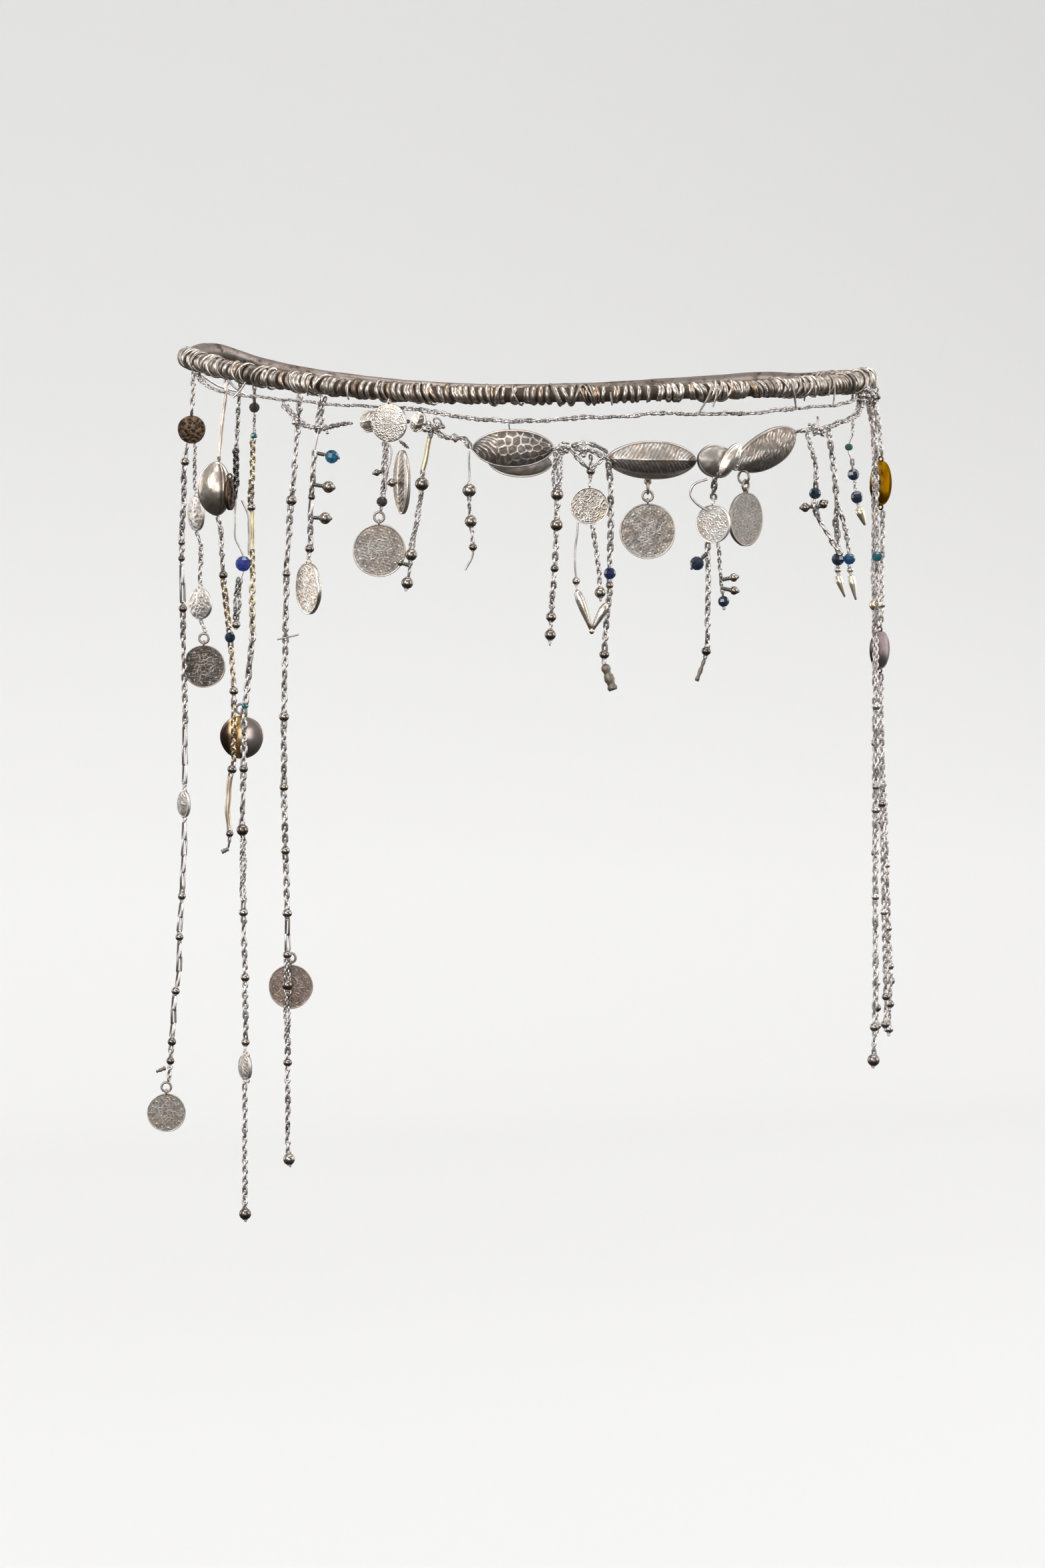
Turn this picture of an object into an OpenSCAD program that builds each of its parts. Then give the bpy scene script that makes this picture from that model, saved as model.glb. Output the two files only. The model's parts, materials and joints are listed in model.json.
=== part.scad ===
// Coin headdress: an oval wire-wrapped circlet with chains, leaf plaques, coins and beads.
// Front faces -Y, +X is the wearer's left as seen from the front, +Z is up, millimetres.
// The origin is the middle of the circlet, where it sits on the head.

/* [Hoop] */
// Inside width of the circlet, side to side
head_w = 159; // [152:1:166]
// Inside length of the circlet, front to back
head_l = 196; // [190:1:202]
// Thickness of the plain back of the circlet
band_d = 3.8; // [3.4:0.1:4.2]
// Thickness of the bare core under the wire
core_d = 2.6; // [2.2:0.1:2.8]
// Thickness over the wound wire
wrap_d = 4.3; // [4.1:0.1:4.6]
// How far the right side sits lower than the left
hoop_tilt = 2.2; // [1:0.1:3]
// How far the sides rise above front and back
hoop_saddle = 2.5; // [1.5:0.1:3.5]

/* [Metal] */
// Thickness of a coin between its reliefs
coin_t = 0.7; // [0.5:0.1:1]
// Height of cast relief
relief = 0.18; // [0.1:0.02:0.3]
// Thickness of a leaf plaque
leaf_t = 0.6; // [0.4:0.1:0.9]
// Thickness of ring and loop wire
ring_wire_d = 0.44; // [0.36:0.02:0.5]
// Middle radius of a coin's jump ring
ring_r = 1.2; // [1.1:0.05:1.3]
// Thickness of the wire inside a bead
neck_d = 0.56; // [0.44:0.02:0.6]

/* [Hidden] */
$fn = 32;

// The flat turn of the plane in which the chains' sideways drift is given
view_turn = -18;
// Half sizes of the hoop's centre line
hoop_x = head_w / 2 + band_d / 2;
hoop_y = head_l / 2 + band_d / 2;
// Rings round the hoop, and the stretch of them that the wire covers
hoop_steps = 80;
hoop_step = 360 / hoop_steps;
wrap_first = -25;
wrap_last = 22;
tube_sides = 8;
// Clearances: between loose pieces, and round a wire in a bead
seat_gap = 0.2;
bead_gap = 0.16;
neck_taper = 0.4;
bore_r = neck_d / 2 + 0.17;

// Columns of a chain, of its stretches and of their stations and beads
ANGLE = 0;
FORWARD = 1;
STRETCHES = 2;
STATIONS = 0;
BEADS = 1;
ACROSS = 0;
HEIGHT = 1;
HALF_WIDTH = 2;
LEAN = 3;
BEAD_HEIGHT = 0;
BEAD_RADIUS = 1;
BEAD_KIND = 2;
METAL = 0;
GLASS = 1;

// Each chain: hoop angle, forward shift, and stretches of stations and beads. A station is
// [across, height, half width, further forward if any], a bead [height, radius, kind]
far_left = [-96.4, 0, [
    [[[0, 2.1, .6], [-.6, -7.6, .5]], []],
    [[[-1.8, -15.9, .5], [-2.6, -22.4, .6], [-2.7, -30, .65], [-3.2, -38, .65], [-3.3, -44.8, .6],
      [-3.2, -46, .35], [-3, -54, .35], [-3, -58, .65], [-2.9, -65, .65], [-2.6, -78, .65],
      [-2.6, -85, .45], [-2.7, -92, .45], [-2.8, -99.2, .5]],
     [[-20.3, 1.05, METAL], [-39.9, .85, METAL], [-43.8, .85, METAL], [-56, 1.05, METAL]]],
    [[[-2.9, -108.4, .45], [-2.9, -111.6, .35], [-3.1, -117, .35], [-3.5, -125, .6],
      [-3.7, -128, .35], [-4.2, -135, .45], [-4.4, -146, .35], [-5.7, -152, .35], [-5.8, -157, .45],
      [-6.4, -165, .6], [-7, -171.8, .5]],
     [[-126.4, 1, METAL], [-136.5, 1, METAL], [-149.8, 1.05, METAL], [-162.3, 1.05, METAL],
      [-167, 1, METAL]]]
]];
left_discs = [-96.4, -1.6, [
    [[[.1, -15.9, .4, 1], [-.1, -27, .4]], []],
    [[[.4, -37.45, .5], [1.4, -40, .55], [1.1, -49.6, .5]], []],
    [[[1.3, -58.9, .4], [2.4, -61.6, .4]], []]
]];
rose = [-80.3, 0, [
    [[[0, 0, .6], [-2.1, -19.1, .5]], []],
    [[[-2.3, -32.9, .5], [-1.7, -35, .6], [-1.1, -45, .6], [-1, -48.6, .7],
      [.3, -59, .7], [.7, -64, .6], [1.4, -73, .6], [1.3, -76.4, .6], [1.2, -92, .6],
      [.4, -95, .7], [-.4, -104, .7], [.3, -107.5, .65], [.1, -111.8, .4]],
     [[-46.7, 1.05, METAL], [-61.6, 1.3, GLASS], [-74.5, 1.1, METAL], [-93.3, 1.15, METAL],
      [-108.8, .9, METAL]]]
]];
blue_bead = [-76, 0, [
    [[[0, -.6, .5], [-1, -16.5, .5], [-1, -18, .8], [-1, -25, .8], [-1.2, -28, .32],
      [-1.4, -38, .28], [.6, -41.3, .28], [.6, -46.2, .28], [-.6, -48, .7], [-1.1, -56.5, .7],
      [-1.2, -59.5, .4]],
     [[-43.7, 1.9, GLASS], [-58.2, 1.05, METAL]]],
    [[[.3, -28.6, .28], [1.9, -31.7, .28], [1.9, -41.6, .28]], []]
]];
longest = [-71.9, 0, [
    [[[0, -1.3, .5], [0, -8.3, .35], [0, -12, .35], [-.4, -14.8, .65], [-.6, -23, .65],
      [-.8, -26, .85], [-1, -28.5, .8], [-.6, -32, .6], [-.6, -42.6, .6], [-.7, -61.4, .7],
      [-1.7, -70.6, .7], [-2.7, -79, .7], [-2.8, -90, .7], [-3.3, -105, .7], [-3.1, -109, .7],
      [-3.1, -125, .7], [-2.7, -141, .7], [-2.6, -155, .6], [-2.7, -159.2, .28]],
     [[-6.5, 1.3, GLASS], [-13.2, .85, GLASS], [-30.1, 1.05, METAL], [-77.2, .85, GLASS],
      [-92.2, 1.05, METAL], [-106.8, 1.4, METAL], [-126.5, 1.1, METAL], [-142.1, 1.05, METAL],
      [-157.6, 1, METAL]]],
    [[[-2.8, -167.8, .6], [-2.9, -181, .6], [-2.9, -195, .6], [-2.9, -200.6, .28]],
     [[-198.9, 1.45, METAL]]]
]];
long_left = [-60.8, 0, [
    [[[0, -2.9, .65], [-1.6, -22, .65], [-2.5, -31, .65], [-3.4, -43.8, .65], [-3.7, -60, .65],
      [-4.1, -78, .65], [-4.2, -95, .65], [-3.9, -110, .65], [-3.5, -124, .65], [-3.5, -127.2, .35],
      [-3.5, -133, .35], [-3.5, -137, .7], [-3.5, -155, .6], [-3.5, -181, .6], [-3.1, -185.2, .28]],
     [[-28, 1.3, METAL], [-45.2, .95, METAL], [-78.8, 1.2, METAL], [-95.4, 1.05, METAL],
      [-110.4, 1.05, METAL], [-125.2, 1.15, METAL], [-135, 1.05, METAL], [-142.2, 1.3, METAL],
      [-160.6, 1.05, METAL], [-183.6, 1.4, METAL]]]
]];
side_pins_chain = [-56.1, 0, [
    [[[0, -3.7, .8], [-2, -16.6, .75], [-2.6, -24, .6], [-3, -31.6, .6], [-3.1, -37, .6],
      [-3.4, -40.9, .5]],
     [[-27, .85, METAL], [-39.1, 1.1, METAL]]]
]];
big_coin_chain = [-43.8, 2, [
    [[[-.9, -14.1, .6, .7], [-1, -22, .6], [-1.5, -26, .5], [-2, -29.6, .4]],
     [[-27.7, 1.3, GLASS]]],
    [[[2.6, -13.7, .4, 1.8], [4.2, -15.3, .4, -1]], []]
]];
gold_tube = [-36.6, .8, [
    [[[-.2, -11.7, .6], [-1.2, -15.5, .6], [-1.3, -16.2, .8], [-2.1, -19.8, .8], [-2.2, -20.4, .5],
      [-2.5, -26, .6], [-4.6, -37.5, .6], [-5.3, -43.8, .5], [-6.1, -48, .28]],
     [[-23.5, 1.6, METAL], [-39.8, 1.4, METAL], [-46.3, 1.4, METAL]]]
]];
leaf_1_chain = [-29.9, .8, [
    [[[-1, -15.9, .35], [-1, -22, .35], [-.9, -29, .45], [-.3, -35.6, .6], [0, -39.6, .3],
      [-.6, -41, .35], [-1.9, -43.2, .35]],
     [[-24.9, 1.6, METAL], [-32, 1.4, METAL], [-37.9, .95, METAL]]]
]];
triple = [-16.5, .8, [
    [[[-.1, -16.2, .7], [-.2, -23, .95], [-.3, -29, .6], [-.5, -38, .6], [-1.2, -48, .6],
      [-1.7, -55, .5], [-1.9, -60.2, .3]],
     [[-25.7, 1.45, METAL], [-32.7, 1.45, METAL], [-42.7, .95, METAL], [-53.8, 1.2, METAL],
      [-57.9, 1.3, METAL]]]
]];
arrow = [-11.5, .8, [
    [[[.3, -16.8, .45], [.2, -22.6, .35]], [[-20.4, 1, METAL]]],
    [[[-2.7, -32.9, .28], [-3.4, -38.8, .28], [-3, -47.2, .28]], [[-45.6, .9, METAL]]],
    [[[.8, -33.4, .5], [2.3, -44, .5], [2.5, -50, .28]], [[-48.2, 1.3, METAL]]]
]];
blue_drop = [-8.7, .8, [
    [[[.2, -18.4, .6], [.8, -23, .6, -1], [.9, -28.5, .65, -1.2], [.7, -41, .65, -2],
      [.6, -48.4, .6, -2.4], [-.5, -60.6, .6, -2.8], [-.6, -64.6, .4, -2.8]],
     [[-43.9, 1.45, GLASS], [-46.6, .9, METAL], [-62.6, 1.15, METAL]]]
]];
bar_end = [9.6, 1.4, [
    [[[.1, -22.5, .45, 2.4], [.1, -26.75, .4]], []],
    [[[-1.2, -37.3, .4, -.7], [-1.1, -45.3, .65], [-1.2, -60, .65], [-1.7, -63.6, .4]],
     [[-62.1, 1.1, METAL]]],
    [[[1.3, -37.3, .4, .8], [1.6, -43.4, .45], [2.7, -52.4, .28]], [[-50.6, 1.35, GLASS]]]
]];
leaf_3_chain = [30.5, 1, [
    [[[0, -12.4, .5], [2.2, -19.1, .6], [2.2, -24, .6], [1.8, -28.6, .5], [2.3, -31.2, .65],
      [5.6, -36.8, .6]],
     [[-26.3, 1.45, GLASS]]]
]];
spikes = [37.3, .8, [
    [[[0, -11.9, .6], [1.4, -21.9, .65], [2.1, -29.1, .7], [2.2, -36, .7], [2.3, -39.4, .5],
      [2.3, -45.6, .28]],
     [[-42.1, 1.55, GLASS], [-44.6, .8, METAL]]],
    [[[3.3, -30.5, .4], [4.8, -39.4, .45], [5.3, -45.6, .28]],
     [[-42, 1.45, GLASS], [-44.6, .8, METAL]]]
]];
cone_chain = [47.6, .8, [
    [[[0, -9.9, .4], [0, -13, .3], [-.9, -14.6, .3], [-.9, -17.4, .3], [-.2, -19, .45],
      [-.1, -20.6, .45], [1.4, -30.2, .28]],
     [[-16, 1, GLASS], [-22.5, 1.45, GLASS], [-27.9, 1.55, GLASS]]]
]];
right_1 = [54, 1.2, [
    [[[.8, -3.2, .6], [3.4, -16, .6], [3.7, -40, .6], [3.7, -62, .65], [3.7, -90, .65],
      [3.7, -120, .65], [3.8, -145, .65], [3.5, -160, .6], [3.4, -165.8, .28]],
     [[-42.4, 1.3, GLASS], [-78.4, 1.05, METAL], [-97.8, .9, METAL], [-103.4, 1.05, METAL],
      [-124.4, .95, METAL], [-156, 1.1, METAL], [-164, 1.5, METAL]]]
]];
right_2 = [60, 0, [
    [[[1.6, -3.2, .8], [2, -18, .8], [2, -50, .85], [2, -64, .7], [2.4, -100, .6],
      [2.6, -130, .6], [3, -148, .6], [3.2, -158.6, .28]],
     [[-54.6, 1.4, METAL], [-88, .95, METAL], [-114.8, .95, METAL], [-146.5, 1, METAL],
      [-152.6, 1.1, METAL], [-157, 1.05, METAL]]]
]];
right_3 = [66, 0, [
    [[[1, -2.8, .5], [3.2, -10, .6], [3.8, -18.5, .5]], []],
    [[[3.8, -32.4, .5], [3.6, -45, .6], [3.6, -60, .5]],
     [[-55, .95, METAL]]],
    [[[3.6, -72.1, .5], [4, -105, .6], [4.6, -130, .6], [5.2, -150, .6], [5, -159.4, .28]],
     [[-103.6, 1.05, METAL], [-130.2, 1, METAL], [-151, 1.05, METAL], [-157.8, 1.1, METAL]]]
]];
right_4 = [72, 0, [
    [[[1.4, -2.7, .5], [2.8, -7, .6], [3.8, -20, .6], [4, -50, .6], [4.4, -80, .6], [5.4, -105, .6],
      [6.2, -130, .6], [7, -150, .6], [6.6, -161.8, .28]],
     [[-119.6, .95, METAL], [-135.2, .95, METAL], [-144.6, 1.1, METAL], [-154, 1.1, METAL],
      [-160.2, 1.15, METAL]]]
]];
right_5 = [80, 0, [
    [[[1.7, -2.4, .5], [3.4, -7, .5], [5, -18, .5], [6, -50, .5], [6.6, -90, .55], [7.6, -120, .55],
      [9.4, -145, .5], [9.4, -151.6, .28]],
     [[-66.4, .95, METAL], [-110, .95, METAL], [-149.8, 1.15, METAL]]]
]];

left_chains = [far_left, left_discs, rose, blue_bead, longest, long_left, side_pins_chain];
front_chains = [big_coin_chain, gold_tube, leaf_1_chain, triple, arrow, blue_drop, bar_end];
right_chains = [leaf_3_chain, spikes, cone_chain, right_1, right_2, right_3, right_4, right_5];

// Leaf plaques: hoop angle, forward, across, height, length, width, yaw, roll, vein pairs
leaf_1_row = [-23.7, .9, 0, -15.2, 19, 8.9, -24, 0, 4];
leaf_1_back_row = [-21.6, -1.4, .4, -18.4, 15, 7, -22, -3, 3];
leaf_2_row = [-1, .9, 0, -17.9, 21.6, 8.9, -4, -1, 6];
leaf_3_row = [20.9, 1.2, 0, -15.8, 18, 8.5, 8, 27, 6];
grey_leaf_row = [10.2, 4.1, 0, -18.3, 9.6, 7.6, 10, -12, 0];
folded_leaf_row = [13.6, 7, -1.2, -17.9, 8, 2.6, 2, 52, 0];
hanging_leaf_row = [-43.8, 1.5, 3, -23.2, 14.8, 8.4, -82, 90, 5];
domed_leaf_row = [-80.3, 3, -3.2, -26, 13, 8.2, -34, 90, 0];
swag_leaf_rows = [
    [-47.3, 1.4, 0, -9.3, 6, 5, -62, 8, 2],
    [-38.9, 2.3, 0, -9.3, 4.8, 3.6, -24, 70, 2]
];
LEAF_ANGLE = 0;
LEAF_FORWARD = 1;
LEAF_ACROSS = 2;
LEAF_HEIGHT = 3;
LEAF_LENGTH = 4;
LEAF_WIDTH = 5;
LEAF_YAW = 6;
LEAF_ROLL = 7;
LEAF_VEINS = 8;

// Coins and discs: hoop angle, forward, across, height, radius, yaw
COIN_RADIUS = 4;
COIN_YAW = 5;
disc_far_left_row = [-96.4, 0, -.7, -12.4, 3.4, -30];
hammered_rows = [
    [-96.4, -1.6, 0, -32.9, 4.2, -80],
    [-96.4, -1.6, 1, -54.9, 3.8, -62]
];
coin_left_row = [-96.4, -1.6, 2, -70.2, 5.2, -24];
mirror_disc_row = [-80.3, -1.6, 3, -85.7, 5.2, -22];
edge_disc_row = [-76, -1.2, -2.3, -27.2, 3.8, 60];
marquise_coin_row = [-56.1, 0, -3.5, -48.4, 6, -80];
filigree_disc_row = [-43.8, 3, 0, -9.5, 4.4, -40];
big_coin_row = [-43.8, 2, -2.4, -39, 6.1, -24];
coin_a_row = [-11.5, .8, 0, -28.4, 4.3, -18];
coin_b_row = [-1.9, .5, -.1, -34.2, 6.4, -16];
coin_c_row = [9.6, 1.4, .1, -32.7, 4.4, -50];
coin_d_row = [15.9, -.5, .2, -31.9, 6.2, 33];
coin_end_row = [-96.4, 0, -7.6, -179.8, 4.7, -18];
coin_behind_row = [-60.8, -2.05, -2.8, -142.8, 5.2, -20];
amber_disc_row = [66, 0, 3.8, -25.4, 5.4, 42];
purple_disc_row = [66, 0, 3.6, -66, 4.6, 40];
// A coin's soldered loop: middle radius, and its middle above the edge
loop_r = 0.57;
loop_rise = 0.45;
ring_rise = loop_rise + ring_r;

// The chains that run along the hoop: hoop angle, outward shift, height
upper_route = [
    [-92, .6, 1], [-88, 1.9, -.2], [-84, 2.4, -1.6], [-79, 2.4, -3], [-73, 2.4, -3.6],
    [-67, 2.4, -4], [-60, 2.4, -4.7], [-54, 2.2, -5.3], [-50, 1.5, -5.7], [-47, .8, -5.8],
    [-44, .8, -5.9], [-41, .8, -6.1], [-38, 1, -6.4], [-35, 2, -7.3], [-31, 2, -8.1],
    [-28, 2, -8.5], [-24, 2, -9.1], [-18, 2, -8.6], [-10, 2, -8], [-5, 2, -7.7], [-1, 2, -7.2],
    [4, 2, -7.2], [9, 2, -7.5],
    [17, 2, -7.2], [26, 2, -6.4], [34, 2, -6], [42, 2, -5.4], [45.5, 1.4, -4.7], [47.5, .5, -3.55]
];
upper_half_width = 0.42;
swag_half_width = 0.62;
swag_left_route = [
    [-62.6, 2.4, -5.8], [-61, 2.4, -7.8], [-59, 2.4, -10], [-56.5, 2.4, -10.9], [-53, 2, -10.5],
    [-50.2, 1.4, -9.6]
];
swag_disc_route = [[-44.6, .3, -9.3], [-43, .3, -9.3], [-40.4, .6, -9.3]];
swag_leaf_1_route = [[-36.6, .9, -9.9], [-35.2, .9, -12.2], [-33.4, .9, -13], [-31.2, .9, -12.9]];
swag_mid_route = [[-16.2, .9, -15.3], [-13.5, .9, -15.3], [-10.5, .9, -15.9]];
swag_grey_route = [[7.4, .9, -18.3], [9.4, .9, -18.2]];
swag_right_route = [
    [31.9, .9, -11.4], [35.5, .9, -11], [39.1, .9, -10.3], [44.6, .9, -9.2], [48, .9, -8],
    [50, .9, -6], [50.8, .6, -3.3]
];

// Side pins: hoop angle, forward, [across, height] on the chain and of the bead, radius, kind
pin_rows = [
    [-56.1, 0, [-1.9, -16.7], [2, -17.6], 1.65, GLASS],
    [-56.1, 0, [-2.6, -24.1], [1.2, -24.7], 1.4, METAL],
    [-56.1, 0, [-3, -31.8], [.4, -32], 1.4, METAL],
    [-43.8, 2.1, [-1, -20.6], [-2.9, -21], .8, METAL],
    [-43.8, 2.5, [-1.1, -23.6], [.6, -23.3], 1, METAL],
    [-36.6, .8, [-4.9, -42.4], [-7.3, -41.6], .8, METAL],
    [9.6, 1.4, [-1.3, -39.4], [-3.7, -41.8], 1.7, GLASS],
    [9.6, 1.4, [2, -45.6], [4.8, -45.1], 1, METAL],
    [9.6, 1.4, [2.2, -47.6], [4.9, -48.1], 1, METAL],
    [30.5, 1, [2, -30], [3.9, -28.8], 1.1, GLASS],
    [30.5, 1, [1.9, -29.4], [-.3, -29.6], 1.1, METAL]
];
pin_d = 0.44;
pin_cap_r = 0.42;

// Middle of the hoop's wire at a hoop angle, 0 in front and 90 on the right
function hoop_height(a) = -0.9 - hoop_tilt * sin(a) - hoop_saddle * cos(2 * a)
    + 2.2 * sin(2 * a) + 0.9 * cos(3 * a);
function hoop_point(a) = [hoop_x * sin(a), -hoop_y * cos(a), hoop_height(a)];
function unit(v) = v / norm(v);
function hoop_out(a) = unit([sin(a) / hoop_x, -cos(a) / hoop_y, 0]);

// A place near the hoop: sideways and forward in the view plane, at a height
function place(a, across, forward, height) = [
    hoop_x * sin(a) + across * cos(view_turn) + forward * sin(view_turn),
    -hoop_y * cos(a) + across * sin(view_turn) - forward * cos(view_turn),
    height
];
function beside_hoop(row) = let (p = hoop_point(row[0]) + row[1] * hoop_out(row[0]))
    [p.x, p.y, row[2]];

// A ring of points round a path point, square to the path
function ring_at(p, along, r, up, sides) = let (
        side = unit(cross(along, up)),
        top = cross(side, along)
    ) [for (i = [0:sides - 1]) let (w = (i + 0.5) * 360 / sides)
        p + r * (cos(w) * side + sin(w) * top)];
function heading(path, i, closed) = let (n = len(path)) closed
    ? unit(path[(i + 1) % n] - path[(i + n - 1) % n])
    : unit(path[min(i + 1, n - 1)] - path[max(i - 1, 0)]);
function rings_along(path, radii, up, closed) = [for (i = [0:len(path) - 1])
    ring_at(path[i], heading(path, i, closed), radii[i], up, tube_sides)];
function band(n, m, first, closed, inside) = [for (i = [0:(closed ? n : n - 1) - 1], j = [0:m - 1])
    let (
        a = first + i * m + j,
        b = first + i * m + (j + 1) % m,
        c = first + ((i + 1) % n) * m + (j + 1) % m,
        d = first + ((i + 1) % n) * m + j
    ) each inside ? [[a, c, b], [a, d, c]] : [[a, b, c], [a, c, d]]];

// A tube through the rings, capped or joined into a loop
module tube(rings, closed = false) {
    n = len(rings);
    m = len(rings[0]);
    caps = closed ? [] : [
        [for (j = [0:m - 1]) m - 1 - j],
        [for (j = [0:m - 1]) (n - 1) * m + j]
    ];
    polyhedron([for (r = rings) each r], concat(band(n, m, 0, closed, false), caps));
}

// A tube with a bore: outer and inner rings with flat ends
module sleeve(outer, inner) {
    n = len(outer);
    m = len(outer[0]);
    first = n * m;
    ends = [for (j = [0:m - 1]) let (k = (j + 1) % m, e = (n - 1) * m) each [
        [k, j, first + j], [k, first + j, first + k],
        [e + j, e + k, first + e + k], [e + j, first + e + k, first + e + j]
    ]];
    polyhedron(
        concat([for (r = outer) each r], [for (r = inner) each r]),
        concat(band(n, m, 0, false, false), band(n, m, first, false, true), ends)
    );
}

// Sorting and reading of a chain's stations
function by_height(rows) = len(rows) <= 1 ? rows : let (
        pivot = rows[floor(len(rows) / 2)][0]
    ) concat(
        by_height([for (r = rows) if (r[0] > pivot) r]),
        [for (r = rows) if (r[0] == pivot) r],
        by_height([for (r = rows) if (r[0] < pivot) r])
    );
function span_of(stations, h) = let (
        below = [for (i = [1:len(stations) - 1]) if (stations[i][HEIGHT] <= h) i]
    ) len(below) > 0 ? below[0] : len(stations) - 1;
function with_lean(s) = len(s) > LEAN ? s : concat(s, [0]);
function station_at(stations, h) = let (
        i = span_of(stations, h),
        a = with_lean(stations[i - 1]),
        b = with_lean(stations[i]),
        t = (h - a[HEIGHT]) / (b[HEIGHT] - a[HEIGHT])
    ) a + t * (b - a);
function near_bead(h, beads) = len([for (b = beads)
    if (abs(h - b[BEAD_HEIGHT]) < b[BEAD_RADIUS] + bead_gap + neck_taper - 0.01) b]) > 0;
function in_reach(h, stations) =
    h < stations[0][HEIGHT] - 0.1 && h > stations[len(stations) - 1][HEIGHT] + 0.1;
function neck_rows(beads, stations) = [for (b = beads, side = [-1, 1], out = [0, 1]) let (
        h = b[BEAD_HEIGHT] + side * (b[BEAD_RADIUS] + bead_gap + out * neck_taper),
        wide = station_at(stations, h)[HALF_WIDTH],
        crowded = out == 1 && near_bead(h, beads)
    ) if (in_reach(h, stations) && !crowded) [h, out == 1 ? wide : min(wide, neck_d / 2)]];
function plain_rows(beads, stations) = [for (i = [0:len(stations) - 1]) let (
        s = stations[i],
        end = i == 0 || i == len(stations) - 1,
        near = near_bead(s[HEIGHT], beads)
    ) if (end || !near) [s[HEIGHT], near ? min(s[HALF_WIDTH], neck_d / 2) : s[HALF_WIDTH]]];
function chain_point(chain, stations, h) = let (s = station_at(stations, h))
    place(chain[ANGLE], s[ACROSS], chain[FORWARD] + s[LEAN], h);

module chain_links(chain) {
    for (s = chain[STRETCHES]) {
        rows = by_height(concat(neck_rows(s[BEADS], s[STATIONS]), plain_rows(s[BEADS], s[STATIONS])));
        path = [for (r = rows) chain_point(chain, s[STATIONS], r[0])];
        tube(rings_along(path, [for (r = rows) r[1]], [sin(view_turn), -cos(view_turn), 0], false));
    }
}

module toward(direction) {
    rotate([0, acos(direction.z), atan2(direction.y, direction.x)]) children();
}

module drilled_bead(radius, kind) {
    difference() {
        if (kind == GLASS) faceted_ball(radius);
        else sphere(radius);
        cylinder(h = 2 * radius + 1, r = bore_r, center = true);
    }
}

// A ball ground flat by three eight-sided prisms
module faceted_ball(radius) {
    flat = radius * 0.93;
    intersection() {
        sphere(radius);
        for_all_axes(radius, flat);
    }
}

module for_all_axes(radius, flat) {
    intersection() {
        cylinder(h = 3 * radius, r = flat / cos(22.5), center = true, $fn = 8);
        rotate([90, 0, 0]) cylinder(h = 3 * radius, r = flat / cos(22.5), center = true, $fn = 8);
        rotate([0, 90, 0]) cylinder(h = 3 * radius, r = flat / cos(22.5), center = true, $fn = 8);
    }
}

module beads_on(chains, kind) {
    for (chain = chains, s = chain[STRETCHES], b = s[BEADS])
        if (b[BEAD_KIND] == kind) {
            above = chain_point(chain, s[STATIONS], b[BEAD_HEIGHT] + b[BEAD_RADIUS]);
            below = chain_point(chain, s[STATIONS], b[BEAD_HEIGHT] - b[BEAD_RADIUS]);
            translate((above + below) / 2) toward(unit(above - below))
                drilled_bead(b[BEAD_RADIUS], kind);
        }
}

// Hoop and its winding
function wrap_radius(i) = wrap_d / 2 - (i % 2 == 0 ? 0 : 0.2) - 0.1 * sin(i * 77);
module hoop() {
    color("rosybrown") {
        angles = [for (i = [0:hoop_steps - 1]) i * hoop_step];
        radii = [for (i = [0:hoop_steps - 1]) let (k = i > hoop_steps / 2 ? i - hoop_steps : i)
            k < wrap_first || k > wrap_last ? band_d / 2 : core_d / 2];
        tube(rings_along([for (a = angles) hoop_point(a)], radii, [0, 0, 1], true), true);
    }
}
module wire_wrap() {
    color("silver") {
        steps = [for (i = [wrap_first:wrap_last]) i];
        path = [for (i = steps) hoop_point(i * hoop_step)];
        outer = [for (i = steps) wrap_radius(i)];
        inner = [for (i = steps) core_d / 2 + 0.12];
        sleeve(rings_along(path, outer, [0, 0, 1], false), rings_along(path, inner, [0, 0, 1], false));
    }
}

module hoop_side_chain(points, half_width) {
    tube(rings_along(points, [for (p = points) half_width], [0, 0, 1], false));
}
module upper_chain() {
    color("lightgray")
        hoop_side_chain([for (row = upper_route) beside_hoop(row)], upper_half_width);
}

// A leaf's tip, moved on by the seat gap and a chain's half width
function leaf_tip(row, side, gap) = let (
        reach = side * (row[LEAF_LENGTH] / 2 + gap),
        yaw = row[LEAF_YAW],
        roll = row[LEAF_ROLL]
    ) place(row[LEAF_ANGLE], row[LEAF_ACROSS], row[LEAF_FORWARD], row[LEAF_HEIGHT])
        + reach * [cos(roll) * cos(yaw), cos(roll) * sin(yaw), sin(roll)];
module swag_chain() {
    color("lightgray") {
        hoop_side_chain([for (r = swag_left_route) beside_hoop(r)], swag_half_width);
        hoop_side_chain([for (r = swag_disc_route) beside_hoop(r)], swag_half_width);
        hoop_side_chain(concat(
            [for (r = swag_leaf_1_route) beside_hoop(r)],
            [leaf_tip(leaf_1_row, -1, seat_gap)]
        ), swag_half_width);
        hoop_side_chain(concat(
            [leaf_tip(leaf_1_row, 1, seat_gap)],
            [for (r = swag_mid_route) beside_hoop(r)],
            [leaf_tip(leaf_2_row, -1, seat_gap)]
        ), swag_half_width);
        hoop_side_chain(concat(
            [leaf_tip(leaf_2_row, 1, seat_gap)],
            [for (r = swag_grey_route) beside_hoop(r)],
            [leaf_tip(leaf_3_row, -1, seat_gap)]
        ), swag_half_width);
        hoop_side_chain(concat(
            [leaf_tip(leaf_3_row, 1, seat_gap)],
            [for (r = swag_right_route) beside_hoop(r)]
        ), swag_half_width);
    }
}

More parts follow.
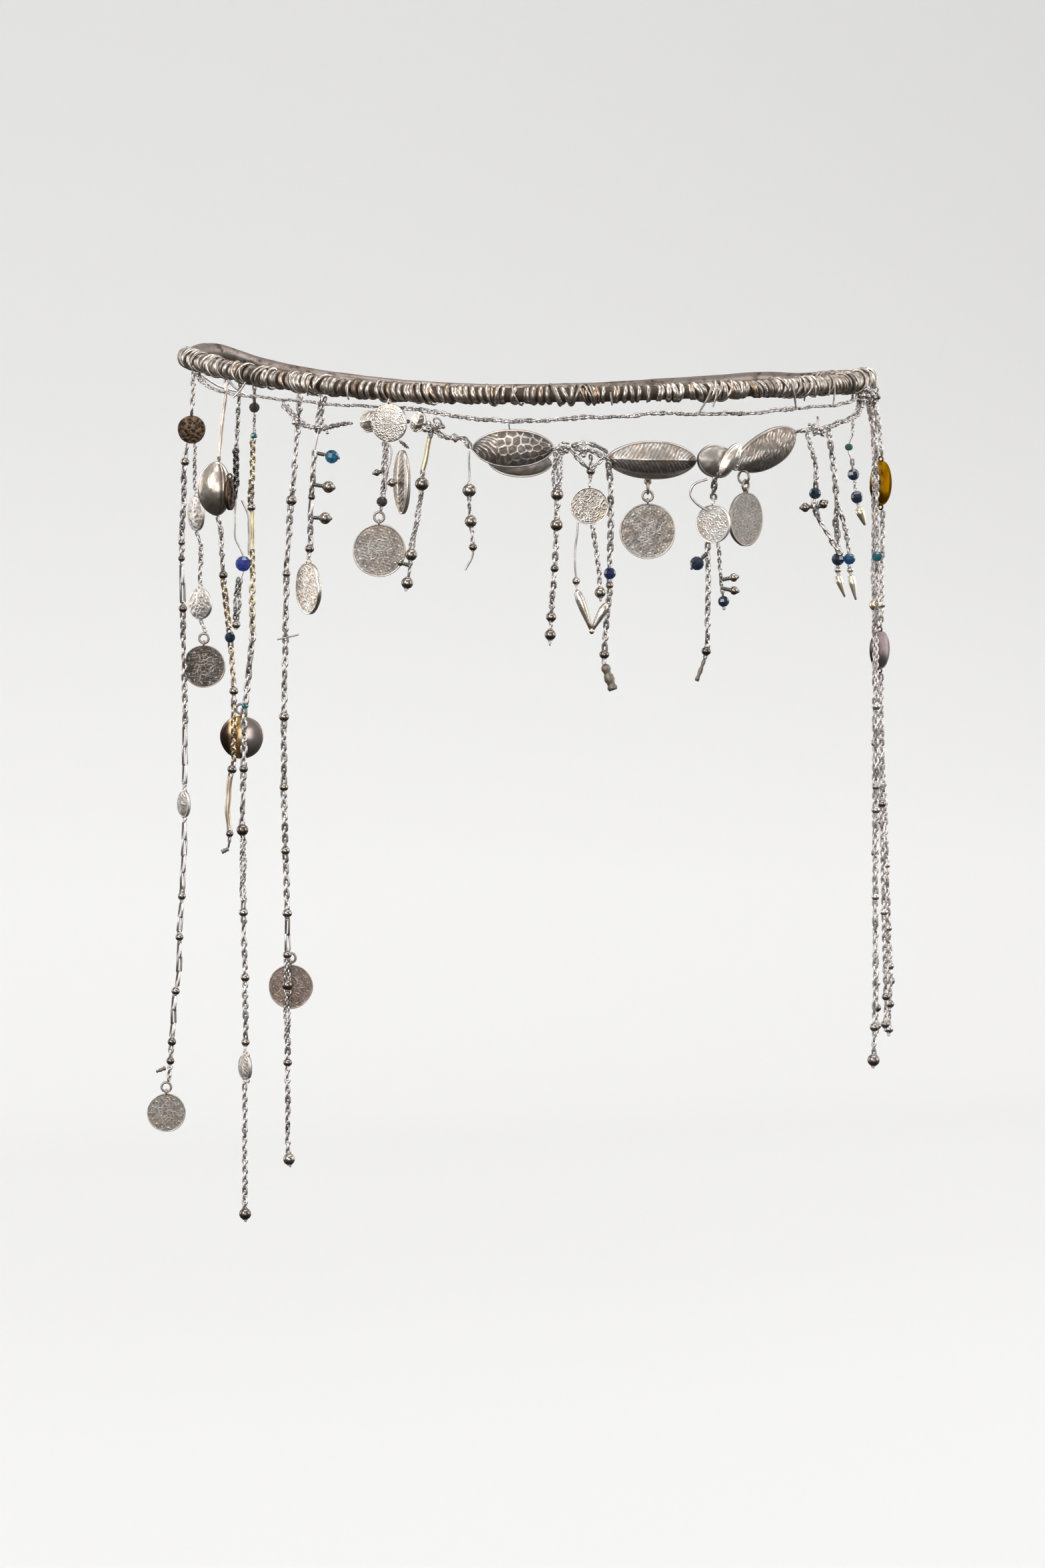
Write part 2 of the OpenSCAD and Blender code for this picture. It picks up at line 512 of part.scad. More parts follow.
// Leaf plaques, long along X with the face to -Y
function side_radius(length, width) = (length * length + width * width) / (4 * width);
module leaf_outline(length, width, depth) {
    r = side_radius(length, width);
    rotate([90, 0, 0]) intersection() {
        translate([0, width / 2 - r, 0]) cylinder(h = depth, r = r, center = true);
        translate([0, r - width / 2, 0]) cylinder(h = depth, r = r, center = true);
    }
}
module dome_skin(bend_r, thick) {
    translate([0, bend_r, 0]) difference() {
        sphere(bend_r + thick);
        sphere(bend_r);
    }
}
module leaf(length, width, veins, bend_r) {
    rim_w = width * 0.07;
    vein_w = width * 0.05;
    depth = width;
    intersection() {
        dome_skin(bend_r, leaf_t);
        leaf_outline(length, width, depth);
    }
    intersection() {
        dome_skin(bend_r, leaf_t + relief);
        difference() {
            leaf_outline(length, width, depth);
            leaf_outline(length - 4 * rim_w, width - 2 * rim_w, depth + 1);
        }
    }
    if (veins > 0) intersection() {
        dome_skin(bend_r, leaf_t + relief * 0.9);
        leaf_outline(length - rim_w, width - rim_w, depth);
        union() {
            cube([length * 0.9, depth, vein_w * 1.3], center = true);
            for (i = [0:veins - 1], side = [-1, 1])
                translate([length * (0.72 * (i + 0.5) / veins - 0.38), 0, 0])
                    rotate([0, -side * 38, 0])
                        translate([width * 0.3, 0, 0])
                            cube([width * 0.6, depth, vein_w], center = true);
        }
    }
}
module placed(row, yaw, roll) {
    translate(place(row[0], row[2], row[1], row[3])) rotate([0, 0, yaw]) rotate([0, -roll, 0])
        children();
}
module leaf_from(row, bend = 1.1) {
    placed(row, row[LEAF_YAW], row[LEAF_ROLL])
        leaf(row[LEAF_LENGTH], row[LEAF_WIDTH], row[LEAF_VEINS], row[LEAF_LENGTH] * bend);
}

// Rings and loops of wire, round the Y axis unless turned
module wire_ring(middle_r, wire_d = ring_wire_d) {
    rotate([90, 0, 0]) rotate_extrude() translate([middle_r, 0]) circle(d = wire_d);
}
module top_loop(radius) {
    translate([0, 0, radius + loop_rise]) rotate([0, 0, 90]) wire_ring(loop_r);
}

// Coins, round the Y axis with the loop on top
module round_plate(radius, thick) {
    rotate([90, 0, 0]) cylinder(h = thick, r = radius, center = true);
}
module raised_ring(radius, wide, thick) {
    difference() {
        round_plate(radius, thick);
        round_plate(radius - wide, thick + 1);
    }
}
module dot_circle(count, middle_r, dot_r, thick) {
    for (i = [0:count - 1]) rotate([0, i * 360 / count, 0]) translate([middle_r, 0, 0])
        round_plate(dot_r, thick);
}
module star(radius, rays, thick) {
    for (i = [0:rays / 2 - 1]) rotate([0, i * 360 / rays, 0])
        cube([2 * radius, thick, radius * 0.16], center = true);
    round_plate(radius * 0.28, thick);
}
module crescent(radius, thick) {
    difference() {
        round_plate(radius, thick);
        translate([radius * 0.35, 0, radius * 0.2]) round_plate(radius * 0.8, thick + 1);
    }
}
module crescents(count, middle_r, radius, thick) {
    for (i = [0:count - 1]) rotate([0, i * 360 / count + 20, 0]) translate([middle_r, 0, 0])
        crescent(radius, thick);
}
module coin(radius, motif) {
    high = coin_t + 2 * relief;
    round_plate(radius, coin_t);
    raised_ring(radius, radius * 0.08, high);
    dot_circle(18, radius * 0.82, radius * 0.045, high);
    if (motif == "star") {
        raised_ring(radius * 0.68, radius * 0.05, high);
        star(radius * 0.5, 8, high);
    }
    if (motif == "crescents") {
        crescents(6, radius * 0.58, radius * 0.14, high);
        crescent(radius * 0.3, high);
    }
    if (motif == "scroll") {
        crescents(4, radius * 0.45, radius * 0.26, high);
        star(radius * 0.2, 6, high);
    }
    top_loop(radius);
}
module coin_from(row, motif) {
    placed(row, row[COIN_YAW], 0) coin(row[COIN_RADIUS], motif);
}

// Beaten discs: a shallow dome with pits, and loops at the given turns from the top
module domed_disc(radius, bend_r, pits, loops) {
    difference() {
        intersection() {
            dome_skin(bend_r, leaf_t);
            round_plate(radius, radius);
        }
        if (pits > 0) for (i = [0:pits - 1]) let (
                w = i * 137.5,
                r = radius * 0.8 * sqrt((i + 0.5) / pits),
                pit_r = radius * 0.3,
                y = bend_r - sqrt(pow(bend_r + leaf_t, 2) - r * r)
            ) translate([r * cos(w), y - pit_r * 0.93, r * sin(w)]) sphere(pit_r);
    }
    for (side = loops) translate([0, bend_r - sqrt(pow(bend_r + leaf_t / 2, 2) - radius * radius), 0])
        rotate([0, side, 0]) top_loop(radius);
}
module disc_from(row, bend, pits, loops = [0]) {
    placed(row, row[COIN_YAW], 0)
        domed_disc(row[COIN_RADIUS], row[COIN_RADIUS] * bend, pits, loops);
}
module ring_over(row) {
    translate([0, 0, row[COIN_RADIUS] + ring_rise]) placed(row, row[COIN_YAW], 0)
        wire_ring(ring_r);
}
// An oval plate with a loop at each end, long along Z
module oval_plate(half_w, half_h) {
    r = side_radius(2 * half_h, 2 * half_w);
    rotate([0, 90, 0]) leaf_outline(2 * half_h, 2 * half_w, leaf_t);
    for (side = [-1, 1])
        translate([0, 0, side * (half_h + loop_rise * 0.6)]) wire_ring(loop_r);
}

module jump_rings() {
    color("gray") {
        for (row = [coin_left_row, big_coin_row, coin_b_row, coin_end_row, mirror_disc_row,
                    coin_behind_row, coin_d_row])
            ring_over(row);
        // The ring between the middle plaque and its coin
        translate([0, 0, 10]) placed(coin_b_row, 74, 0) wire_ring(1.4);
        // The ring between the third plaque and its coin
        translate([-0.3, 0.5, 9.75]) placed(coin_d_row, 123, 0) wire_ring(1.5);
        // The fine open loop beside the third disc
        translate(place(9.6, -3.5, 2.6, -25.4)) rotate([0, 0, -10]) wire_ring(2.7, 0.36);
    }
}

module side_pin(row) {
    a = place(row[0], row[2][0], row[1], row[2][1]);
    b = place(row[0], row[3][0], row[1], row[3][1]);
    d = unit(b - a);
    start = 0.95;
    finish = norm(b - a) + row[4] + 0.12 + pin_cap_r;
    translate(a) toward(d) {
        translate([0, 0, start]) cylinder(h = finish - start, r = pin_d / 2);
        translate([0, 0, finish]) sphere(pin_cap_r);
    }
}
module pin_beads(kind) {
    for (row = pin_rows) if (row[5] == kind) {
        a = place(row[0], row[2][0], row[1], row[2][1]);
        b = place(row[0], row[3][0], row[1], row[3][1]);
        translate(b) toward(unit(b - a)) drilled_bead(row[4], kind);
    }
}
module side_pins() {
    color("gray") {
        for (row = pin_rows) side_pin(row);
        // The loose wire that lies across the long left chain
        translate(place(-60.8, -3.1, 1.2, -60)) rotate([0, 77, view_turn])
            cylinder(h = 5.2, r = 0.2, center = true);
    }
}

// A spike from one place to another, wide at its start
module spike(from, to, r1, r2) {
    d = to - from;
    translate(from) toward(unit(d)) cylinder(h = norm(d), r1 = r1, r2 = r2);
}
module arrow_pendant() {
    color("whitesmoke") {
        tip = place(-11.5, .5, .8, -57);
        spike(place(-11.5, -3, .8, -47.5), tip, 1, .35);
        spike(place(-11.5, 4, .8, -50.6), tip, .9, .35);
        translate(tip) sphere(0.6);
    }
}
module end_pieces() {
    color("silver") {
        spike(place(-96.4, -7.7, .9, -168.6), place(-96.4, -10, .9, -169.6), .6, .2);
        spike(place(-80.3, 0, 0, -112.4), place(-80.3, -1.7, 0, -113.2), .45, .6);
        spike(place(-8.7, -.5, -2, -64.9), place(-8.7, 1.5, -2, -70.8), 1.1, 1.25);
        spike(place(9.6, -1.8, 1.4, -63.8), place(9.6, -3.7, 1.4, -69), .4, .55);
        spike(place(37.3, 2.3, .8, -45.9), place(37.3, 4, .8, -51), .9, .5);
        spike(place(37.3, 5.4, .8, -45.9), place(37.3, 6.6, .8, -51.7), .9, .5);
        spike(place(47.6, 1.5, .8, -30.4), place(47.6, 3, .8, -34.6), 1.1, .2);
    }
}

module chain_far_left() { color("silver") chain_links(far_left); }
module chain_left_discs() { color("silver") chain_links(left_discs); }
module chain_rose() { color("tan") chain_links(rose); }
module chain_blue_bead() { color("dimgray") chain_links(blue_bead); }
module chain_longest() { color("silver") chain_links(longest); }
module chain_long_left() { color("silver") chain_links(long_left); }
module chain_side_pins() { color("silver") chain_links(side_pins_chain); }
module chain_big_coin() { color("silver") chain_links(big_coin_chain); }
module chain_gold_tube() { color("silver") chain_links(gold_tube); }
module chain_leaf_1() { color("silver") chain_links(leaf_1_chain); }
module chain_triple() { color("silver") chain_links(triple); }
module chain_arrow() { color("silver") chain_links(arrow); }
module chain_blue_drop() { color("silver") chain_links(blue_drop); }
module chain_bar_end() { color("silver") chain_links(bar_end); }
module chain_leaf_3() { color("silver") chain_links(leaf_3_chain); }
module chain_spikes() { color("silver") chain_links(spikes); }
module chain_cone() { color("silver") chain_links(cone_chain); }
module chain_right_1() { color("gainsboro") chain_links(right_1); }
module chain_right_2() { color("gainsboro") chain_links(right_2); }
module chain_right_3() { color("gainsboro") chain_links(right_3); }
module chain_right_4() { color("gainsboro") chain_links(right_4); }
module chain_right_5() { color("gainsboro") chain_links(right_5); }

module leaf_1() { color("silver") leaf_from(leaf_1_row); }
module leaf_1_back() { color("gray") leaf_from(leaf_1_back_row); }
module leaf_2() {
    color("gray") {
        leaf_from(leaf_2_row);
        translate([0, 0, 11.4]) placed(coin_b_row, coin_b_row[COIN_YAW], 0) wire_ring(loop_r);
    }
}
module leaf_3() { color("silver") leaf_from(leaf_3_row); }
module grey_leaf() { color("dimgray") leaf_from(grey_leaf_row, 1.2); }
module folded_leaf() { color("gainsboro") leaf_from(folded_leaf_row, 2); }
module hanging_leaf() { color("silver") leaf_from(hanging_leaf_row); }
module domed_leaf() { color("darkgray") leaf_from(domed_leaf_row, 0.62); }
module swag_leaves() { color("gray") for (row = swag_leaf_rows) leaf_from(row); }

module disc_far_left() { color("dimgray") disc_from(disc_far_left_row, 4, 7); }
module hammered_discs() { color("gainsboro") for (row = hammered_rows) disc_from(row, 3, 9); }
module coin_left() { color("dimgray") coin_from(coin_left_row, "crescents"); }
module mirror_disc() { color("sienna") disc_from(mirror_disc_row, 1.8, 0); }
module edge_disc() { color("dimgray") disc_from(edge_disc_row, 3, 0); }
module marquise_coin() { color("gainsboro") coin_from(marquise_coin_row, "star"); }
module filigree_disc() { color("silver") disc_from(filigree_disc_row, 6, 12); }
module big_coin() { color("gray") coin_from(big_coin_row, "scroll"); }
module coin_a() { color("silver") coin_from(coin_a_row, "star"); }
module coin_b() { color("silver") coin_from(coin_b_row, "scroll"); }
module coin_c() { color("silver") coin_from(coin_c_row, "crescents"); }
module coin_d() { color("silver") coin_from(coin_d_row, "star"); }
module coin_end() { color("gray") coin_from(coin_end_row, "star"); }
module coin_behind() { color("gray") coin_from(coin_behind_row, "crescents"); }
module amber_disc() { color("goldenrod") disc_from(amber_disc_row, 3, 0, [0, 180]); }
module purple_disc() { color("slategray") disc_from(purple_disc_row, 3, 0, [0, 180]); }
module oval_plates() {
    color("silver") {
        translate(place(-96.4, -2.8, 0, -103.8)) rotate([0, 0, -60]) oval_plate(2, 3.3);
        translate(place(-71.9, -2.8, 0, -163.5)) rotate([0, 0, -70]) oval_plate(1.9, 3);
        translate(place(-71.9, -2.1, 1, -163.5)) rotate([0, 0, -70]) oval_plate(1.7, 2.8);
    }
}

module metal_beads_left() { color("gray") beads_on(left_chains, METAL); }
module metal_beads_front() {
    color("gray") {
        beads_on(front_chains, METAL);
        pin_beads(METAL);
    }
}
module metal_beads_right() { color("gray") beads_on(right_chains, METAL); }
module glass_beads() {
    color("navy") {
        beads_on(concat(left_chains, front_chains, right_chains), GLASS);
        pin_beads(GLASS);
    }
}

hoop();
wire_wrap();
upper_chain();
swag_chain();
chain_far_left();
chain_left_discs();
chain_rose();
chain_blue_bead();
chain_longest();
chain_long_left();
chain_side_pins();
chain_big_coin();
chain_gold_tube();
chain_leaf_1();
chain_triple();
chain_arrow();
chain_blue_drop();
chain_bar_end();
chain_leaf_3();
chain_spikes();
chain_cone();
chain_right_1();
chain_right_2();
chain_right_3();
chain_right_4();
chain_right_5();
leaf_1();
leaf_1_back();
leaf_2();
leaf_3();
grey_leaf();
folded_leaf();
hanging_leaf();
domed_leaf();
swag_leaves();
disc_far_left();
hammered_discs();
coin_left();
mirror_disc();
edge_disc();
marquise_coin();
filigree_disc();
big_coin();
coin_a();
coin_b();
coin_c();
coin_d();
coin_end();
coin_behind();
oval_plates();
amber_disc();
purple_disc();
jump_rings();
metal_beads_left();
metal_beads_front();
metal_beads_right();
glass_beads();
side_pins();
arrow_pendant();
end_pieces();
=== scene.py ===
"""Coin headdress: a wire-wound oval circlet hung with fine chains, leaf plaques, coins and beads.

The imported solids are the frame. This script draws over them the parts that the eye reads as
metalwork: wound wire, linked chains, struck relief on the coins, veined leaves and glass beads.
All sizes in the classes below are millimetres in the frame of the part, but the studio's are metres.
"""

from __future__ import annotations

import json
import logging
import math
from dataclasses import dataclass, field
from enum import Enum
from typing import Iterable, Sequence

import bmesh
import bpy
import numpy as np
from mathutils import Matrix, Vector

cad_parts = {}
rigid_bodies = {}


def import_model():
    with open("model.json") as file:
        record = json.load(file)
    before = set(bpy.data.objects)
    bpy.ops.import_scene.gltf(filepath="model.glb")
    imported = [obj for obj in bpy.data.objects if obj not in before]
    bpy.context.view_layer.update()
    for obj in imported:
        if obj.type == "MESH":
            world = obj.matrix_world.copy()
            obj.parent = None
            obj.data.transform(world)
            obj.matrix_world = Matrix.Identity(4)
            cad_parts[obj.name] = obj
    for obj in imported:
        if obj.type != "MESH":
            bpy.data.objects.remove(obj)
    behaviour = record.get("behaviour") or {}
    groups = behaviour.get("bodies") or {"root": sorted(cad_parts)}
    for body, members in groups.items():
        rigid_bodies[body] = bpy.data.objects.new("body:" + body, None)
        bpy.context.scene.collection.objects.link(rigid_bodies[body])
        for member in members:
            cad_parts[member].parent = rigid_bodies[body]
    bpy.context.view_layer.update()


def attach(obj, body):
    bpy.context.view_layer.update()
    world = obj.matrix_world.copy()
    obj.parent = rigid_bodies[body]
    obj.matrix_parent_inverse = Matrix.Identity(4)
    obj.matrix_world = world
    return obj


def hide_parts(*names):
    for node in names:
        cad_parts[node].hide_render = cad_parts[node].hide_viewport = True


LOG = logging.getLogger("headdress")
MM = 0.001
ROOT = "root"
RGB = tuple[float, float, float]
Place = tuple[float, float, float]
Faces = list[tuple[int, ...]]
Shell = tuple[np.ndarray, Faces]
GOLDEN_TURN = 2.39996
ANY_TURN = 6.28
TAU = 2 * math.pi

# ---------------------------------------------------------------- where things are


@dataclass(frozen=True)
class Hoop:
    """The circlet's centre line and the view plane in which the chains drift.

    Angles are in degrees, 0 in front and 90 on the right.
    """

    half_x: float = 81.4
    half_y: float = 99.9
    tilt: float = 2.2
    saddle: float = 2.5
    sink: float = -0.9
    twist: float = 2.2
    waver: float = 0.9
    view_turn: float = math.radians(-18.0)
    band_r: float = 1.9
    core_r: float = 1.68
    wrap_first: float = -112.5
    wrap_last: float = 99.0
    back_lift: float = 0.95
    back_middle: float = -6.75
    back_from: float = 106.0
    back_blend: float = 14.0
    hump: float = 1.5
    hump_angle: float = -134.0
    hump_reach: float = 11.0

    def height(self, angle: float) -> float:
        """Height of the centre line at an angle."""
        a = math.radians(angle)
        return (
            self.sink
            - self.tilt * math.sin(a)
            - self.saddle * math.cos(2 * a)
            + self.twist * math.sin(2 * a)
            + self.waver * math.cos(3 * a)
        )

    def point(self, angle: float) -> np.ndarray:
        """Point of the centre line at an angle."""
        a = math.radians(angle)
        return np.array([self.half_x * math.sin(a), -self.half_y * math.cos(a), self.height(angle)])

    def lift(self, angle: float) -> float:
        """How far the bare back stands over the plain curve, with a hump on its left side."""
        turned = (angle + 180) % 360 - 180
        past = min(1.0, max(0.0, (abs(turned - self.back_middle) - self.back_from) / self.back_blend))
        back = self.back_lift * past * past * (3 - 2 * past)
        return back + self.hump * math.exp(-(((turned - self.hump_angle) / self.hump_reach) ** 2))

    def outward(self, angle: float) -> np.ndarray:
        """Level direction away from the middle at an angle."""
        a = math.radians(angle)
        v = np.array([math.sin(a) / self.half_x, -math.cos(a) / self.half_y, 0.0])
        return v / np.linalg.norm(v)

    def along(self, angle: float) -> np.ndarray:
        """Direction of the centre line at an angle."""
        v = self.point(angle + 0.05) - self.point(angle - 0.05)
        return v / np.linalg.norm(v)

    def top(self, angle: float) -> np.ndarray:
        """Upward direction square to the centre line at an angle."""
        v = np.cross(self.outward(angle), self.along(angle))
        return v if v[2] > 0 else -v

    def place(self, angle: float, across: float, forward: float, height: float) -> np.ndarray:
        """A place near the hoop, sideways and forward in the view plane.

        Args:
            angle: Hoop angle in degrees.
            across: Sideways shift to the viewer's right.
            forward: Shift towards the viewer.
            height: Height in the frame.

        Returns:
            The point.
        """
        a = math.radians(angle)
        c, s = math.cos(self.view_turn), math.sin(self.view_turn)
        return np.array(
            [
                self.half_x * math.sin(a) + across * c + forward * s,
                -self.half_y * math.cos(a) + across * s - forward * c,
                height,
            ]
        )

    def beside(self, angle: float, out: float, height: float) -> np.ndarray:
        """A place beside the hoop, moved outward and set at a height."""
        p = self.point(angle) + out * self.outward(angle)
        return np.array([p[0], p[1], height])


HOOP = Hoop()

# ---------------------------------------------------------------- shader helpers


class Tone:
    """One value socket of a material, with arithmetic that adds Math nodes."""

    def __init__(self, pot: "PaintPot", socket: bpy.types.NodeSocket) -> None:
        """Wraps a socket of the pot's tree."""
        self.pot = pot
        self.socket = socket

    def _maths(self, operation: str, first: object, second: object) -> "Tone":
        """Adds a Math node.

        Args:
            operation: The Math node's operation.
            first: First operand, a Tone or a number.
            second: Second operand, a Tone or a number.

        Returns:
            The node's output.
        """
        made = self.pot.node("ShaderNodeMath", {"operation": operation}, {0: first, 1: second})
        return Tone(self.pot, made.outputs[0])

    def __add__(self, other: object) -> "Tone":
        """Sum."""
        return self._maths("ADD", self, other)

    __radd__ = __add__

    def __sub__(self, other: object) -> "Tone":
        """Difference."""
        return self._maths("SUBTRACT", self, other)

    def __rsub__(self, other: object) -> "Tone":
        """Reflected difference."""
        return self._maths("SUBTRACT", other, self)

    def __mul__(self, other: object) -> "Tone":
        """Product."""
        return self._maths("MULTIPLY", self, other)

    __rmul__ = __mul__

    def between(self, low: float, high: float) -> "Tone":
        """A soft step that runs from 0 at low to 1 at high."""
        made = self.pot.node(
            "ShaderNodeMapRange",
            {"interpolation_type": "SMOOTHSTEP"},
            {"Value": self, "From Min": low, "From Max": high},
        )
        return Tone(self.pot, made.outputs[0])


class PaintPot:
    """A material under construction: one Principled shader and what feeds it."""

    def __init__(self, name: str) -> None:
        """Starts an empty material of that name."""
        self.material = bpy.data.materials.new(name)
        self.material.use_nodes = True
        self.tree = self.material.node_tree
        self.tree.nodes.clear()
        self.output = self.tree.nodes.new("ShaderNodeOutputMaterial")
        self.shader = self.tree.nodes.new("ShaderNodeBsdfPrincipled")
        self.tree.links.new(self.shader.outputs[0], self.output.inputs[0])

    def node(self, kind: str, settings: dict[str, object], inputs: dict[object, object]) -> bpy.types.Node:
        """Adds a node.

        Args:
            kind: The node's type.
            settings: Its own settings, set first.
            inputs: Values, Tones or sockets by the input's name or number.

        Returns:
            The node.
        """
        made = self.tree.nodes.new(kind)
        for key, value in settings.items():
            setattr(made, key, value)
        for key, value in inputs.items():
            self.feed(made.inputs[key], value)
        return made

    def feed(self, target: bpy.types.NodeSocket, value: object) -> None:
        """Sets a socket to a number or colour, or links a Tone or socket to it."""
        if isinstance(value, Tone):
            self.tree.links.new(value.socket, target)
        elif isinstance(value, bpy.types.NodeSocket):
            self.tree.links.new(value, target)
        else:
            if isinstance(value, tuple) and len(value) == 3 and target.type == "RGBA":
                value = (*value, 1.0)
            target.default_value = value

    def noise(self, size_mm: float, detail: float, stretch: Place = (1.0, 1.0, 1.0)) -> Tone:
        """Noise on the piece's own coordinates, with a grain of about that size in millimetres."""
        coords = self.node("ShaderNodeTexCoord", {}, {}).outputs["Object"]
        place = self.node("ShaderNodeMapping", {}, {"Vector": coords, "Scale": stretch}).outputs[0]
        inputs = {"Vector": place, "Scale": 1000.0 / size_mm, "Detail": detail, "Roughness": 0.6}
        return Tone(self, self.node("ShaderNodeTexNoise", {}, inputs).outputs[0])

    def attribute(self, name: str) -> Tone:
        """A number stored on the piece's points."""
        made = self.node("ShaderNodeAttribute", {"attribute_name": name}, {})
        return Tone(self, made.outputs["Fac"])

    def mix(self, factor: object, low: object, high: object) -> bpy.types.NodeSocket:
        """A colour between low and high."""
        return self.node("ShaderNodeMix", {"data_type": "RGBA"}, {0: factor, 6: low, 7: high}).outputs[2]

    def bump(self, height: Tone, strength: float, depth_mm: float) -> bpy.types.NodeSocket:
        """A normal raised by a height."""
        inputs = {"Strength": strength, "Distance": depth_mm * MM, "Height": height}
        return self.node("ShaderNodeBump", {}, inputs).outputs[0]

    def set(self, **values: object) -> None:
        """Feeds the shader's sockets, named with underscores for spaces."""
        for key, value in values.items():
            self.feed(self.shader.inputs[key.replace("_", " ")], value)


# ---------------------------------------------------------------- finishes


@dataclass(frozen=True)
class WornSilver:
    """Silver whose hollows have gone dark and whose high places are rubbed bright.

    The relief attribute says what is high.
    """

    name: str
    bright: RGB = (0.78, 0.72, 0.66)
    dark: RGB = (0.10, 0.082, 0.07)
    tarnish: float = 0.35
    roughness: float = 0.26
    grain_mm: float = 1.2
    scratch: float = 0.25
    warming: RGB = (1.0, 0.93, 0.85)

    def material(self) -> bpy.types.Material:
        """Builds the material.

        Returns:
            The material.
        """
        pot = PaintPot(self.name)
        cloud = pot.noise(self.grain_mm, 4.0)
        fine = pot.noise(self.grain_mm * 0.22, 2.0)
        wear = cloud * 0.65 + fine * 0.35
        brightness = (pot.attribute("relief") * 0.9 + wear * 0.75 - self.tarnish).between(0.0, 0.75)
        warm = tuple(c * k for c, k in zip(self.bright, self.warming))
        bright = pot.mix(pot.noise(self.grain_mm * 4.0, 1.0).between(0.4, 0.65), self.bright, warm)
        pot.set(
            Base_Color=pot.mix(brightness, self.dark, bright),
            Metallic=1.0,
            Roughness=(1.0 - brightness) * 0.28 + fine * 0.16 + (self.roughness - 0.08),
            Normal=pot.bump(fine, self.scratch, 0.12),
        )
        return pot.material


@dataclass(frozen=True)
class LinkMetal:
    """Metal of the chains: a tint runs from dark through silver to gold, and a shine says how bright it is, from
    tarnish and from painted highlight and shade.
    """

    name: str
    silver: RGB = (0.86, 0.805, 0.77)
    gold: RGB = (0.92, 0.78, 0.50)
    dark: RGB = (0.16, 0.128, 0.108)
    roughness: float = 0.26
    dirt: float = 0.25

    def material(self) -> bpy.types.Material:
        """Builds the material.

        Returns:
            The material.
        """
        pot = PaintPot(self.name)
        tint = pot.attribute("tint")
        spots = pot.noise(0.9, 3.0)
        metal = pot.mix(tint.between(0.05, 0.5), self.dark, self.silver)
        metal = pot.mix(tint.between(0.55, 0.95), metal, self.gold)
        shine = pot.attribute("shine")
        # The shine brings painted highlight and shade with it; the spots are real dirt.
        brightness = ((spots - 0.12).between(0.28, 0.5) * self.dirt + (1.0 - self.dirt)) * shine
        pot.set(
            # Where brightness is low the metal is painted near black: tarnish, and painted shade on links turned from
            # the light.
            Base_Color=pot.mix(brightness, tuple(c * 0.7 for c in self.dark), metal),
            Metallic=1.0,
            Roughness=(1.0 - brightness) * 0.25 + self.roughness,
        )
        return pot.material


@dataclass(frozen=True)
class AgedCopper:
    """Dull pinkish brown of the bare hoop, with dark stains, and painted shade where the wire turns lie close."""

    name: str = "aged_copper"
    warm: RGB = (0.26, 0.20, 0.165)
    pale: RGB = (0.33, 0.285, 0.255)
    # dark of the stains, and the painted shade between the wire turns
    deep: RGB = (0.07, 0.05, 0.04)

    def material(self) -> bpy.types.Material:
        """Builds the material.

        Returns:
            The material.
        """
        pot = PaintPot(self.name)
        cloud = pot.noise(7.0, 4.0)
        streak = pot.noise(1.3, 3.0, (0.35, 0.35, 1.0))
        base = pot.mix(cloud.between(0.35, 0.65), self.warm, self.pale)
        # Painted shade: where the stored gap shade is high the hoop is painted near black, as between close turns of
        # wire; elsewhere the dark stains come from noise.
        clear_of_stain_and_shade = (streak * 0.6 + cloud * 0.4).between(0.36, 0.5) * (1.0 - pot.attribute("gap_shade"))
        pot.set(
            Base_Color=pot.mix(clear_of_stain_and_shade, self.deep, base),
            Metallic=0.85,
            Roughness=(1.0 - clear_of_stain_and_shade) * 0.2 + streak * 0.2 + 0.3,
            Normal=pot.bump(streak, 0.3, 0.15),
        )
        return pot.material


@dataclass(frozen=True)
class Polished:
    """Smooth bright metal with a few soft clouds and fine rubbing marks.

    Its edge is the tint seen at a grazing angle, and sides are a painted reflection: a dark colour left of its middle
    and a pale one right of it.
    """

    name: str
    colour: RGB
    cloud: RGB
    roughness: float
    edge: RGB = (1.0, 1.0, 1.0)
    sides: tuple[RGB, RGB] | None = None
    coat: float = 0.0

    def material(self) -> bpy.types.Material:
        """Builds the material.

        Returns:
            The material.
        """
        pot = PaintPot(self.name)
        cloud = pot.noise(4.5, 3.0)
        marks = pot.noise(0.35, 2.0, (0.12, 0.12, 1.0))
        colour = pot.mix(cloud.between(0.42, 0.62), self.colour, self.cloud)
        if self.sides:
            # Painted reflection: the colour turns dark on one side of the middle and pale on the other.
            side = pot.attribute("side") + cloud * 0.3 - 0.15
            colour = pot.mix(side.between(-0.66, -0.42), self.sides[0], colour)
            colour = pot.mix(side.between(0.1, 0.3), colour, self.sides[1])
        pot.set(
            Base_Color=colour,
            Metallic=1.0,
            Roughness=cloud * 0.12 + marks * 0.06 + self.roughness,
            Specular_Tint=self.edge,
            Normal=pot.bump(marks, 0.08, 0.05),
            Coat_Weight=self.coat,
        )
        return pot.material


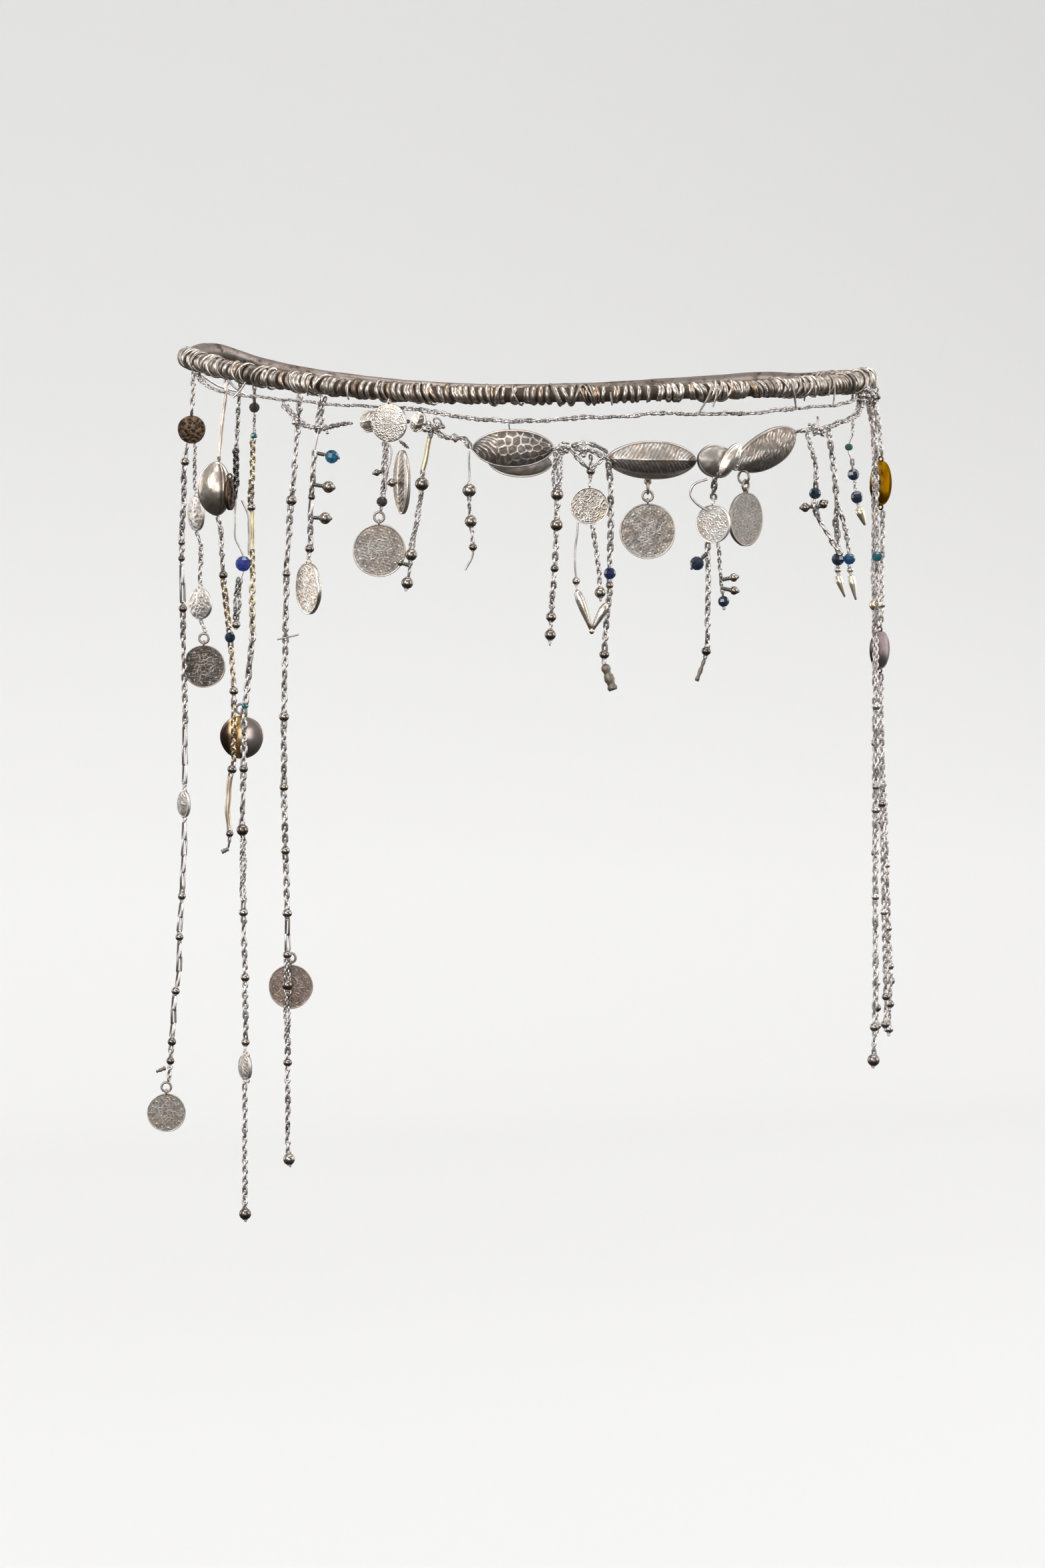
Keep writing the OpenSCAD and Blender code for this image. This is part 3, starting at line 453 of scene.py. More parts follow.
@dataclass(frozen=True)
class BeadGlass:
    """Ground glass whose colour is stored on each bead."""

    name: str = "bead_glass"
    shade: RGB = (0.3, 0.35, 0.5)
    transmission: float = 0.3

    def material(self) -> bpy.types.Material:
        """Builds the material.

        Returns:
            The material.
        """
        pot = PaintPot(self.name)
        glaze = pot.node("ShaderNodeAttribute", {"attribute_name": "glaze"}, {}).outputs["Color"]
        cloud = pot.noise(0.8, 2.0)
        settings = {"data_type": "RGBA", "blend_type": "MULTIPLY"}
        deep = pot.node("ShaderNodeMix", settings, {0: 0.8, 6: glaze, 7: self.shade}).outputs[2]
        pot.set(
            Base_Color=pot.mix(cloud.between(0.35, 0.65), deep, glaze),
            Metallic=0.0,
            Roughness=cloud * 0.08 + 0.03,
            Transmission_Weight=self.transmission,
            IOR=1.6,
            Coat_Weight=0.3,
            Coat_Roughness=0.03,
        )
        return pot.material


class Finish(Enum):
    """What each piece is made of or coated with."""

    BRIGHT = WornSilver("bright_silver", tarnish=0.16)
    WORN = WornSilver("worn_silver", tarnish=0.21)
    LEAF = WornSilver("leaf_silver", (0.70, 0.645, 0.60), (0.13, 0.112, 0.10), 0.4, 0.34, 1.4)
    GREY = WornSilver("grey_silver", (0.46, 0.425, 0.395), (0.13, 0.113, 0.102), 0.2, 0.36, 1.8)
    DARK = WornSilver("dark_silver_worn", (0.42, 0.375, 0.34), (0.07, 0.058, 0.05), 0.36, 0.36, 1.1)
    BROWN_DISC = WornSilver("brown_disc", (0.105, 0.072, 0.05), (0.028, 0.02, 0.014), 0.4, 0.42, 1.4)
    BROWN_COIN = WornSilver("brown_coin", (0.36, 0.29, 0.255), (0.10, 0.075, 0.062), 0.2, 0.4, 1.6)
    PALE_COIN = WornSilver("pale_coin", (0.38, 0.355, 0.33), (0.16, 0.143, 0.13), 0.1, 0.42, 1.4)
    PALE_GILT = WornSilver("pale_gilt", (0.86, 0.78, 0.63), (0.2, 0.17, 0.14), 0.35, 0.3, 1.4, 0.1)
    HAMMERED = WornSilver("hammered_silver", (0.70, 0.66, 0.63), (0.2, 0.18, 0.165), 0.26, 0.4, 0.8)
    WHITE_COIN = WornSilver("white_coin", (0.86, 0.83, 0.80), (0.3, 0.28, 0.26), 0.14, 0.44, 1.2)
    MIRROR = Polished(
        "mirror_bronze", (0.50, 0.34, 0.17), (0.26, 0.15, 0.07), 0.14,
        # the mirror's sides are a painted reflection: dark on the left, pale on the right
        sides=((0.07, 0.045, 0.035), (0.4, 0.335, 0.31)),
    )
    GLOSSY_LEAF = WornSilver("glossy_leaf", (0.66, 0.59, 0.52), (0.07, 0.055, 0.045), 0.2, 0.26, 3.0, 0.15)
    AMBER = Polished("amber_gold_gloss", (0.15, 0.08, 0.021), (0.035, 0.018, 0.005), 0.12, (0.76, 0.55, 0.31))
    PURPLE = Polished("purple_metal_gloss", (0.16, 0.11, 0.112), (0.08, 0.056, 0.06), 0.16, coat=0.05)
    COPPER = AgedCopper()
    WINDING = LinkMetal("wound_wire", (0.88, 0.81, 0.73), (0.62, 0.47, 0.34), (0.15, 0.105, 0.08), 0.22, 0.5)
    LINKS = LinkMetal("chain_metal")
    ROSE_LINKS = LinkMetal("rose_chain_metal", gold=(0.92, 0.73, 0.50))
    PALE_LINKS = LinkMetal("pale_chain_metal", (0.93, 0.87, 0.84), (0.9, 0.74, 0.45), (0.34, 0.30, 0.28), 0.42, 0.12)
    DARK_LINKS = LinkMetal("dark_chain_metal", silver=(0.74, 0.70, 0.65), dark=(0.09, 0.08, 0.075))
    BEADS = LinkMetal("bead_metal", (0.54, 0.47, 0.41), (0.80, 0.62, 0.34), (0.11, 0.088, 0.075), 0.14, 0.45)
    GLASS = BeadGlass()


# ---------------------------------------------------------------- meshes


def normalised(v: np.ndarray) -> np.ndarray:
    """The vector at length one."""
    return v / max(float(np.linalg.norm(v)), 1e-9)


def turned_to(along: np.ndarray, up: np.ndarray) -> np.ndarray:
    """Axes whose X lies along a direction and whose Z is near another.

    Args:
        along: Direction of the X axis.
        up: Direction that Z keeps near to.

    Returns:
        A 3 by 3 array with the axes as columns.
    """
    x = normalised(along)
    z = up - np.dot(up, x) * x
    if np.linalg.norm(z) < 1e-3:
        z = np.cross(x, np.array([0.3, 1.0, 0.2]))
    z = normalised(z)
    return np.stack([x, np.cross(z, x), z], axis=1)


def mesh_from(name: str, points: np.ndarray, faces: Faces) -> bpy.types.Mesh:
    """A smooth mesh in metres from points in millimetres.

    Args:
        name: Its name.
        points: Rows of x, y, z.
        faces: Corner numbers of each face.

    Returns:
        The mesh.
    """
    mesh = bpy.data.meshes.new(name)
    mesh.from_pydata([tuple(p) for p in np.asarray(points, float) * MM], [], faces)
    mesh.polygons.foreach_set("use_smooth", [True] * len(mesh.polygons))
    mesh.update()
    return mesh


def store(mesh: bpy.types.Mesh, name: str, values: np.ndarray) -> None:
    """Keeps one number per point on a mesh."""
    mesh.attributes.new(name, "FLOAT", "POINT").data.foreach_set("value", np.asarray(values, np.float32))


def signed_volume(mesh: bpy.types.Mesh) -> float:
    """Volume inside a mesh, negative where its faces point inwards."""
    mesh.calc_loop_triangles()
    tri = np.empty(len(mesh.loop_triangles) * 3, np.int32)
    mesh.loop_triangles.foreach_get("vertices", tri)
    co = np.empty(len(mesh.vertices) * 3, np.float32)
    mesh.vertices.foreach_get("co", co)
    a, b, c = np.moveaxis(co.reshape(-1, 3).astype(float)[tri.reshape(-1, 3)], 1, 0)
    return float(np.einsum("ij,ij->i", a, np.cross(b, c)).sum() / 6)


def settle(
    name: str, mesh: bpy.types.Mesh, finish: bpy.types.Material | None, nodes: Sequence[str]
) -> None:
    """Makes a finished piece that rides on the one body.

    Args:
        name: The piece's name.
        mesh: Its mesh, already in place.
        finish: Its material, or None where the mesh has its own.
        nodes: CAD nodes that it stands for.
    """
    if signed_volume(mesh) < 0:
        mesh.flip_normals()
    if finish is not None:
        mesh.materials.clear()
        mesh.materials.append(finish)
    piece = bpy.data.objects.new(name, mesh)
    mesh.name = name
    bpy.context.scene.collection.objects.link(piece)
    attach(piece, ROOT)
    if nodes:
        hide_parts(*nodes)
    LOG.info("%s: %d faces", name, len(mesh.polygons))


def joined(meshes: Sequence[bpy.types.Mesh]) -> bpy.types.Mesh:
    """One mesh from several, with their attributes kept."""
    work = bmesh.new()
    for mesh in meshes:
        work.from_mesh(mesh)
    out = bpy.data.meshes.new(meshes[0].name)
    work.to_mesh(out)
    work.free()
    return out


def round_angles(steps: int) -> np.ndarray:
    """Even angles once round, without the last."""
    return np.linspace(0, TAU, steps, endpoint=False)


def circled(middle: np.ndarray, across: np.ndarray, up: np.ndarray, radius: float, steps: int) -> list[np.ndarray]:
    """Places on a circle round a middle, in the plane of two directions."""
    return [middle + radius * (across * math.cos(w) + up * math.sin(w)) for w in round_angles(steps)]


def facing(yaw_deg: float) -> np.ndarray:
    """Level direction that a plate with that yaw looks in."""
    yaw = math.radians(yaw_deg)
    return np.array([math.sin(yaw), -math.cos(yaw), 0.0])


def ring_mesh(
    centre: np.ndarray, normal: np.ndarray, radius: float, wire_r: float, steps: int = 28, sides: int = 8
) -> Shell:
    """A closed wire ring.

    Args:
        centre: Its middle.
        normal: Direction square to the ring.
        radius: Middle radius.
        wire_r: Radius of the wire.
        steps: Points round the ring.
        sides: Points round the wire.

    Returns:
        Points and faces.
    """
    axes = turned_to(normal, np.array([0.1, 0.2, 1.0]))
    uu, ww = np.meshgrid(round_angles(steps), round_angles(sides), indexing="ij")
    r = radius + wire_r * np.cos(ww)
    local = np.stack([wire_r * np.sin(ww), r * np.cos(uu), r * np.sin(uu)], -1).reshape(-1, 3)
    return centre + local @ axes.T, looped_quads(steps, sides)


def looped_quads(steps: int, sides: int) -> Faces:
    """Faces of a closed tube of so many rings of points."""
    return [
        (i * sides + j, k * sides + j, k * sides + (j + 1) % sides, i * sides + (j + 1) % sides)
        for i, k in ((i, (i + 1) % steps) for i in range(steps))
        for j in range(sides)
    ]


def stacked(parts: Iterable[Shell]) -> Shell:
    """Several sets of points and faces as one."""
    points: list[np.ndarray] = []
    faces: Faces = []
    start = 0
    for p, f in parts:
        points.append(p)
        faces.extend(tuple(i + start for i in face) for face in f)
        start += len(p)
    return np.vstack(points), faces


# ---------------------------------------------------------------- geometry node trees


class NodeTree:
    """A Geometry Nodes tree under construction, with named inputs."""

    def __init__(self, name: str, inputs: Sequence[tuple[str, str, object]]) -> None:
        """Starts a tree.

        Args:
            name: The tree's name.
            inputs: Name, socket type and default value of each named input.
        """
        self.group = bpy.data.node_groups.new(name, "GeometryNodeTree")
        face = self.group.interface
        face.new_socket(name="Path", in_out="INPUT", socket_type="NodeSocketGeometry")
        face.new_socket(name="Metal", in_out="OUTPUT", socket_type="NodeSocketGeometry")
        self.keys: dict[str, str] = {}
        for label, kind, value in inputs:
            made = face.new_socket(name=label, in_out="INPUT", socket_type=kind)
            if value is not None:
                made.default_value = value
            self.keys[label] = made.identifier
        self.entry = self.group.nodes.new("NodeGroupInput")
        self.leave = self.group.nodes.new("NodeGroupOutput")

    def node(self, kind: str, settings: dict[str, object], inputs: dict[object, object]) -> bpy.types.Node:
        """Adds a node.

        Args:
            kind: The node's type.
            settings: Its own settings, set first.
            inputs: Values or sockets by the input's name or number.

        Returns:
            The node.
        """
        made = self.group.nodes.new(kind)
        for key, value in settings.items():
            setattr(made, key, value)
        for key, value in inputs.items():
            if isinstance(value, bpy.types.NodeSocket):
                self.group.links.new(value, made.inputs[key])
            else:
                made.inputs[key].default_value = value
        return made

    def given(self, label: str) -> bpy.types.NodeSocket:
        """The socket of a named input inside the tree."""
        return self.entry.outputs[label]

    def stored(self, name: str, kind: str = "FLOAT") -> bpy.types.NodeSocket:
        """A value stored on the points."""
        made = self.node("GeometryNodeInputNamedAttribute", {"data_type": kind}, {"Name": name})
        return next(s for s in made.outputs if s.name == "Attribute" and s.enabled)

    def circle(self, steps: str, radius: float) -> bpy.types.NodeSocket:
        """A circle whose resolution is a named input, with a radius in metres."""
        inputs = {"Resolution": self.given(steps), "Radius": radius}
        return self.node("GeometryNodeCurvePrimitiveCircle", {"mode": "RADIUS"}, inputs).outputs[0]

    def set_out(self, shape: bpy.types.NodeSocket, **chosen: bpy.types.NodeSocket) -> bpy.types.NodeSocket:
        """The shape on each point, or on the chosen ones, with the point's own turn and size."""
        turn = self.node("FunctionNodeEulerToRotation", {}, {0: self.stored("turn", "FLOAT_VECTOR")})
        inputs = {
            "Points": self.given("Path"),
            "Instance": shape,
            "Rotation": turn.outputs[0],
            "Scale": self.stored("size", "FLOAT_VECTOR"),
        }
        return self.node("GeometryNodeInstanceOnPoints", {}, inputs | chosen).outputs[0]

    def close(self, parts: Sequence[bpy.types.NodeSocket], smooth: object) -> None:
        """Joins the parts, makes the instances real and gives them the finish."""
        join = self.node("GeometryNodeJoinGeometry", {}, {})
        for part in parts:
            self.group.links.new(part, join.inputs[0])
        real = self.node("GeometryNodeRealizeInstances", {}, {"Geometry": join.outputs[0]})
        shade = self.node("GeometryNodeSetShadeSmooth", {}, {"Geometry": real.outputs[0], "Shade Smooth": smooth})
        dress = {"Geometry": shade.outputs[0], "Material": self.given("Finish")}
        self.group.links.new(self.node("GeometryNodeSetMaterial", {}, dress).outputs[0], self.leave.inputs[0])

    def run(self, name: str, path: bpy.types.Mesh, values: dict[str, object]) -> bpy.types.Mesh:
        """Runs the tree over a path and returns the plain result.

        Args:
            name: Name of the result.
            path: Mesh whose points and edges the tree reads.
            values: Values of the named inputs.

        Returns:
            The mesh.
        """
        holder = bpy.data.objects.new(name + ".path", path)
        bpy.context.scene.collection.objects.link(holder)
        modifier = holder.modifiers.new("build", "NODES")
        modifier.node_group = self.group
        for label, value in values.items():
            modifier[self.keys[label]] = value
        graph = bpy.context.evaluated_depsgraph_get()
        graph.update()
        mesh = bpy.data.meshes.new_from_object(holder.evaluated_get(graph), depsgraph=graph)
        holder.modifiers.clear()
        bpy.data.objects.remove(holder)
        bpy.data.meshes.remove(path)
        mesh.name = name
        return mesh


class Link(Enum):
    """Shapes of one link: number, outside length, outside width, wire radius, pitch, in millimetres.

    The number is the kind stored on a point, and the pitch is the distance from link to link.
    """

    FINE = (0, 1.45, 0.98, 0.19)
    CABLE = (1, 1.95, 1.32, 0.25)
    LONG = (2, 4.6, 0.95, 0.19)
    FLAT = (3, 1.5, 1.3, 0.26, 0.85)
    WIRE = (4, 1.0, 0.5, 0.24)
    TUBE = (5, 1.0, 1.6, 0.8)
    TWIST = (6, 1.35, 1.4, 0.3, 0.72)

    def __init__(self, number: int, length: float, width: float, wire_r: float, pitch: float = 0.0) -> None:
        """Keeps the columns by name, and works out the pitch of plain interlocking links."""
        self.number, self.length, self.width, self.wire_r = number, length, width, wire_r
        self.pitch = pitch or length - 4 * wire_r + 0.12

    @property
    def drawn(self) -> bool:
        """Whether it is plain drawn wire or tube and not a link."""
        return self in (Link.WIRE, Link.TUBE)


LINKED = tuple(kind for kind in Link if not kind.drawn)


def chain_tree() -> NodeTree:
    """The tree that turns points into links and edges into drawn wire."""
    tree = NodeTree(
        "linked_chain",
        [
            ("Link Steps", "NodeSocketInt", 12),
            ("Wire Sides", "NodeSocketInt", 5),
            ("Rod Sides", "NodeSocketInt", 8),
            ("Finish", "NodeSocketMaterial", None),
        ],
    )
    kinds = tree.stored("kind", "INT")
    parts = []
    for kind in LINKED:
        loop = tree.circle("Link Steps", (kind.width / 2 - kind.wire_r) * MM)
        place = tree.node("GeometryNodeInputPosition", {}, {})
        split = tree.node("ShaderNodeSeparateXYZ", {}, {0: place.outputs[0]})
        side = tree.node("ShaderNodeMath", {"operation": "SIGN"}, {0: split.outputs[0]})
        half = (kind.length - kind.width) / 2 * MM
        push = tree.node("ShaderNodeMath", {"operation": "MULTIPLY"}, {0: side.outputs[0], 1: half})
        shift = tree.node("ShaderNodeCombineXYZ", {}, {0: push.outputs[0]})
        oval = tree.node("GeometryNodeSetPosition", {}, {"Geometry": loop, "Offset": shift.outputs[0]})
        wire = tree.circle("Wire Sides", kind.wire_r * MM)
        link = tree.node("GeometryNodeCurveToMesh", {}, {"Curve": oval.outputs[0], "Profile Curve": wire})
        settings = {"data_type": "INT", "operation": "EQUAL"}
        chosen = tree.node("FunctionNodeCompare", settings, {2: kinds, 3: kind.number})
        parts.append(tree.set_out(link.outputs[0], Selection=chosen.outputs[0]))
    lines = tree.node("GeometryNodeMeshToCurve", {}, {"Mesh": tree.given("Path")})
    rod = {"Curve": lines.outputs[0], "Profile Curve": tree.circle("Rod Sides", MM)}
    rod |= {"Scale": tree.stored("girth"), "Fill Caps": True}
    parts.append(tree.node("GeometryNodeCurveToMesh", {}, rod).outputs[0])
    tree.close(parts, True)
    return tree


def bead_tree() -> NodeTree:
    """The tree that sets a ball on each point."""
    tree = NodeTree(
        "strung_beads",
        [
            ("Segments", "NodeSocketInt", 20),
            ("Rings", "NodeSocketInt", 12),
            ("Smooth", "NodeSocketBool", True),
            ("Finish", "NodeSocketMaterial", None),
        ],
    )
    inputs = {"Segments": tree.given("Segments"), "Rings": tree.given("Rings"), "Radius": MM}
    ball = tree.node("GeometryNodeMeshUVSphere", {}, inputs)
    tree.close([tree.set_out(ball.outputs[0])], tree.given("Smooth"))
    return tree


STORED = (
    ("turn", "FLOAT_VECTOR", "vector"),
    ("size", "FLOAT_VECTOR", "vector"),
    ("kind", "INT", "value"),
    ("girth", "FLOAT", "value"),
    ("tint", "FLOAT", "value"),
    ("shine", "FLOAT", "value"),
    ("glaze", "FLOAT_COLOR", "color"),
)


@dataclass
class PathCloud:
    """Points and edges, with what the chain and bead trees read from each point."""

    points: list[np.ndarray] = field(default_factory=list)
    edges: list[tuple[int, int]] = field(default_factory=list)
    rows: dict[str, list[object]] = field(default_factory=lambda: {name: [] for name, _, _ in STORED})

    def add(
        self,
        point: np.ndarray,
        axes: np.ndarray | None = None,
        size: Place = (1.0, 1.0, 1.0),
        kind: int = -1,
        girth: float = 0.2,
        tint: float = 0.5,
        glaze: RGB = (0.5, 0.5, 0.5),
        shine: float = 1.0,
    ) -> None:
        """Adds one point.

        Args:
            point: Its place.
            axes: Turn of the link or bead on it, as columns.
            size: Scale of the link or bead along its three axes.
            kind: Number of its link, or -1 for none.
            girth: Radius of the wire that passes it.
            tint: Its colour, from dark through silver to gold.
            glaze: Colour of its glass.
            shine: How bright its metal is, from black to bright: partly tarnish, partly painted highlight and shade.
        """
        turn = tuple(Matrix(axes.tolist()).to_euler()) if axes is not None else (0.0, 0.0, 0.0)
        self.points.append(np.asarray(point, float))
        for (name, _, _), value in zip(STORED, (turn, size, kind, girth, tint, shine, (*glaze, 1.0))):
            self.rows[name].append(value)

    def wire(
        self,
        path: Sequence[np.ndarray],
        girth: float | Sequence[float],
        tint: float | Sequence[float] = 0.5,
        closed: bool = False,
        shine: float | Sequence[float] = 0.85,
    ) -> None:
        """Adds drawn wire along a path.

        Args:
            path: Its points.
            girth: Its radius, or one for each point.
            tint: Its colour, from dark through silver to gold.
            closed: Whether its end meets its start.
            shine: How bright its metal is, from black to bright: partly tarnish, partly painted highlight and shade.
        """
        rows = (np.broadcast_to(v, len(path)) for v in (girth, tint, shine))
        first = len(self.points)
        for p, r, tone, brightness in zip(path, *rows):
            self.add(p, girth=float(r), tint=float(tone), shine=float(brightness))
        last = len(self.points) - 1
        self.edges.extend((i, i + 1) for i in range(first, last))
        if closed:
            self.edges.append((last, first))

    def mesh(self) -> bpy.types.Mesh:
        """The cloud as a mesh with its values stored."""
        mesh = bpy.data.meshes.new("cloud")
        mesh.from_pydata([tuple(p * MM) for p in self.points], self.edges, [])
        for name, kind, key in STORED:
            values = np.array(self.rows[name], np.int32 if kind == "INT" else np.float32)
            mesh.attributes.new(name, kind, "POINT").data.foreach_set(key, values.ravel())
        return mesh


# ---------------------------------------------------------------- chains


def evened(path: np.ndarray, step: float) -> tuple[np.ndarray, np.ndarray]:
    """A path with even steps.

    Args:
        path: Rows whose first three columns are a place and whose others go along with it.
        step: Distance between the new points.

    Returns:
        The new rows and the distance of each along the path.
    """
    gaps = np.linalg.norm(np.diff(path[:, :3], axis=0), axis=1)
    run = np.r_[0.0, np.cumsum(gaps)]
    count = max(2, int(round(run[-1] / step)) + 1)
    at = np.linspace(0.0, run[-1], count)
    return np.stack([np.interp(at, run, path[:, k]) for k in range(path.shape[1])], axis=1), at


def softened(rows: np.ndarray, reach: int) -> np.ndarray:
    """Rows smoothed by a running mean that leaves both ends where they are."""
    out = rows.copy()
    n = len(rows)
    for i in range(1, n - 1):
        k = min(reach, i, n - 1 - i)
        out[i] = rows[i - k : i + k + 1].mean(axis=0)
    return out


BEAD_REACH = 0.86


@dataclass(frozen=True)
class Zone:
    """Heights between which a chain has other links, another tint or more rows of links."""

    top: float
    foot: float
    link: Link
    tint: float = 0.5
    rows: int = 1


@dataclass(frozen=True)
class Run:
    """One stretch of a chain: stations [across, height, half width, lean] and its beads.

    A bead is [height, radius] with the name of its glass, or none for metal. A bare run is plain wire.
    """

    stations: tuple[tuple[float, ...], ...]
    beads: tuple[tuple[float, float, str], ...] = ()
    bare: bool = False

    def at(self, height: float) -> tuple[float, float, float]:
        """Across, half width and lean at a height."""
        rows = [(*s, 0.0)[:4] for s in self.stations]
        heights = [-r[1] for r in rows]
        return tuple(float(np.interp(-height, heights, [r[k] for r in rows])) for k in (0, 2, 3))


@dataclass(frozen=True)
class HangingChain:
    """A chain that hangs from the hoop or from a plaque, with its links and its beads.

    It hangs at a hoop angle, so far forward of the centre line. Its zones name what differs from its
    own links and tint.
    """

    node: str
    angle: float
    forward: float
    runs: tuple[Run, ...]
    link: Link = Link.CABLE
    tint: float = 0.5
    zones: tuple[Zone, ...] = ()
    slot: str = "silver"

    def centre(self, run: Run, height: float) -> np.ndarray:
        """The chain's middle at a height."""
        across, _, lean = run.at(height)
        return HOOP.place(self.angle, across, self.forward + lean, height)

    def zone_at(self, height: float) -> Zone:
        """The links and colour at a height."""
        for zone in self.zones:
            if zone.top >= height > zone.foot:
                return zone
        return Zone(9.0, -999.0, self.link, self.tint)

    def pieces(self, run: Run) -> list[tuple[float, float, Zone]]:
        """The run cut at its beads and where its links change, from the top down."""
        top, foot = run.stations[0][1], run.stations[-1][1]
        cuts = {top, foot}
        for zone in self.zones:
            cuts.update(h for h in (zone.top, zone.foot) if foot < h < top)
        for height, radius, _ in run.beads:
            cuts.update((height + radius * BEAD_REACH, height - radius * BEAD_REACH))
        order = sorted((c for c in cuts if foot <= c <= top), reverse=True)
        out = []
        for a, b in zip(order, order[1:]):
            middle = (a + b) / 2
            zone = Zone(a, b, Link.WIRE, 0.35) if run.bare else self.zone_at(middle)
            if any(abs(middle - h) < r * BEAD_REACH for h, r, _ in run.beads):
                zone = Zone(a, b, Link.WIRE, 0.2)
            if a - b > 0.05:
                out.append((a, b, zone))
        return out

    def build(self, cloud: PathCloud, rng: np.random.Generator) -> None:
        """Adds the chain's links and wires to a cloud.

        Args:
            cloud: Where they go.
            rng: Source of the small unevenness.
        """
        for run in self.runs:
            sway = rng.uniform(0, ANY_TURN, 4)
            for a, b, zone in self.pieces(run):
                rows = []
                for h in np.linspace(a, b, max(2, int((a - b) / 0.4) + 1)):
                    aside = 0.07 * math.sin(h * 1.3 + sway[0]) + 0.05 * math.sin(h * 0.47 + sway[1])
                    p = self.centre(run, h) + HOOP_ACROSS * aside
                    p = p + HOOP_FORWARD * 0.08 * math.sin(h * 0.9 + sway[2])
                    rows.append([*p, run.at(h)[1]])
                lay_links(cloud, softened(np.asarray(rows), 3), zone.link, zone.tint, zone.rows, rng)


HOOP_ACROSS = np.array([math.cos(HOOP.view_turn), math.sin(HOOP.view_turn), 0.0])
HOOP_FORWARD = np.array([math.sin(HOOP.view_turn), -math.cos(HOOP.view_turn), 0.0])


STRAND_GAP = 0.78
STRAND_SHARE = 0.72
LINK_WIDTH = 2.6
STRAND_LINK_WIDTH = 2.15
LONG_HALF = 0.8
# share of links left bright; the rest get painted shade
BRIGHT_LINK_SHARE = 0.66


def lean_of(link: Link, number: int, rng: np.random.Generator) -> tuple[float, float]:
    """Roll and pitch of a link, which turns the other way from the one before it.

    Args:
        link: Its kind.
        number: Its place in the row.
        rng: Source of the small unevenness.

    Returns:
        Both angles in radians.
    """
    odd = number % 2
    if link in (Link.FLAT, Link.TWIST):
        return math.radians(38 if odd else -38) + rng.normal(0, 0.12), math.radians(14)
    if link is Link.LONG:
        return math.radians(-26 if odd else 36) + rng.normal(0, 0.1), 0.0
    return math.radians(24 + 90 * odd) + rng.normal(0, 0.25), rng.normal(0, 0.06)


def lay_links(
    cloud: PathCloud, rows: np.ndarray, link: Link, tint: float, strands: int, rng: np.random.Generator
) -> None:
    """Lays links or wire along a path.

    Args:
        cloud: Where they go.
        rows: Place and half width at each point of the path.
        link: Their kind.
        tint: Their colour.
        strands: How many lie side by side.
        rng: Source of the small unevenness.
    """
    lag = 0.25 if strands > 1 else 0.0
    for number in range(strands):
        shifted = rows.copy()
        if strands > 1:
            offset = (number - (strands - 1) / 2) * STRAND_GAP
            wave = 0.12 * np.sin(np.linspace(0, len(rows) * 0.35, len(rows)) + number * 2.1)
            shifted[:, :3] += np.outer(offset * np.clip(rows[:, 3] / 0.6, 0.7, 1.2) + wave, HOOP_ACROSS)
            shifted[:, :3] += np.outer(wave * 1.2, HOOP_FORWARD)
            shifted[:, 3] *= STRAND_SHARE
        if link.drawn:
            path, _ = evened(shifted, 0.7)
            thick = np.minimum(path[:, 3], link.wire_r) if link is Link.WIRE else path[:, 3] * 0.92
            cloud.wire([p[:3] for p in path], thick, tint)
            continue
        long = link is Link.LONG
        widest = max(float(shifted[:, 3].mean()), LONG_HALF if long else 0.0)
        width = LINK_WIDTH if strands == 1 else STRAND_LINK_WIDTH
        fit = float(np.clip(width * widest / link.width, 0.6, 1.75))
        run = float(np.linalg.norm(np.diff(shifted[:, :3], axis=0), axis=1).sum())
        count = max(1, round(run / (link.pitch * (1.0 if long else fit))))
        fine, at = evened(shifted, 0.2)
        for i in range(count):
            s = (i + 0.5 + lag * number) * run / (count + lag)
            near = (max(s - 0.5, 0), s, min(s + 0.5, run))
            behind, here, beyond = (np.array([np.interp(t, at, fine[:, k]) for k in range(3)]) for t in near)
            roll, pitch = lean_of(link, i, rng)
            spin = np.array(Matrix.Rotation(roll, 3, "X") @ Matrix.Rotation(pitch, 3, "Y"))
            stretch = run / count / link.pitch
            size = (stretch if long else max(stretch, fit * 0.9), fit, fit)
            shade = float(np.clip(tint + rng.normal(0, 0.04), 0.0, 0.53 if tint < 0.56 else 1.0))
            # Painted sparkle: about a third of the links are made darker at random, standing in for links turned away
            # from the light.
            brightness = rng.uniform(0.8, 1.0) if rng.random() < BRIGHT_LINK_SHARE else rng.uniform(0.12, 0.5)
            axes = turned_to(beyond - behind, HOOP_FORWARD)
            cloud.add(here, axes @ spin, size, link.number, tint=shade, shine=float(brightness))


GLASS: dict[str, RGB] = {
    "cobalt": (0.025, 0.045, 0.26),
    "navy": (0.015, 0.024, 0.10),
    "deep": (0.012, 0.085, 0.2),
    "sea": (0.01, 0.13, 0.22),
    "teal": (0.012, 0.13, 0.15),
    "ink": (0.012, 0.025, 0.05),
    "black": (0.055, 0.04, 0.032),
    "green": (0.03, 0.13, 0.10),
}

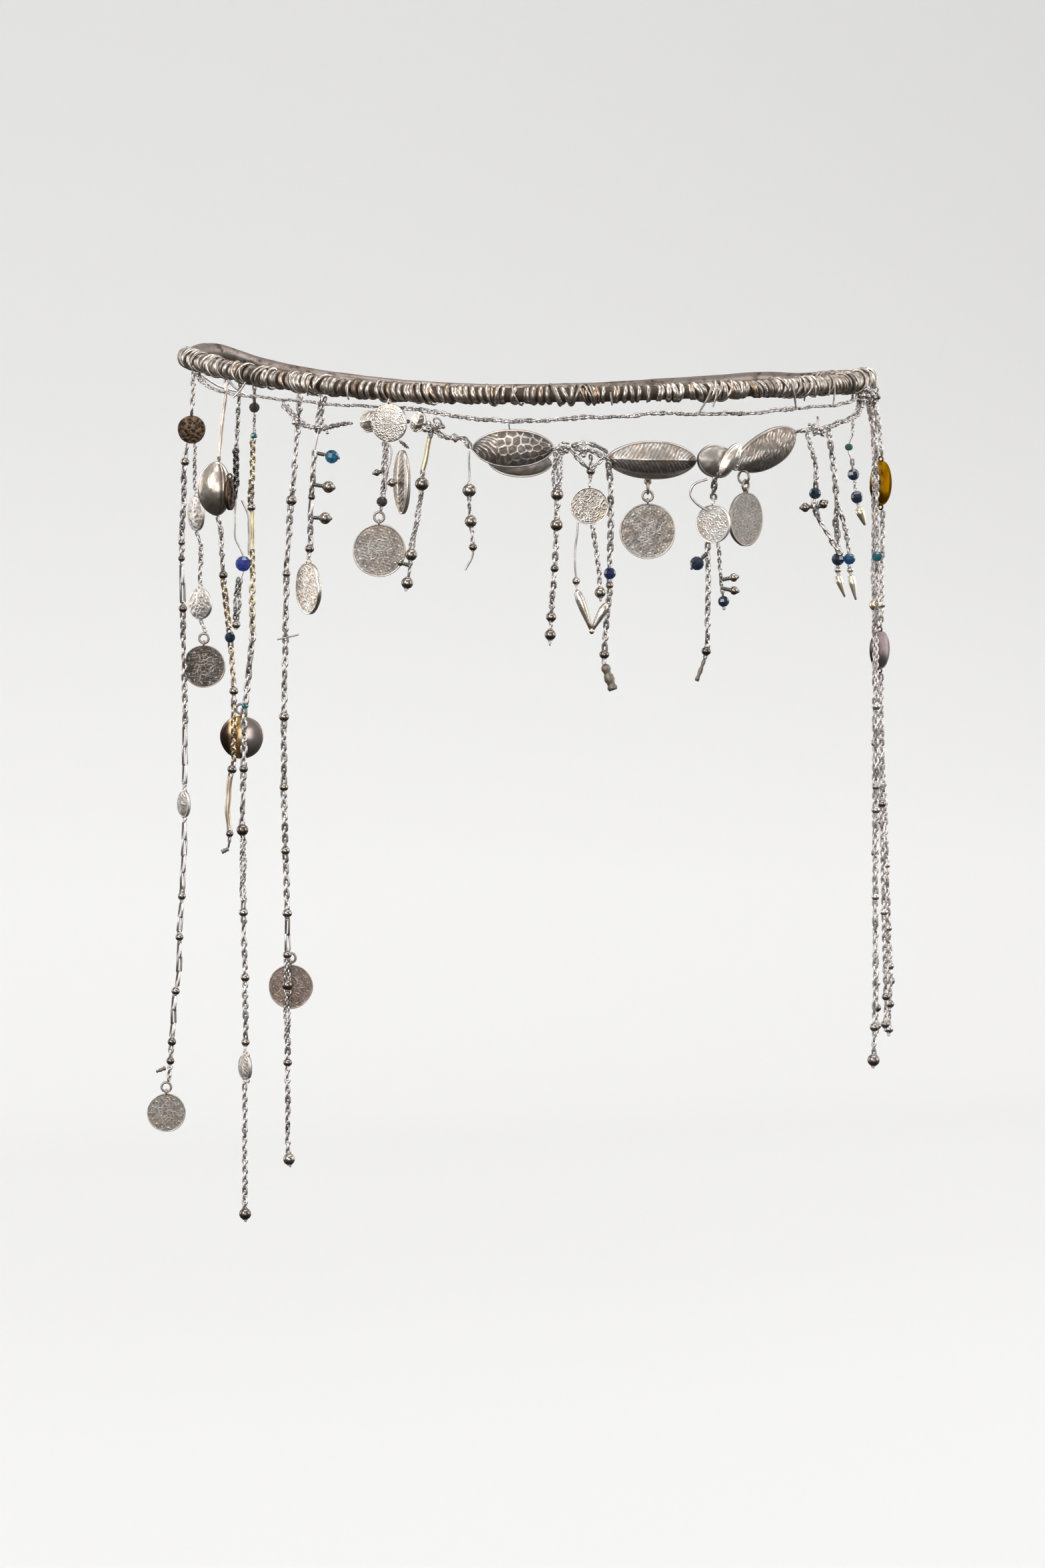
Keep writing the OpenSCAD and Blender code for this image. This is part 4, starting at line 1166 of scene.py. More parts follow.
# what a bead is made of, where it isn't glass
METAL = ""
GILT = "gilt"
FAR_LEFT = HangingChain("chain_far_left", -96.4, 0, (
    Run(((0, 2.1, 0.6), (-0.6, -7.6, 0.5))),
    Run((
        (-1.8, -15.9, 0.5), (-2.6, -22.4, 0.6), (-2.7, -30, 0.65), (-3.2, -38, 0.65), (-3.3, -44.8, 0.6),
        (-3.2, -46, 0.35), (-3, -54, 0.35), (-3, -58, 0.65), (-2.9, -65, 0.65), (-2.6, -78, 0.65),
        (-2.6, -85, 0.45), (-2.7, -92, 0.45), (-2.8, -99.2, 0.5),
    ), ((-20.3, 1.05, METAL), (-39.9, 0.85, METAL), (-43.8, 0.85, METAL), (-56, 1.05, METAL))),
    Run((
        (-2.9, -108.4, 0.45), (-2.9, -111.6, 0.35), (-3.1, -117, 0.35), (-3.5, -125, 0.6), (-3.7, -128, 0.35),
        (-4.2, -135, 0.45), (-4.4, -146, 0.35), (-5.7, -152, 0.35), (-5.8, -157, 0.45), (-6.4, -165, 0.6),
        (-7, -171.8, 0.5),
    ), ((-126.4, 1, METAL), (-136.5, 1, METAL), (-149.8, 1.05, METAL), (-162.3, 1.05, METAL), (-167, 1, METAL))),
), Link.CABLE, 0.46, (
    Zone(-45.4, -54.4, Link.LONG, 0.45), Zone(-85, -98.6, Link.LONG, 0.42),
    Zone(-108.4, -124.4, Link.LONG, 0.45), Zone(-128, -135, Link.LONG, 0.45),
    Zone(-138, -148.4, Link.LONG, 0.42), Zone(-151, -161, Link.LONG, 0.45),
))
LEFT_DISCS = HangingChain("chain_left_discs", -96.4, -1.6, (
    Run(((0.1, -15.9, 0.4, 1), (-0.1, -27, 0.4))),
    Run(((0.4, -37.45, 0.5), (1.4, -40, 0.55), (1.1, -49.6, 0.5))), Run(((1.3, -58.9, 0.4), (2.4, -61.6, 0.4))),
), Link.FINE, 0.55)
ROSE = HangingChain("chain_rose", -80.3, 0, (
    Run(((0, 0, 0.6), (-2.1, -19.1, 0.5))),
    Run((
        (-2.3, -32.9, 0.5), (-1.7, -35, 0.6), (-1.1, -45, 0.6), (-1, -48.6, 0.7), (0.3, -59, 0.7),
        (0.7, -64, 0.6), (1.4, -73, 0.6), (1.3, -76.4, 0.6), (1.2, -92, 0.6), (0.4, -95, 0.7),
        (-0.4, -104, 0.7), (0.3, -107.5, 0.65), (0.1, -111.8, 0.4),
    ), (
        (-46.7, 1.05, METAL), (-61.6, 1.3, "ink"), (-74.5, 1.1, METAL), (-93.3, 1.15, METAL),
        (-108.8, 0.9, METAL),
    )),
), Link.CABLE, 0.5, (
    Zone(-1, -18.4, Link.TUBE, 0.72), Zone(-18.4, -19.2, Link.CABLE, 0.78), Zone(-48, -59.5, Link.FLAT, 0.96),
    Zone(-64, -73, Link.FINE, 0.85), Zone(-77, -92, Link.FLAT, 0.86), Zone(-95, -107.5, Link.TUBE, 0.86),
), slot="rose_gold")
BLUE_BEAD = HangingChain("chain_blue_bead", -76, 0, (
    Run((
        (0, -0.6, 0.5), (-1, -16.5, 0.5), (-1, -18, 0.8), (-1, -25, 0.8), (-1.2, -28, 0.32), (-1.4, -38, 0.28),
        (0.6, -41.3, 0.28), (0.6, -46.2, 0.28), (-0.6, -48, 0.7), (-1.1, -56.5, 0.7), (-1.2, -59.5, 0.4),
    ), ((-43.7, 1.9, "cobalt"), (-58.2, 1.05, METAL))),
    Run(((0.3, -28.6, 0.28), (1.9, -31.7, 0.28), (1.9, -41.6, 0.28))),
), Link.WIRE, 0.4, (
    Zone(0, -16.5, Link.CABLE, 0.38), Zone(-16.5, -25.4, Link.TWIST, 0.16), Zone(-25.4, -28, Link.FINE, 0.2),
    Zone(-47.2, -57, Link.FINE, 0.5, 2),
), slot="dark_silver")
LONGEST = HangingChain("chain_longest", -71.9, 0, (
    Run((
        (0, -1.3, 0.5), (0, -8.3, 0.35), (0, -12, 0.35), (-0.4, -14.8, 0.65), (-0.6, -23, 0.65),
        (-0.8, -26, 0.85), (-1, -28.5, 0.8), (-0.6, -32, 0.6), (-0.6, -42.6, 0.6), (-0.7, -61.4, 0.7),
        (-1.7, -70.6, 0.7), (-2.7, -79, 0.7), (-2.8, -90, 0.66), (-3.3, -105, 0.66), (-3.1, -109, 0.6),
        (-3.1, -125, 0.6), (-2.7, -141, 0.64), (-2.6, -155, 0.6), (-2.7, -159.2, 0.28),
    ), (
        (-6.5, 1.3, "black"), (-13.2, 0.85, "teal"), (-30.1, 1.05, METAL), (-77.2, 0.85, "teal"),
        (-92.2, 1.05, METAL), (-106.8, 1.4, METAL), (-126.5, 1.1, METAL), (-142.1, 1.05, METAL),
        (-157.6, 1, METAL),
    )),
    Run(((-2.8, -167.8, 0.6), (-2.9, -181, 0.6), (-2.9, -195, 0.6), (-2.9, -200.6, 0.28)),
        ((-198.9, 1.45, METAL),)),
), Link.CABLE, 0.5, (
    Zone(-1, -5.5, Link.FINE, 0.25), Zone(-7, -12.6, Link.FINE, 0.4), Zone(-14, -23, Link.FLAT, 0.97),
    Zone(-23, -29.4, Link.TWIST, 0.8), Zone(-30.6, -40, Link.TUBE, 0.9), Zone(-40, -46, Link.FLAT, 0.95),
    Zone(-46, -60, Link.CABLE, 0.8), Zone(-109, -124, Link.FINE, 0.5, 2),
))
LONG_LEFT = HangingChain("chain_long_left", -60.8, 0, (
    Run((
        (0, -2.9, 0.65), (-1.6, -22, 0.65), (-2.5, -31, 0.65), (-3.4, -43.8, 0.65), (-3.7, -60, 0.65),
        (-4.1, -78, 0.65), (-4.2, -95, 0.65), (-3.9, -110, 0.65), (-3.5, -124, 0.65), (-3.5, -127.2, 0.35),
        (-3.5, -133, 0.35), (-3.5, -137, 0.7), (-3.5, -155, 0.6), (-3.5, -181, 0.6), (-3.1, -185.2, 0.28),
    ), (
        (-28, 1.3, METAL), (-45.2, 0.95, METAL), (-78.8, 1.2, METAL), (-95.4, 1.05, METAL),
        (-110.4, 1.05, METAL), (-125.2, 1.15, METAL), (-135, 1.05, METAL), (-142.2, 1.3, METAL),
        (-160.6, 1.05, METAL), (-183.6, 1.4, METAL),
    )),
), Link.CABLE, 0.47, (Zone(-126.4, -134, Link.LONG, 0.45), Zone(-136, -155, Link.FINE, 0.5, 2)))
SIDE_PINS = HangingChain("chain_side_pins", -56.1, 0, (
    Run((
        (0, -3.7, 0.8), (-2, -16.6, 0.75), (-2.6, -24, 0.6), (-3, -31.6, 0.6), (-3.1, -37, 0.6),
        (-3.4, -40.9, 0.5),
    ), ((-27, 0.85, METAL), (-39.1, 1.1, METAL))),
), Link.FINE, 0.5,
    (Zone(-3, -12, Link.FINE, 0.46, 2), Zone(-12, -16.4, Link.WIRE, 0.4), Zone(-25, -31.4, Link.LONG, 0.46)))
BIG_COIN_CHAIN = HangingChain("chain_big_coin", -43.8, 2, (
    Run(((-0.9, -14.1, 0.6, 0.7), (-1, -22, 0.6), (-1.5, -26, 0.5), (-2, -29.6, 0.4)),
        ((-27.7, 1.3, "black"),)),
    Run(((2.6, -13.7, 0.4, 1.8), (4.2, -15.3, 0.4, -1))),
), Link.FINE, 0.5, (Zone(-14, -26, Link.FINE, 0.5, 2),))
GOLD_TUBE = HangingChain("chain_gold_tube", -36.6, 0.8, (
    Run((
        (-0.2, -11.7, 0.5), (-0.6, -13, 0.55), (-1.2, -16.2, 0.62), (-2.1, -20.2, 0.62), (-2.2, -20.8, 0.5),
        (-2.5, -26, 0.5), (-4.6, -37.5, 0.5), (-5.3, -43.8, 0.5), (-6.1, -48, 0.28),
    ), ((-23.5, 1.6, METAL), (-39.8, 1.4, METAL), (-46.3, 1.4, METAL))),
), Link.FINE, 0.5, (
    Zone(-11, -13, Link.FINE, 0.4, 2), Zone(-13, -20.4, Link.TUBE, 0.97), Zone(-24, -38.6, Link.FINE, 0.52, 2),
))
LEAF_1_CHAIN = HangingChain("chain_leaf_1", -29.9, 0.8, (
    Run((
        (-1, -15.9, 0.35), (-1, -22, 0.35), (-0.9, -29, 0.45), (-0.3, -35.6, 0.6), (0, -39.6, 0.3),
        (-0.6, -41, 0.35), (-1.9, -43.2, 0.35),
    ), ((-24.9, 1.6, METAL), (-32, 1.4, METAL), (-37.9, 0.95, METAL))),
), Link.FINE, 0.48, (Zone(-15, -23.4, Link.WIRE, 0.35), Zone(-38.6, -44, Link.WIRE, 0.3)))
TRIPLE = HangingChain("chain_triple", -16.5, 0.8, (
    Run((
        (-0.1, -16.2, 0.55), (-0.2, -23, 0.66), (-0.3, -29, 0.6), (-0.5, -38, 0.6), (-1.2, -48, 0.6),
        (-1.7, -55, 0.5), (-1.9, -60.2, 0.3),
    ), (
        (-25.7, 1.45, METAL), (-32.7, 1.45, METAL), (-42.7, 0.95, METAL), (-53.8, 1.2, METAL),
        (-57.9, 1.3, METAL),
    )),
), Link.CABLE, 0.5, (Zone(-16, -24.4, Link.FINE, 0.5, 3), Zone(-26.5, -31.4, Link.CABLE, 0.4)))
ARROW = HangingChain("chain_arrow", -11.5, 0.8, (
    Run(((0.3, -16.8, 0.45), (0.2, -22.6, 0.35)), ((-20.4, 1, METAL),)),
    Run(((-2.6, -32.2, 0.28), (-3.4, -38.8, 0.28), (-3, -47.2, 0.28)), ((-45.6, 0.9, METAL),), bare=True),
    Run(((0.6, -32.6, 0.5), (2.3, -44, 0.5), (2.5, -50, 0.28)), ((-48.2, 1.3, METAL),)),
), Link.FINE, 0.52)
BLUE_DROP = HangingChain("chain_blue_drop", -8.7, 0.8, (
    Run((
        (0.2, -18.4, 0.6), (0.8, -23, 0.6, -1), (0.9, -28.5, 0.65, -1.2), (0.7, -41, 0.65, -2),
        (0.6, -48.4, 0.6, -2.4), (-0.5, -60.6, 0.6, -2.8), (-0.6, -64.6, 0.4, -2.8),
    ), ((-43.9, 1.45, "navy"), (-46.6, 0.9, METAL), (-62.6, 1.15, METAL))),
), Link.CABLE, 0.5)
BAR_END = HangingChain("chain_bar_end", 9.6, 1.4, (
    Run(((0.6, -20.6, 0.7, 2.6), (0.1, -23.5, 0.8, 2.0), (0.1, -26.9, 0.6))),
    Run(((-1.2, -37.3, 0.4, -0.7), (-1.1, -45.3, 0.65), (-1.2, -60, 0.65), (-1.7, -63.6, 0.4)),
        ((-62.1, 1.1, METAL),)),
    Run(((1.3, -37.3, 0.4, 0.8), (1.6, -43.4, 0.45), (2.7, -52.4, 0.28)), ((-50.6, 1.35, "ink"),)),
), Link.CABLE, 0.55)
LEAF_3_CHAIN = HangingChain("chain_leaf_3", 30.5, 1, (
    Run((
        (0, -12.4, 0.5), (2.2, -19.1, 0.6), (2.2, -24, 0.6), (1.8, -28.6, 0.5), (2.3, -31.2, 0.7),
        (5.6, -36.8, 0.7), (8.0, -40.4, 0.6),
    ), ((-26.3, 1.45, "ink"),)),
), Link.CABLE, 0.56)
SPIKES = HangingChain("chain_spikes", 37.3, 0.8, (
    Run((
        (0, -11.9, 0.6), (1.4, -21.9, 0.62), (2.1, -29.1, 0.66), (1.6, -33, 0.7), (2.2, -36, 0.7),
        (2.3, -39.4, 0.55), (2.3, -45.6, 0.28),
    ), ((-42.1, 1.55, "ink"), (-44.6, 0.8, METAL))),
    Run(((2.4, -29.6, 0.5), (3.9, -34.0, 0.6), (4.8, -39.4, 0.55), (5.3, -45.6, 0.28)),
        ((-42, 1.45, "deep"), (-44.6, 0.8, METAL))),
), Link.CABLE, 0.54)
CONE_CHAIN = HangingChain("chain_cone", 47.6, 0.8, (
    Run((
        (0, -9.9, 0.4), (0, -13, 0.3), (-0.9, -14.6, 0.3), (-0.9, -17.4, 0.3), (-0.2, -19, 0.45),
        (-0.1, -20.6, 0.45), (1.4, -30.2, 0.28),
    ), ((-16, 1, "green"), (-22.5, 1.45, "ink"), (-27.9, 1.55, "ink"))),
), Link.FINE, 0.5, (Zone(-13, -19, Link.WIRE, 0.45),))
RIGHT_1 = HangingChain("chain_right_1", 54, 1.2, (
    Run((
        (0.8, -3.2, 0.5), (3.4, -16, 0.5), (3.7, -36, 0.45), (3.7, -62, 0.42), (3.7, -90, 0.6),
        (3.7, -120, 0.6), (3.8, -145, 0.6), (3.5, -160, 0.55), (3.4, -165.8, 0.28),
    ), (
        (-42.4, 1.3, "teal"), (-78.4, 1.05, METAL), (-97.8, 0.9, METAL), (-103.4, 1.05, METAL),
        (-124.4, 0.95, METAL), (-156, 1.1, METAL), (-164, 1.5, METAL),
    )),
), Link.CABLE, 0.58)
RIGHT_2 = HangingChain("chain_right_2", 60, 0, (
    Run((
        (1.6, -3.2, 0.6), (2.0, -18, 0.6), (2.2, -50, 0.5), (2.2, -64, 0.5), (2.4, -100, 0.55),
        (2.6, -130, 0.6), (3, -148, 0.6), (3.2, -158.6, 0.28),
    ), (
        (-54.6, 1.4, GILT), (-88, 0.95, METAL), (-114.8, 0.95, METAL), (-146.5, 1, METAL), (-152.6, 1.1, METAL),
        (-157, 1.05, METAL),
    )),
), Link.CABLE, 0.56, (Zone(-3, -64, Link.FINE, 0.6, 2),))
RIGHT_3 = HangingChain("chain_right_3", 66, 0, (
    Run(((1, -2.8, 0.45), (2.8, -10, 0.5), (3.4, -18.5, 0.45))),
    Run(((3.8, -32.4, 0.5), (3.6, -45, 0.6), (3.6, -60, 0.5)), ((-55, 0.95, METAL),)),
    Run(((3.6, -72.1, 0.5), (4, -105, 0.6), (4.6, -130, 0.6), (5.2, -150, 0.6), (5, -159.4, 0.28)), (
        (-103.6, 1.05, METAL), (-130.2, 1, METAL), (-151, 1.05, METAL), (-157.8, 1.1, METAL),
    )),
), Link.FINE, 0.58, (Zone(-72, -150, Link.CABLE, 0.55),))
RIGHT_4 = HangingChain("chain_right_4", 72, 0, (
    Run((
        (1.4, -2.7, 0.5), (2.2, -7, 0.5), (2.9, -20, 0.45), (3.1, -50, 0.4), (4.0, -80, 0.5), (5.4, -105, 0.6),
        (6.2, -130, 0.6), (7, -150, 0.6), (6.6, -161.8, 0.28),
    ), (
        (-119.6, 0.95, METAL), (-135.2, 0.95, METAL), (-144.6, 1.1, METAL), (-154, 1.1, METAL),
        (-160.2, 1.15, METAL),
    )),
), Link.CABLE, 0.56, (Zone(-7, -80, Link.FINE, 0.6),))
RIGHT_5 = HangingChain("chain_right_5", 80, 0, (
    Run((
        (1.7, -2.4, 0.5), (3.6, -7, 0.55), (5.0, -18, 0.55), (4.6, -50, 0.4), (5.8, -90, 0.45),
        (7.6, -120, 0.55), (9.4, -145, 0.5), (9.4, -151.6, 0.28),
    ), ((-66.4, 0.95, METAL), (-110, 0.95, METAL), (-149.8, 1.15, METAL))),
), Link.FINE, 0.58, (Zone(-50, -144, Link.CABLE, 0.54),))
LEFT_CHAINS = (FAR_LEFT, LEFT_DISCS, ROSE, BLUE_BEAD, LONGEST, LONG_LEFT, SIDE_PINS)
FRONT_CHAINS = (BIG_COIN_CHAIN, GOLD_TUBE, LEAF_1_CHAIN, TRIPLE, ARROW, BLUE_DROP, BAR_END)
RIGHT_CHAINS = (LEAF_3_CHAIN, SPIKES, CONE_CHAIN, RIGHT_1, RIGHT_2, RIGHT_3, RIGHT_4, RIGHT_5)


@dataclass(frozen=True)
class SidePin:
    """A pin that carries a bead beside a chain: places are [across, height]."""

    angle: float
    forward: float
    start: tuple[float, float]
    bead: tuple[float, float]
    radius: float
    glass: str = METAL

    @property
    def ends(self) -> tuple[np.ndarray, np.ndarray]:
        """The place on the chain and the bead's middle."""
        start, bead = (HOOP.place(self.angle, x, self.forward, z) for x, z in (self.start, self.bead))
        return start, bead


PINS = (
    SidePin(-56.1, 0, (-1.9, -16.7), (2, -17.6), 1.65, "sea"),
    SidePin(-56.1, 0, (-2.6, -24.1), (1.2, -24.7), 1.4), SidePin(-56.1, 0, (-3, -31.8), (0.4, -32), 1.4),
    SidePin(-43.8, 2.1, (-1, -20.6), (-2.9, -21), 0.8), SidePin(-43.8, 2.5, (-1.1, -23.6), (0.6, -23.3), 1),
    SidePin(-36.6, 0.8, (-4.9, -42.4), (-7.3, -41.6), 0.8),
    SidePin(9.6, 1.4, (-1.3, -39.4), (-3.7, -41.8), 1.7, "ink"), SidePin(9.6, 1.4, (2, -45.6), (4.8, -45.1), 1),
    SidePin(9.6, 1.4, (2.2, -47.6), (4.9, -48.1), 1), SidePin(30.5, 1, (2, -30), (3.9, -28.8), 1.1),
    SidePin(30.5, 1, (1.9, -29.4), (-0.3, -29.6), 1.1),
)


# ---------------------------------------------------------------- beads


@dataclass
class Beads:
    """The drilled beads of some chains and pins, set by the bead tree."""

    chains: tuple[HangingChain, ...]
    pins: tuple[SidePin, ...]
    glass: bool
    segments: int = 20
    rings: int = 12
    collar_r: float = 0.52
    seed: int = 5

    def wanted(self, kind: str) -> bool:
        """Whether a bead of that kind belongs to this piece."""
        return (kind in GLASS) == self.glass

    def places(self) -> list[tuple[np.ndarray, np.ndarray, float, str]]:
        """Middle, bore direction, radius and kind of each bead."""
        out = []
        for chain in self.chains:
            for run in chain.runs:
                for height, radius, kind in run.beads:
                    if self.wanted(kind):
                        top = chain.centre(run, height + radius)
                        foot = chain.centre(run, height - radius)
                        out.append(((top + foot) / 2, normalised(top - foot), radius, kind))
        for pin in self.pins:
            if self.wanted(pin.glass):
                start, bead = pin.ends
                out.append((bead, normalised(bead - start), pin.radius, pin.glass))
        return out

    def build(self, tree: NodeTree, rods: NodeTree, finish: bpy.types.Material) -> bpy.types.Mesh:
        """Builds the beads with a wire collar at each end of the bore.

        Args:
            tree: The bead tree.
            rods: The chain tree, which draws the collars.
            finish: Their material.

        Returns:
            The mesh.
        """
        rng = np.random.default_rng(self.seed)
        balls, collars = PathCloud(), PathCloud()
        for middle, bore, radius, kind in self.places():
            axes = turned_to(bore, HOOP_FORWARD)
            axes = np.stack([axes[:, 1], axes[:, 2], axes[:, 0]], axis=1)
            axes = axes @ np.array(Matrix.Rotation(rng.uniform(0, ANY_TURN), 3, "Z"))
            squash = rng.uniform(0.86, 0.97) if radius < 1.2 else rng.uniform(0.93, 1.0)
            glaze = GLASS.get(kind, (0.5, 0.5, 0.5))
            tint = 0.92 if kind == GILT else float(rng.uniform(0.16, 0.42))
            balls.add(middle, axes, (radius, radius, radius * squash), tint=tint, glaze=glaze)
            if not self.glass:
                for side in (-1, 1):
                    at = middle + bore * side * radius * squash * 0.93
                    size = min(self.collar_r, radius * 0.42)
                    collars.wire(circled(at, axes[:, 0], axes[:, 1], size, 9), 0.15, tint + 0.15, closed=True)
        values = {"Segments": self.segments, "Rings": self.rings, "Smooth": not self.glass, "Finish": finish}
        ball = tree.run("balls", balls.mesh(), values)
        if not collars.points:
            return ball
        rim = rods.run("collars", collars.mesh(), {"Rod Sides": 5, "Finish": finish})
        return joined([ball, rim])


# ---------------------------------------------------------------- hoop and winding


Span = tuple[float, float]


@dataclass
class WoundHoop:
    """The bare hoop and the silver wire wound round its front and sides.

    A curve such as pitches has a row of hoop angles and a row of values. A hook has its hoop angle, its
    places as [outward, height], and how far it drifts along the hoop. A span is the range of a random draw.
    """

    steps: int = 480
    sides: int = 18
    pitches: tuple[tuple[float, ...], tuple[float, ...]] = (
        (-112.5, -96, -80, -62, -46, -40, 8, 28, 44, 60, 99),
        (3.3, 3.1, 2.8, 2.3, 1.95, 1.75, 1.8, 1.8, 1.7, 2.1, 2.6),
    )
    pitch_share: Span = (0.66, 1.3)
    sparse: Span = (-36.0, 4.0)
    sparse_gap: Span = (0.4, 1.6)
    gap: Span = (0.2, 0.7)
    lean: Span = (-0.75, 0.85)
    lean_spread: float = 0.42
    mood: Span = (0.45, 1.15)
    doubled_share: float = 0.42
    doubled_from: float = 1.7
    doubled_heft: Span = (0.6, 0.76)
    mate_heft: Span = (0.5, 0.62)
    heft: Span = (0.8, 1.16)
    proud: Span = (0.0, 0.34)
    rosy: Span = (-52.0, -8.0)
    rosy_share: Span = (0.45, 0.16)
    rosy_tint: Span = (0.7, 0.95)
    rubbed: Span = (0.75, 1.0)
    dulled: Span = (0.3, 0.6)
    wire_r: float = 0.68
    sunk_r: float = 1.52
    turn_points: int = 18
    end_swell: float = 0.85
    swell_angle: float = 54.0
    swell_reach: float = 9.0
    # painted light: turns at the front of the hoop are made brighter than those at its sides
    lit: tuple[tuple[float, ...], tuple[float, ...]] = ((-100, -60, -40, 40, 60), (0.8, 0.86, 1.1, 1.1, 1.0))
    crossings: int = 56
    front_crossings: int = 8
    cross_steps: int = 20
    cross_reach: Span = (1.6, 4.6)
    cross_r: Span = (0.26, 0.42)
    cross_bow: Span = (-0.8, 0.8)
    crossed: tuple[float, ...] = (
        -27.0, -26.0, -13.5, -12.5, -11.5, 8.5, 9.5, 24.0, 27.0, 29.5, 32.0, 36.0, 44.0, 49.0, 53.0, 58.0,
    )
    hooks: tuple[tuple[float, tuple[tuple[float, float], ...], float], ...] = (
        (8.4, ((2.2, 0.9), (2.5, -1.2), (2.4, -2.6), (2.3, -4.0), (2.2, -5.4)), -3.6),
        (9.4, ((2.2, 1.0), (2.6, -1.0), (2.5, -2.4), (2.3, -3.7)), -1.2),
        (24.6, ((2.2, 1.0), (2.6, -1.4), (2.5, -3.0), (2.3, -5.2)), 1.6),
        (36.2, ((2.2, 1.0), (2.6, -1.4), (2.6, -3.2), (2.4, -5.0)), -0.9),
        (27.5, ((2.2, 1.0), (2.6, -1.0), (2.3, -2.4), (1.9, -3.2)), 0.8),
        (30.4, ((2.2, 0.6), (2.5, -1.4), (2.2, -2.6)), 0.3),
        (34.6, ((2.2, 0.9), (2.6, -1.1), (2.3, -2.4)), -0.3),
        (-8.4, ((2.2, 0.5), (2.5, -1.6), (2.3, -2.5)), 0.4),
        (-2.2, ((2.2, 0.9), (2.6, -1.2), (2.0, -2.1)), -0.5),
        (-34.5, ((2.3, 1.2), (2.7, -0.4), (2.2, -2.2)), 0.9),
        (-57.5, ((2.2, 0.9), (2.6, -1.2), (2.2, -2.6)), -0.5),
        (-50.2, ((2.2, 0.4), (2.5, -1.6), (2.3, -2.6)), 0.4),
    )
    seed: int = 11
    rng: np.random.Generator = field(init=False)
    angles: np.ndarray = field(init=False)
    run: np.ndarray = field(init=False)
    starts: list[float] = field(init=False)

    def __post_init__(self) -> None:
        """Measures the wound stretch and sets out where each turn starts."""
        self.rng = np.random.default_rng(self.seed)
        self.angles = np.linspace(HOOP.wrap_first, HOOP.wrap_last, 900)
        line = np.array([HOOP.point(a) for a in self.angles])
        self.run = np.r_[0.0, np.cumsum(np.linalg.norm(np.diff(line, axis=0), axis=1))]
        self.starts = self.set_out()

    def set_out(self) -> list[float]:
        """Distances along the hoop at which the turns start, in groups with bare places between.

        Returns:
            The distances in millimetres.
        """
        rng = self.rng
        starts, left = [0.0], 3
        while starts[-1] < float(self.run[-1]) - 3.0:
            angle = float(np.interp(starts[-1], self.run, self.angles))
            wide = float(np.interp(angle, *self.pitches)) * rng.uniform(*self.pitch_share)
            left -= 1
            if left <= 0:
                thin = self.sparse[0] < angle < self.sparse[1]
                wide += rng.uniform(*(self.sparse_gap if thin else self.gap))
                left = int(rng.integers(3, 6 if thin else 9))
            starts.append(starts[-1] + wide)
        return starts

    def gap_shade_at(self, angle: float) -> float:
        """Painted shade on the hoop at an angle: dark beside a turn of wire, where the turns shade it, and bare
        copper in a wide gap.
        """
        if not HOOP.wrap_first < angle < HOOP.wrap_last:
            return 0.0
        s = float(np.interp(angle, self.angles, self.run))
        later = int(np.clip(np.searchsorted(self.starts, s), 1, len(self.starts) - 1))
        wide = self.starts[later] - self.starts[later - 1]
        off = min(s - self.starts[later - 1], self.starts[later] - s)
        bare = min(1.0, max(0.0, (wide - 2.6) / 0.5)) * min(1.0, max(0.0, (off - 0.8) / 0.4))
        return 1.0 - 0.8 * bare

    def core(self) -> bpy.types.Mesh:
        """The closed hoop, thinner where the wire covers it, with painted shade stored beside the turns.

        Returns:
            The mesh.
        """
        waves = np.random.default_rng(self.seed).uniform(0, ANY_TURN, 6)
        points, gap_shade = [], []
        for i in range(self.steps):
            angle = -180 + 360 * i / self.steps
            covered = min(1.0, max(0.0, min(angle - HOOP.wrap_first, HOOP.wrap_last - angle) / 4))
            radius = HOOP.band_r + (HOOP.core_r - HOOP.band_r) * covered
            # painted shade: the hoop is darkened where turns of wire lie close
            gap_shade.extend([self.gap_shade_at(angle)] * self.sides)
            centre = HOOP.point(angle) + np.array([0.0, 0.0, HOOP.lift(angle)])
            out, top = HOOP.outward(angle), HOOP.top(angle)
            for j in range(self.sides):
                w = TAU * j / self.sides
                dent = 0.04 * math.sin(angle * 0.31 + 2 * w + waves[0]) + 0.03 * math.sin(angle * 0.73 + w + waves[1])
                points.append(centre + (radius + dent) * (math.cos(w) * out + math.sin(w) * top))
        faces = [(a, d, c, b) for a, b, c, d in looped_quads(self.steps, self.sides)]
        mesh = mesh_from("bare_hoop", np.array(points), faces)
        store(mesh, "gap_shade", np.array(gap_shade))
        return mesh

    def on_band(self, s: float, w: float, r: float) -> np.ndarray:
        """A place on the wound stretch.

        Args:
            s: Distance along it.
            w: Angle round the band: 0 behind, a quarter turn on top, half a turn in front.
            r: Distance from the centre line.

        Returns:
            The point.
        """
        angle = float(np.interp(min(max(s, 0.0), float(self.run[-1])), self.run, self.angles))
        return HOOP.point(angle) + r * (-math.cos(w) * HOOP.outward(angle) + math.sin(w) * HOOP.top(angle))

    def swell(self, angle: float) -> float:
        """How far the winding swells out near the right end at an angle."""
        return self.end_swell * math.exp(-(((angle - self.swell_angle) / self.swell_reach) ** 2))

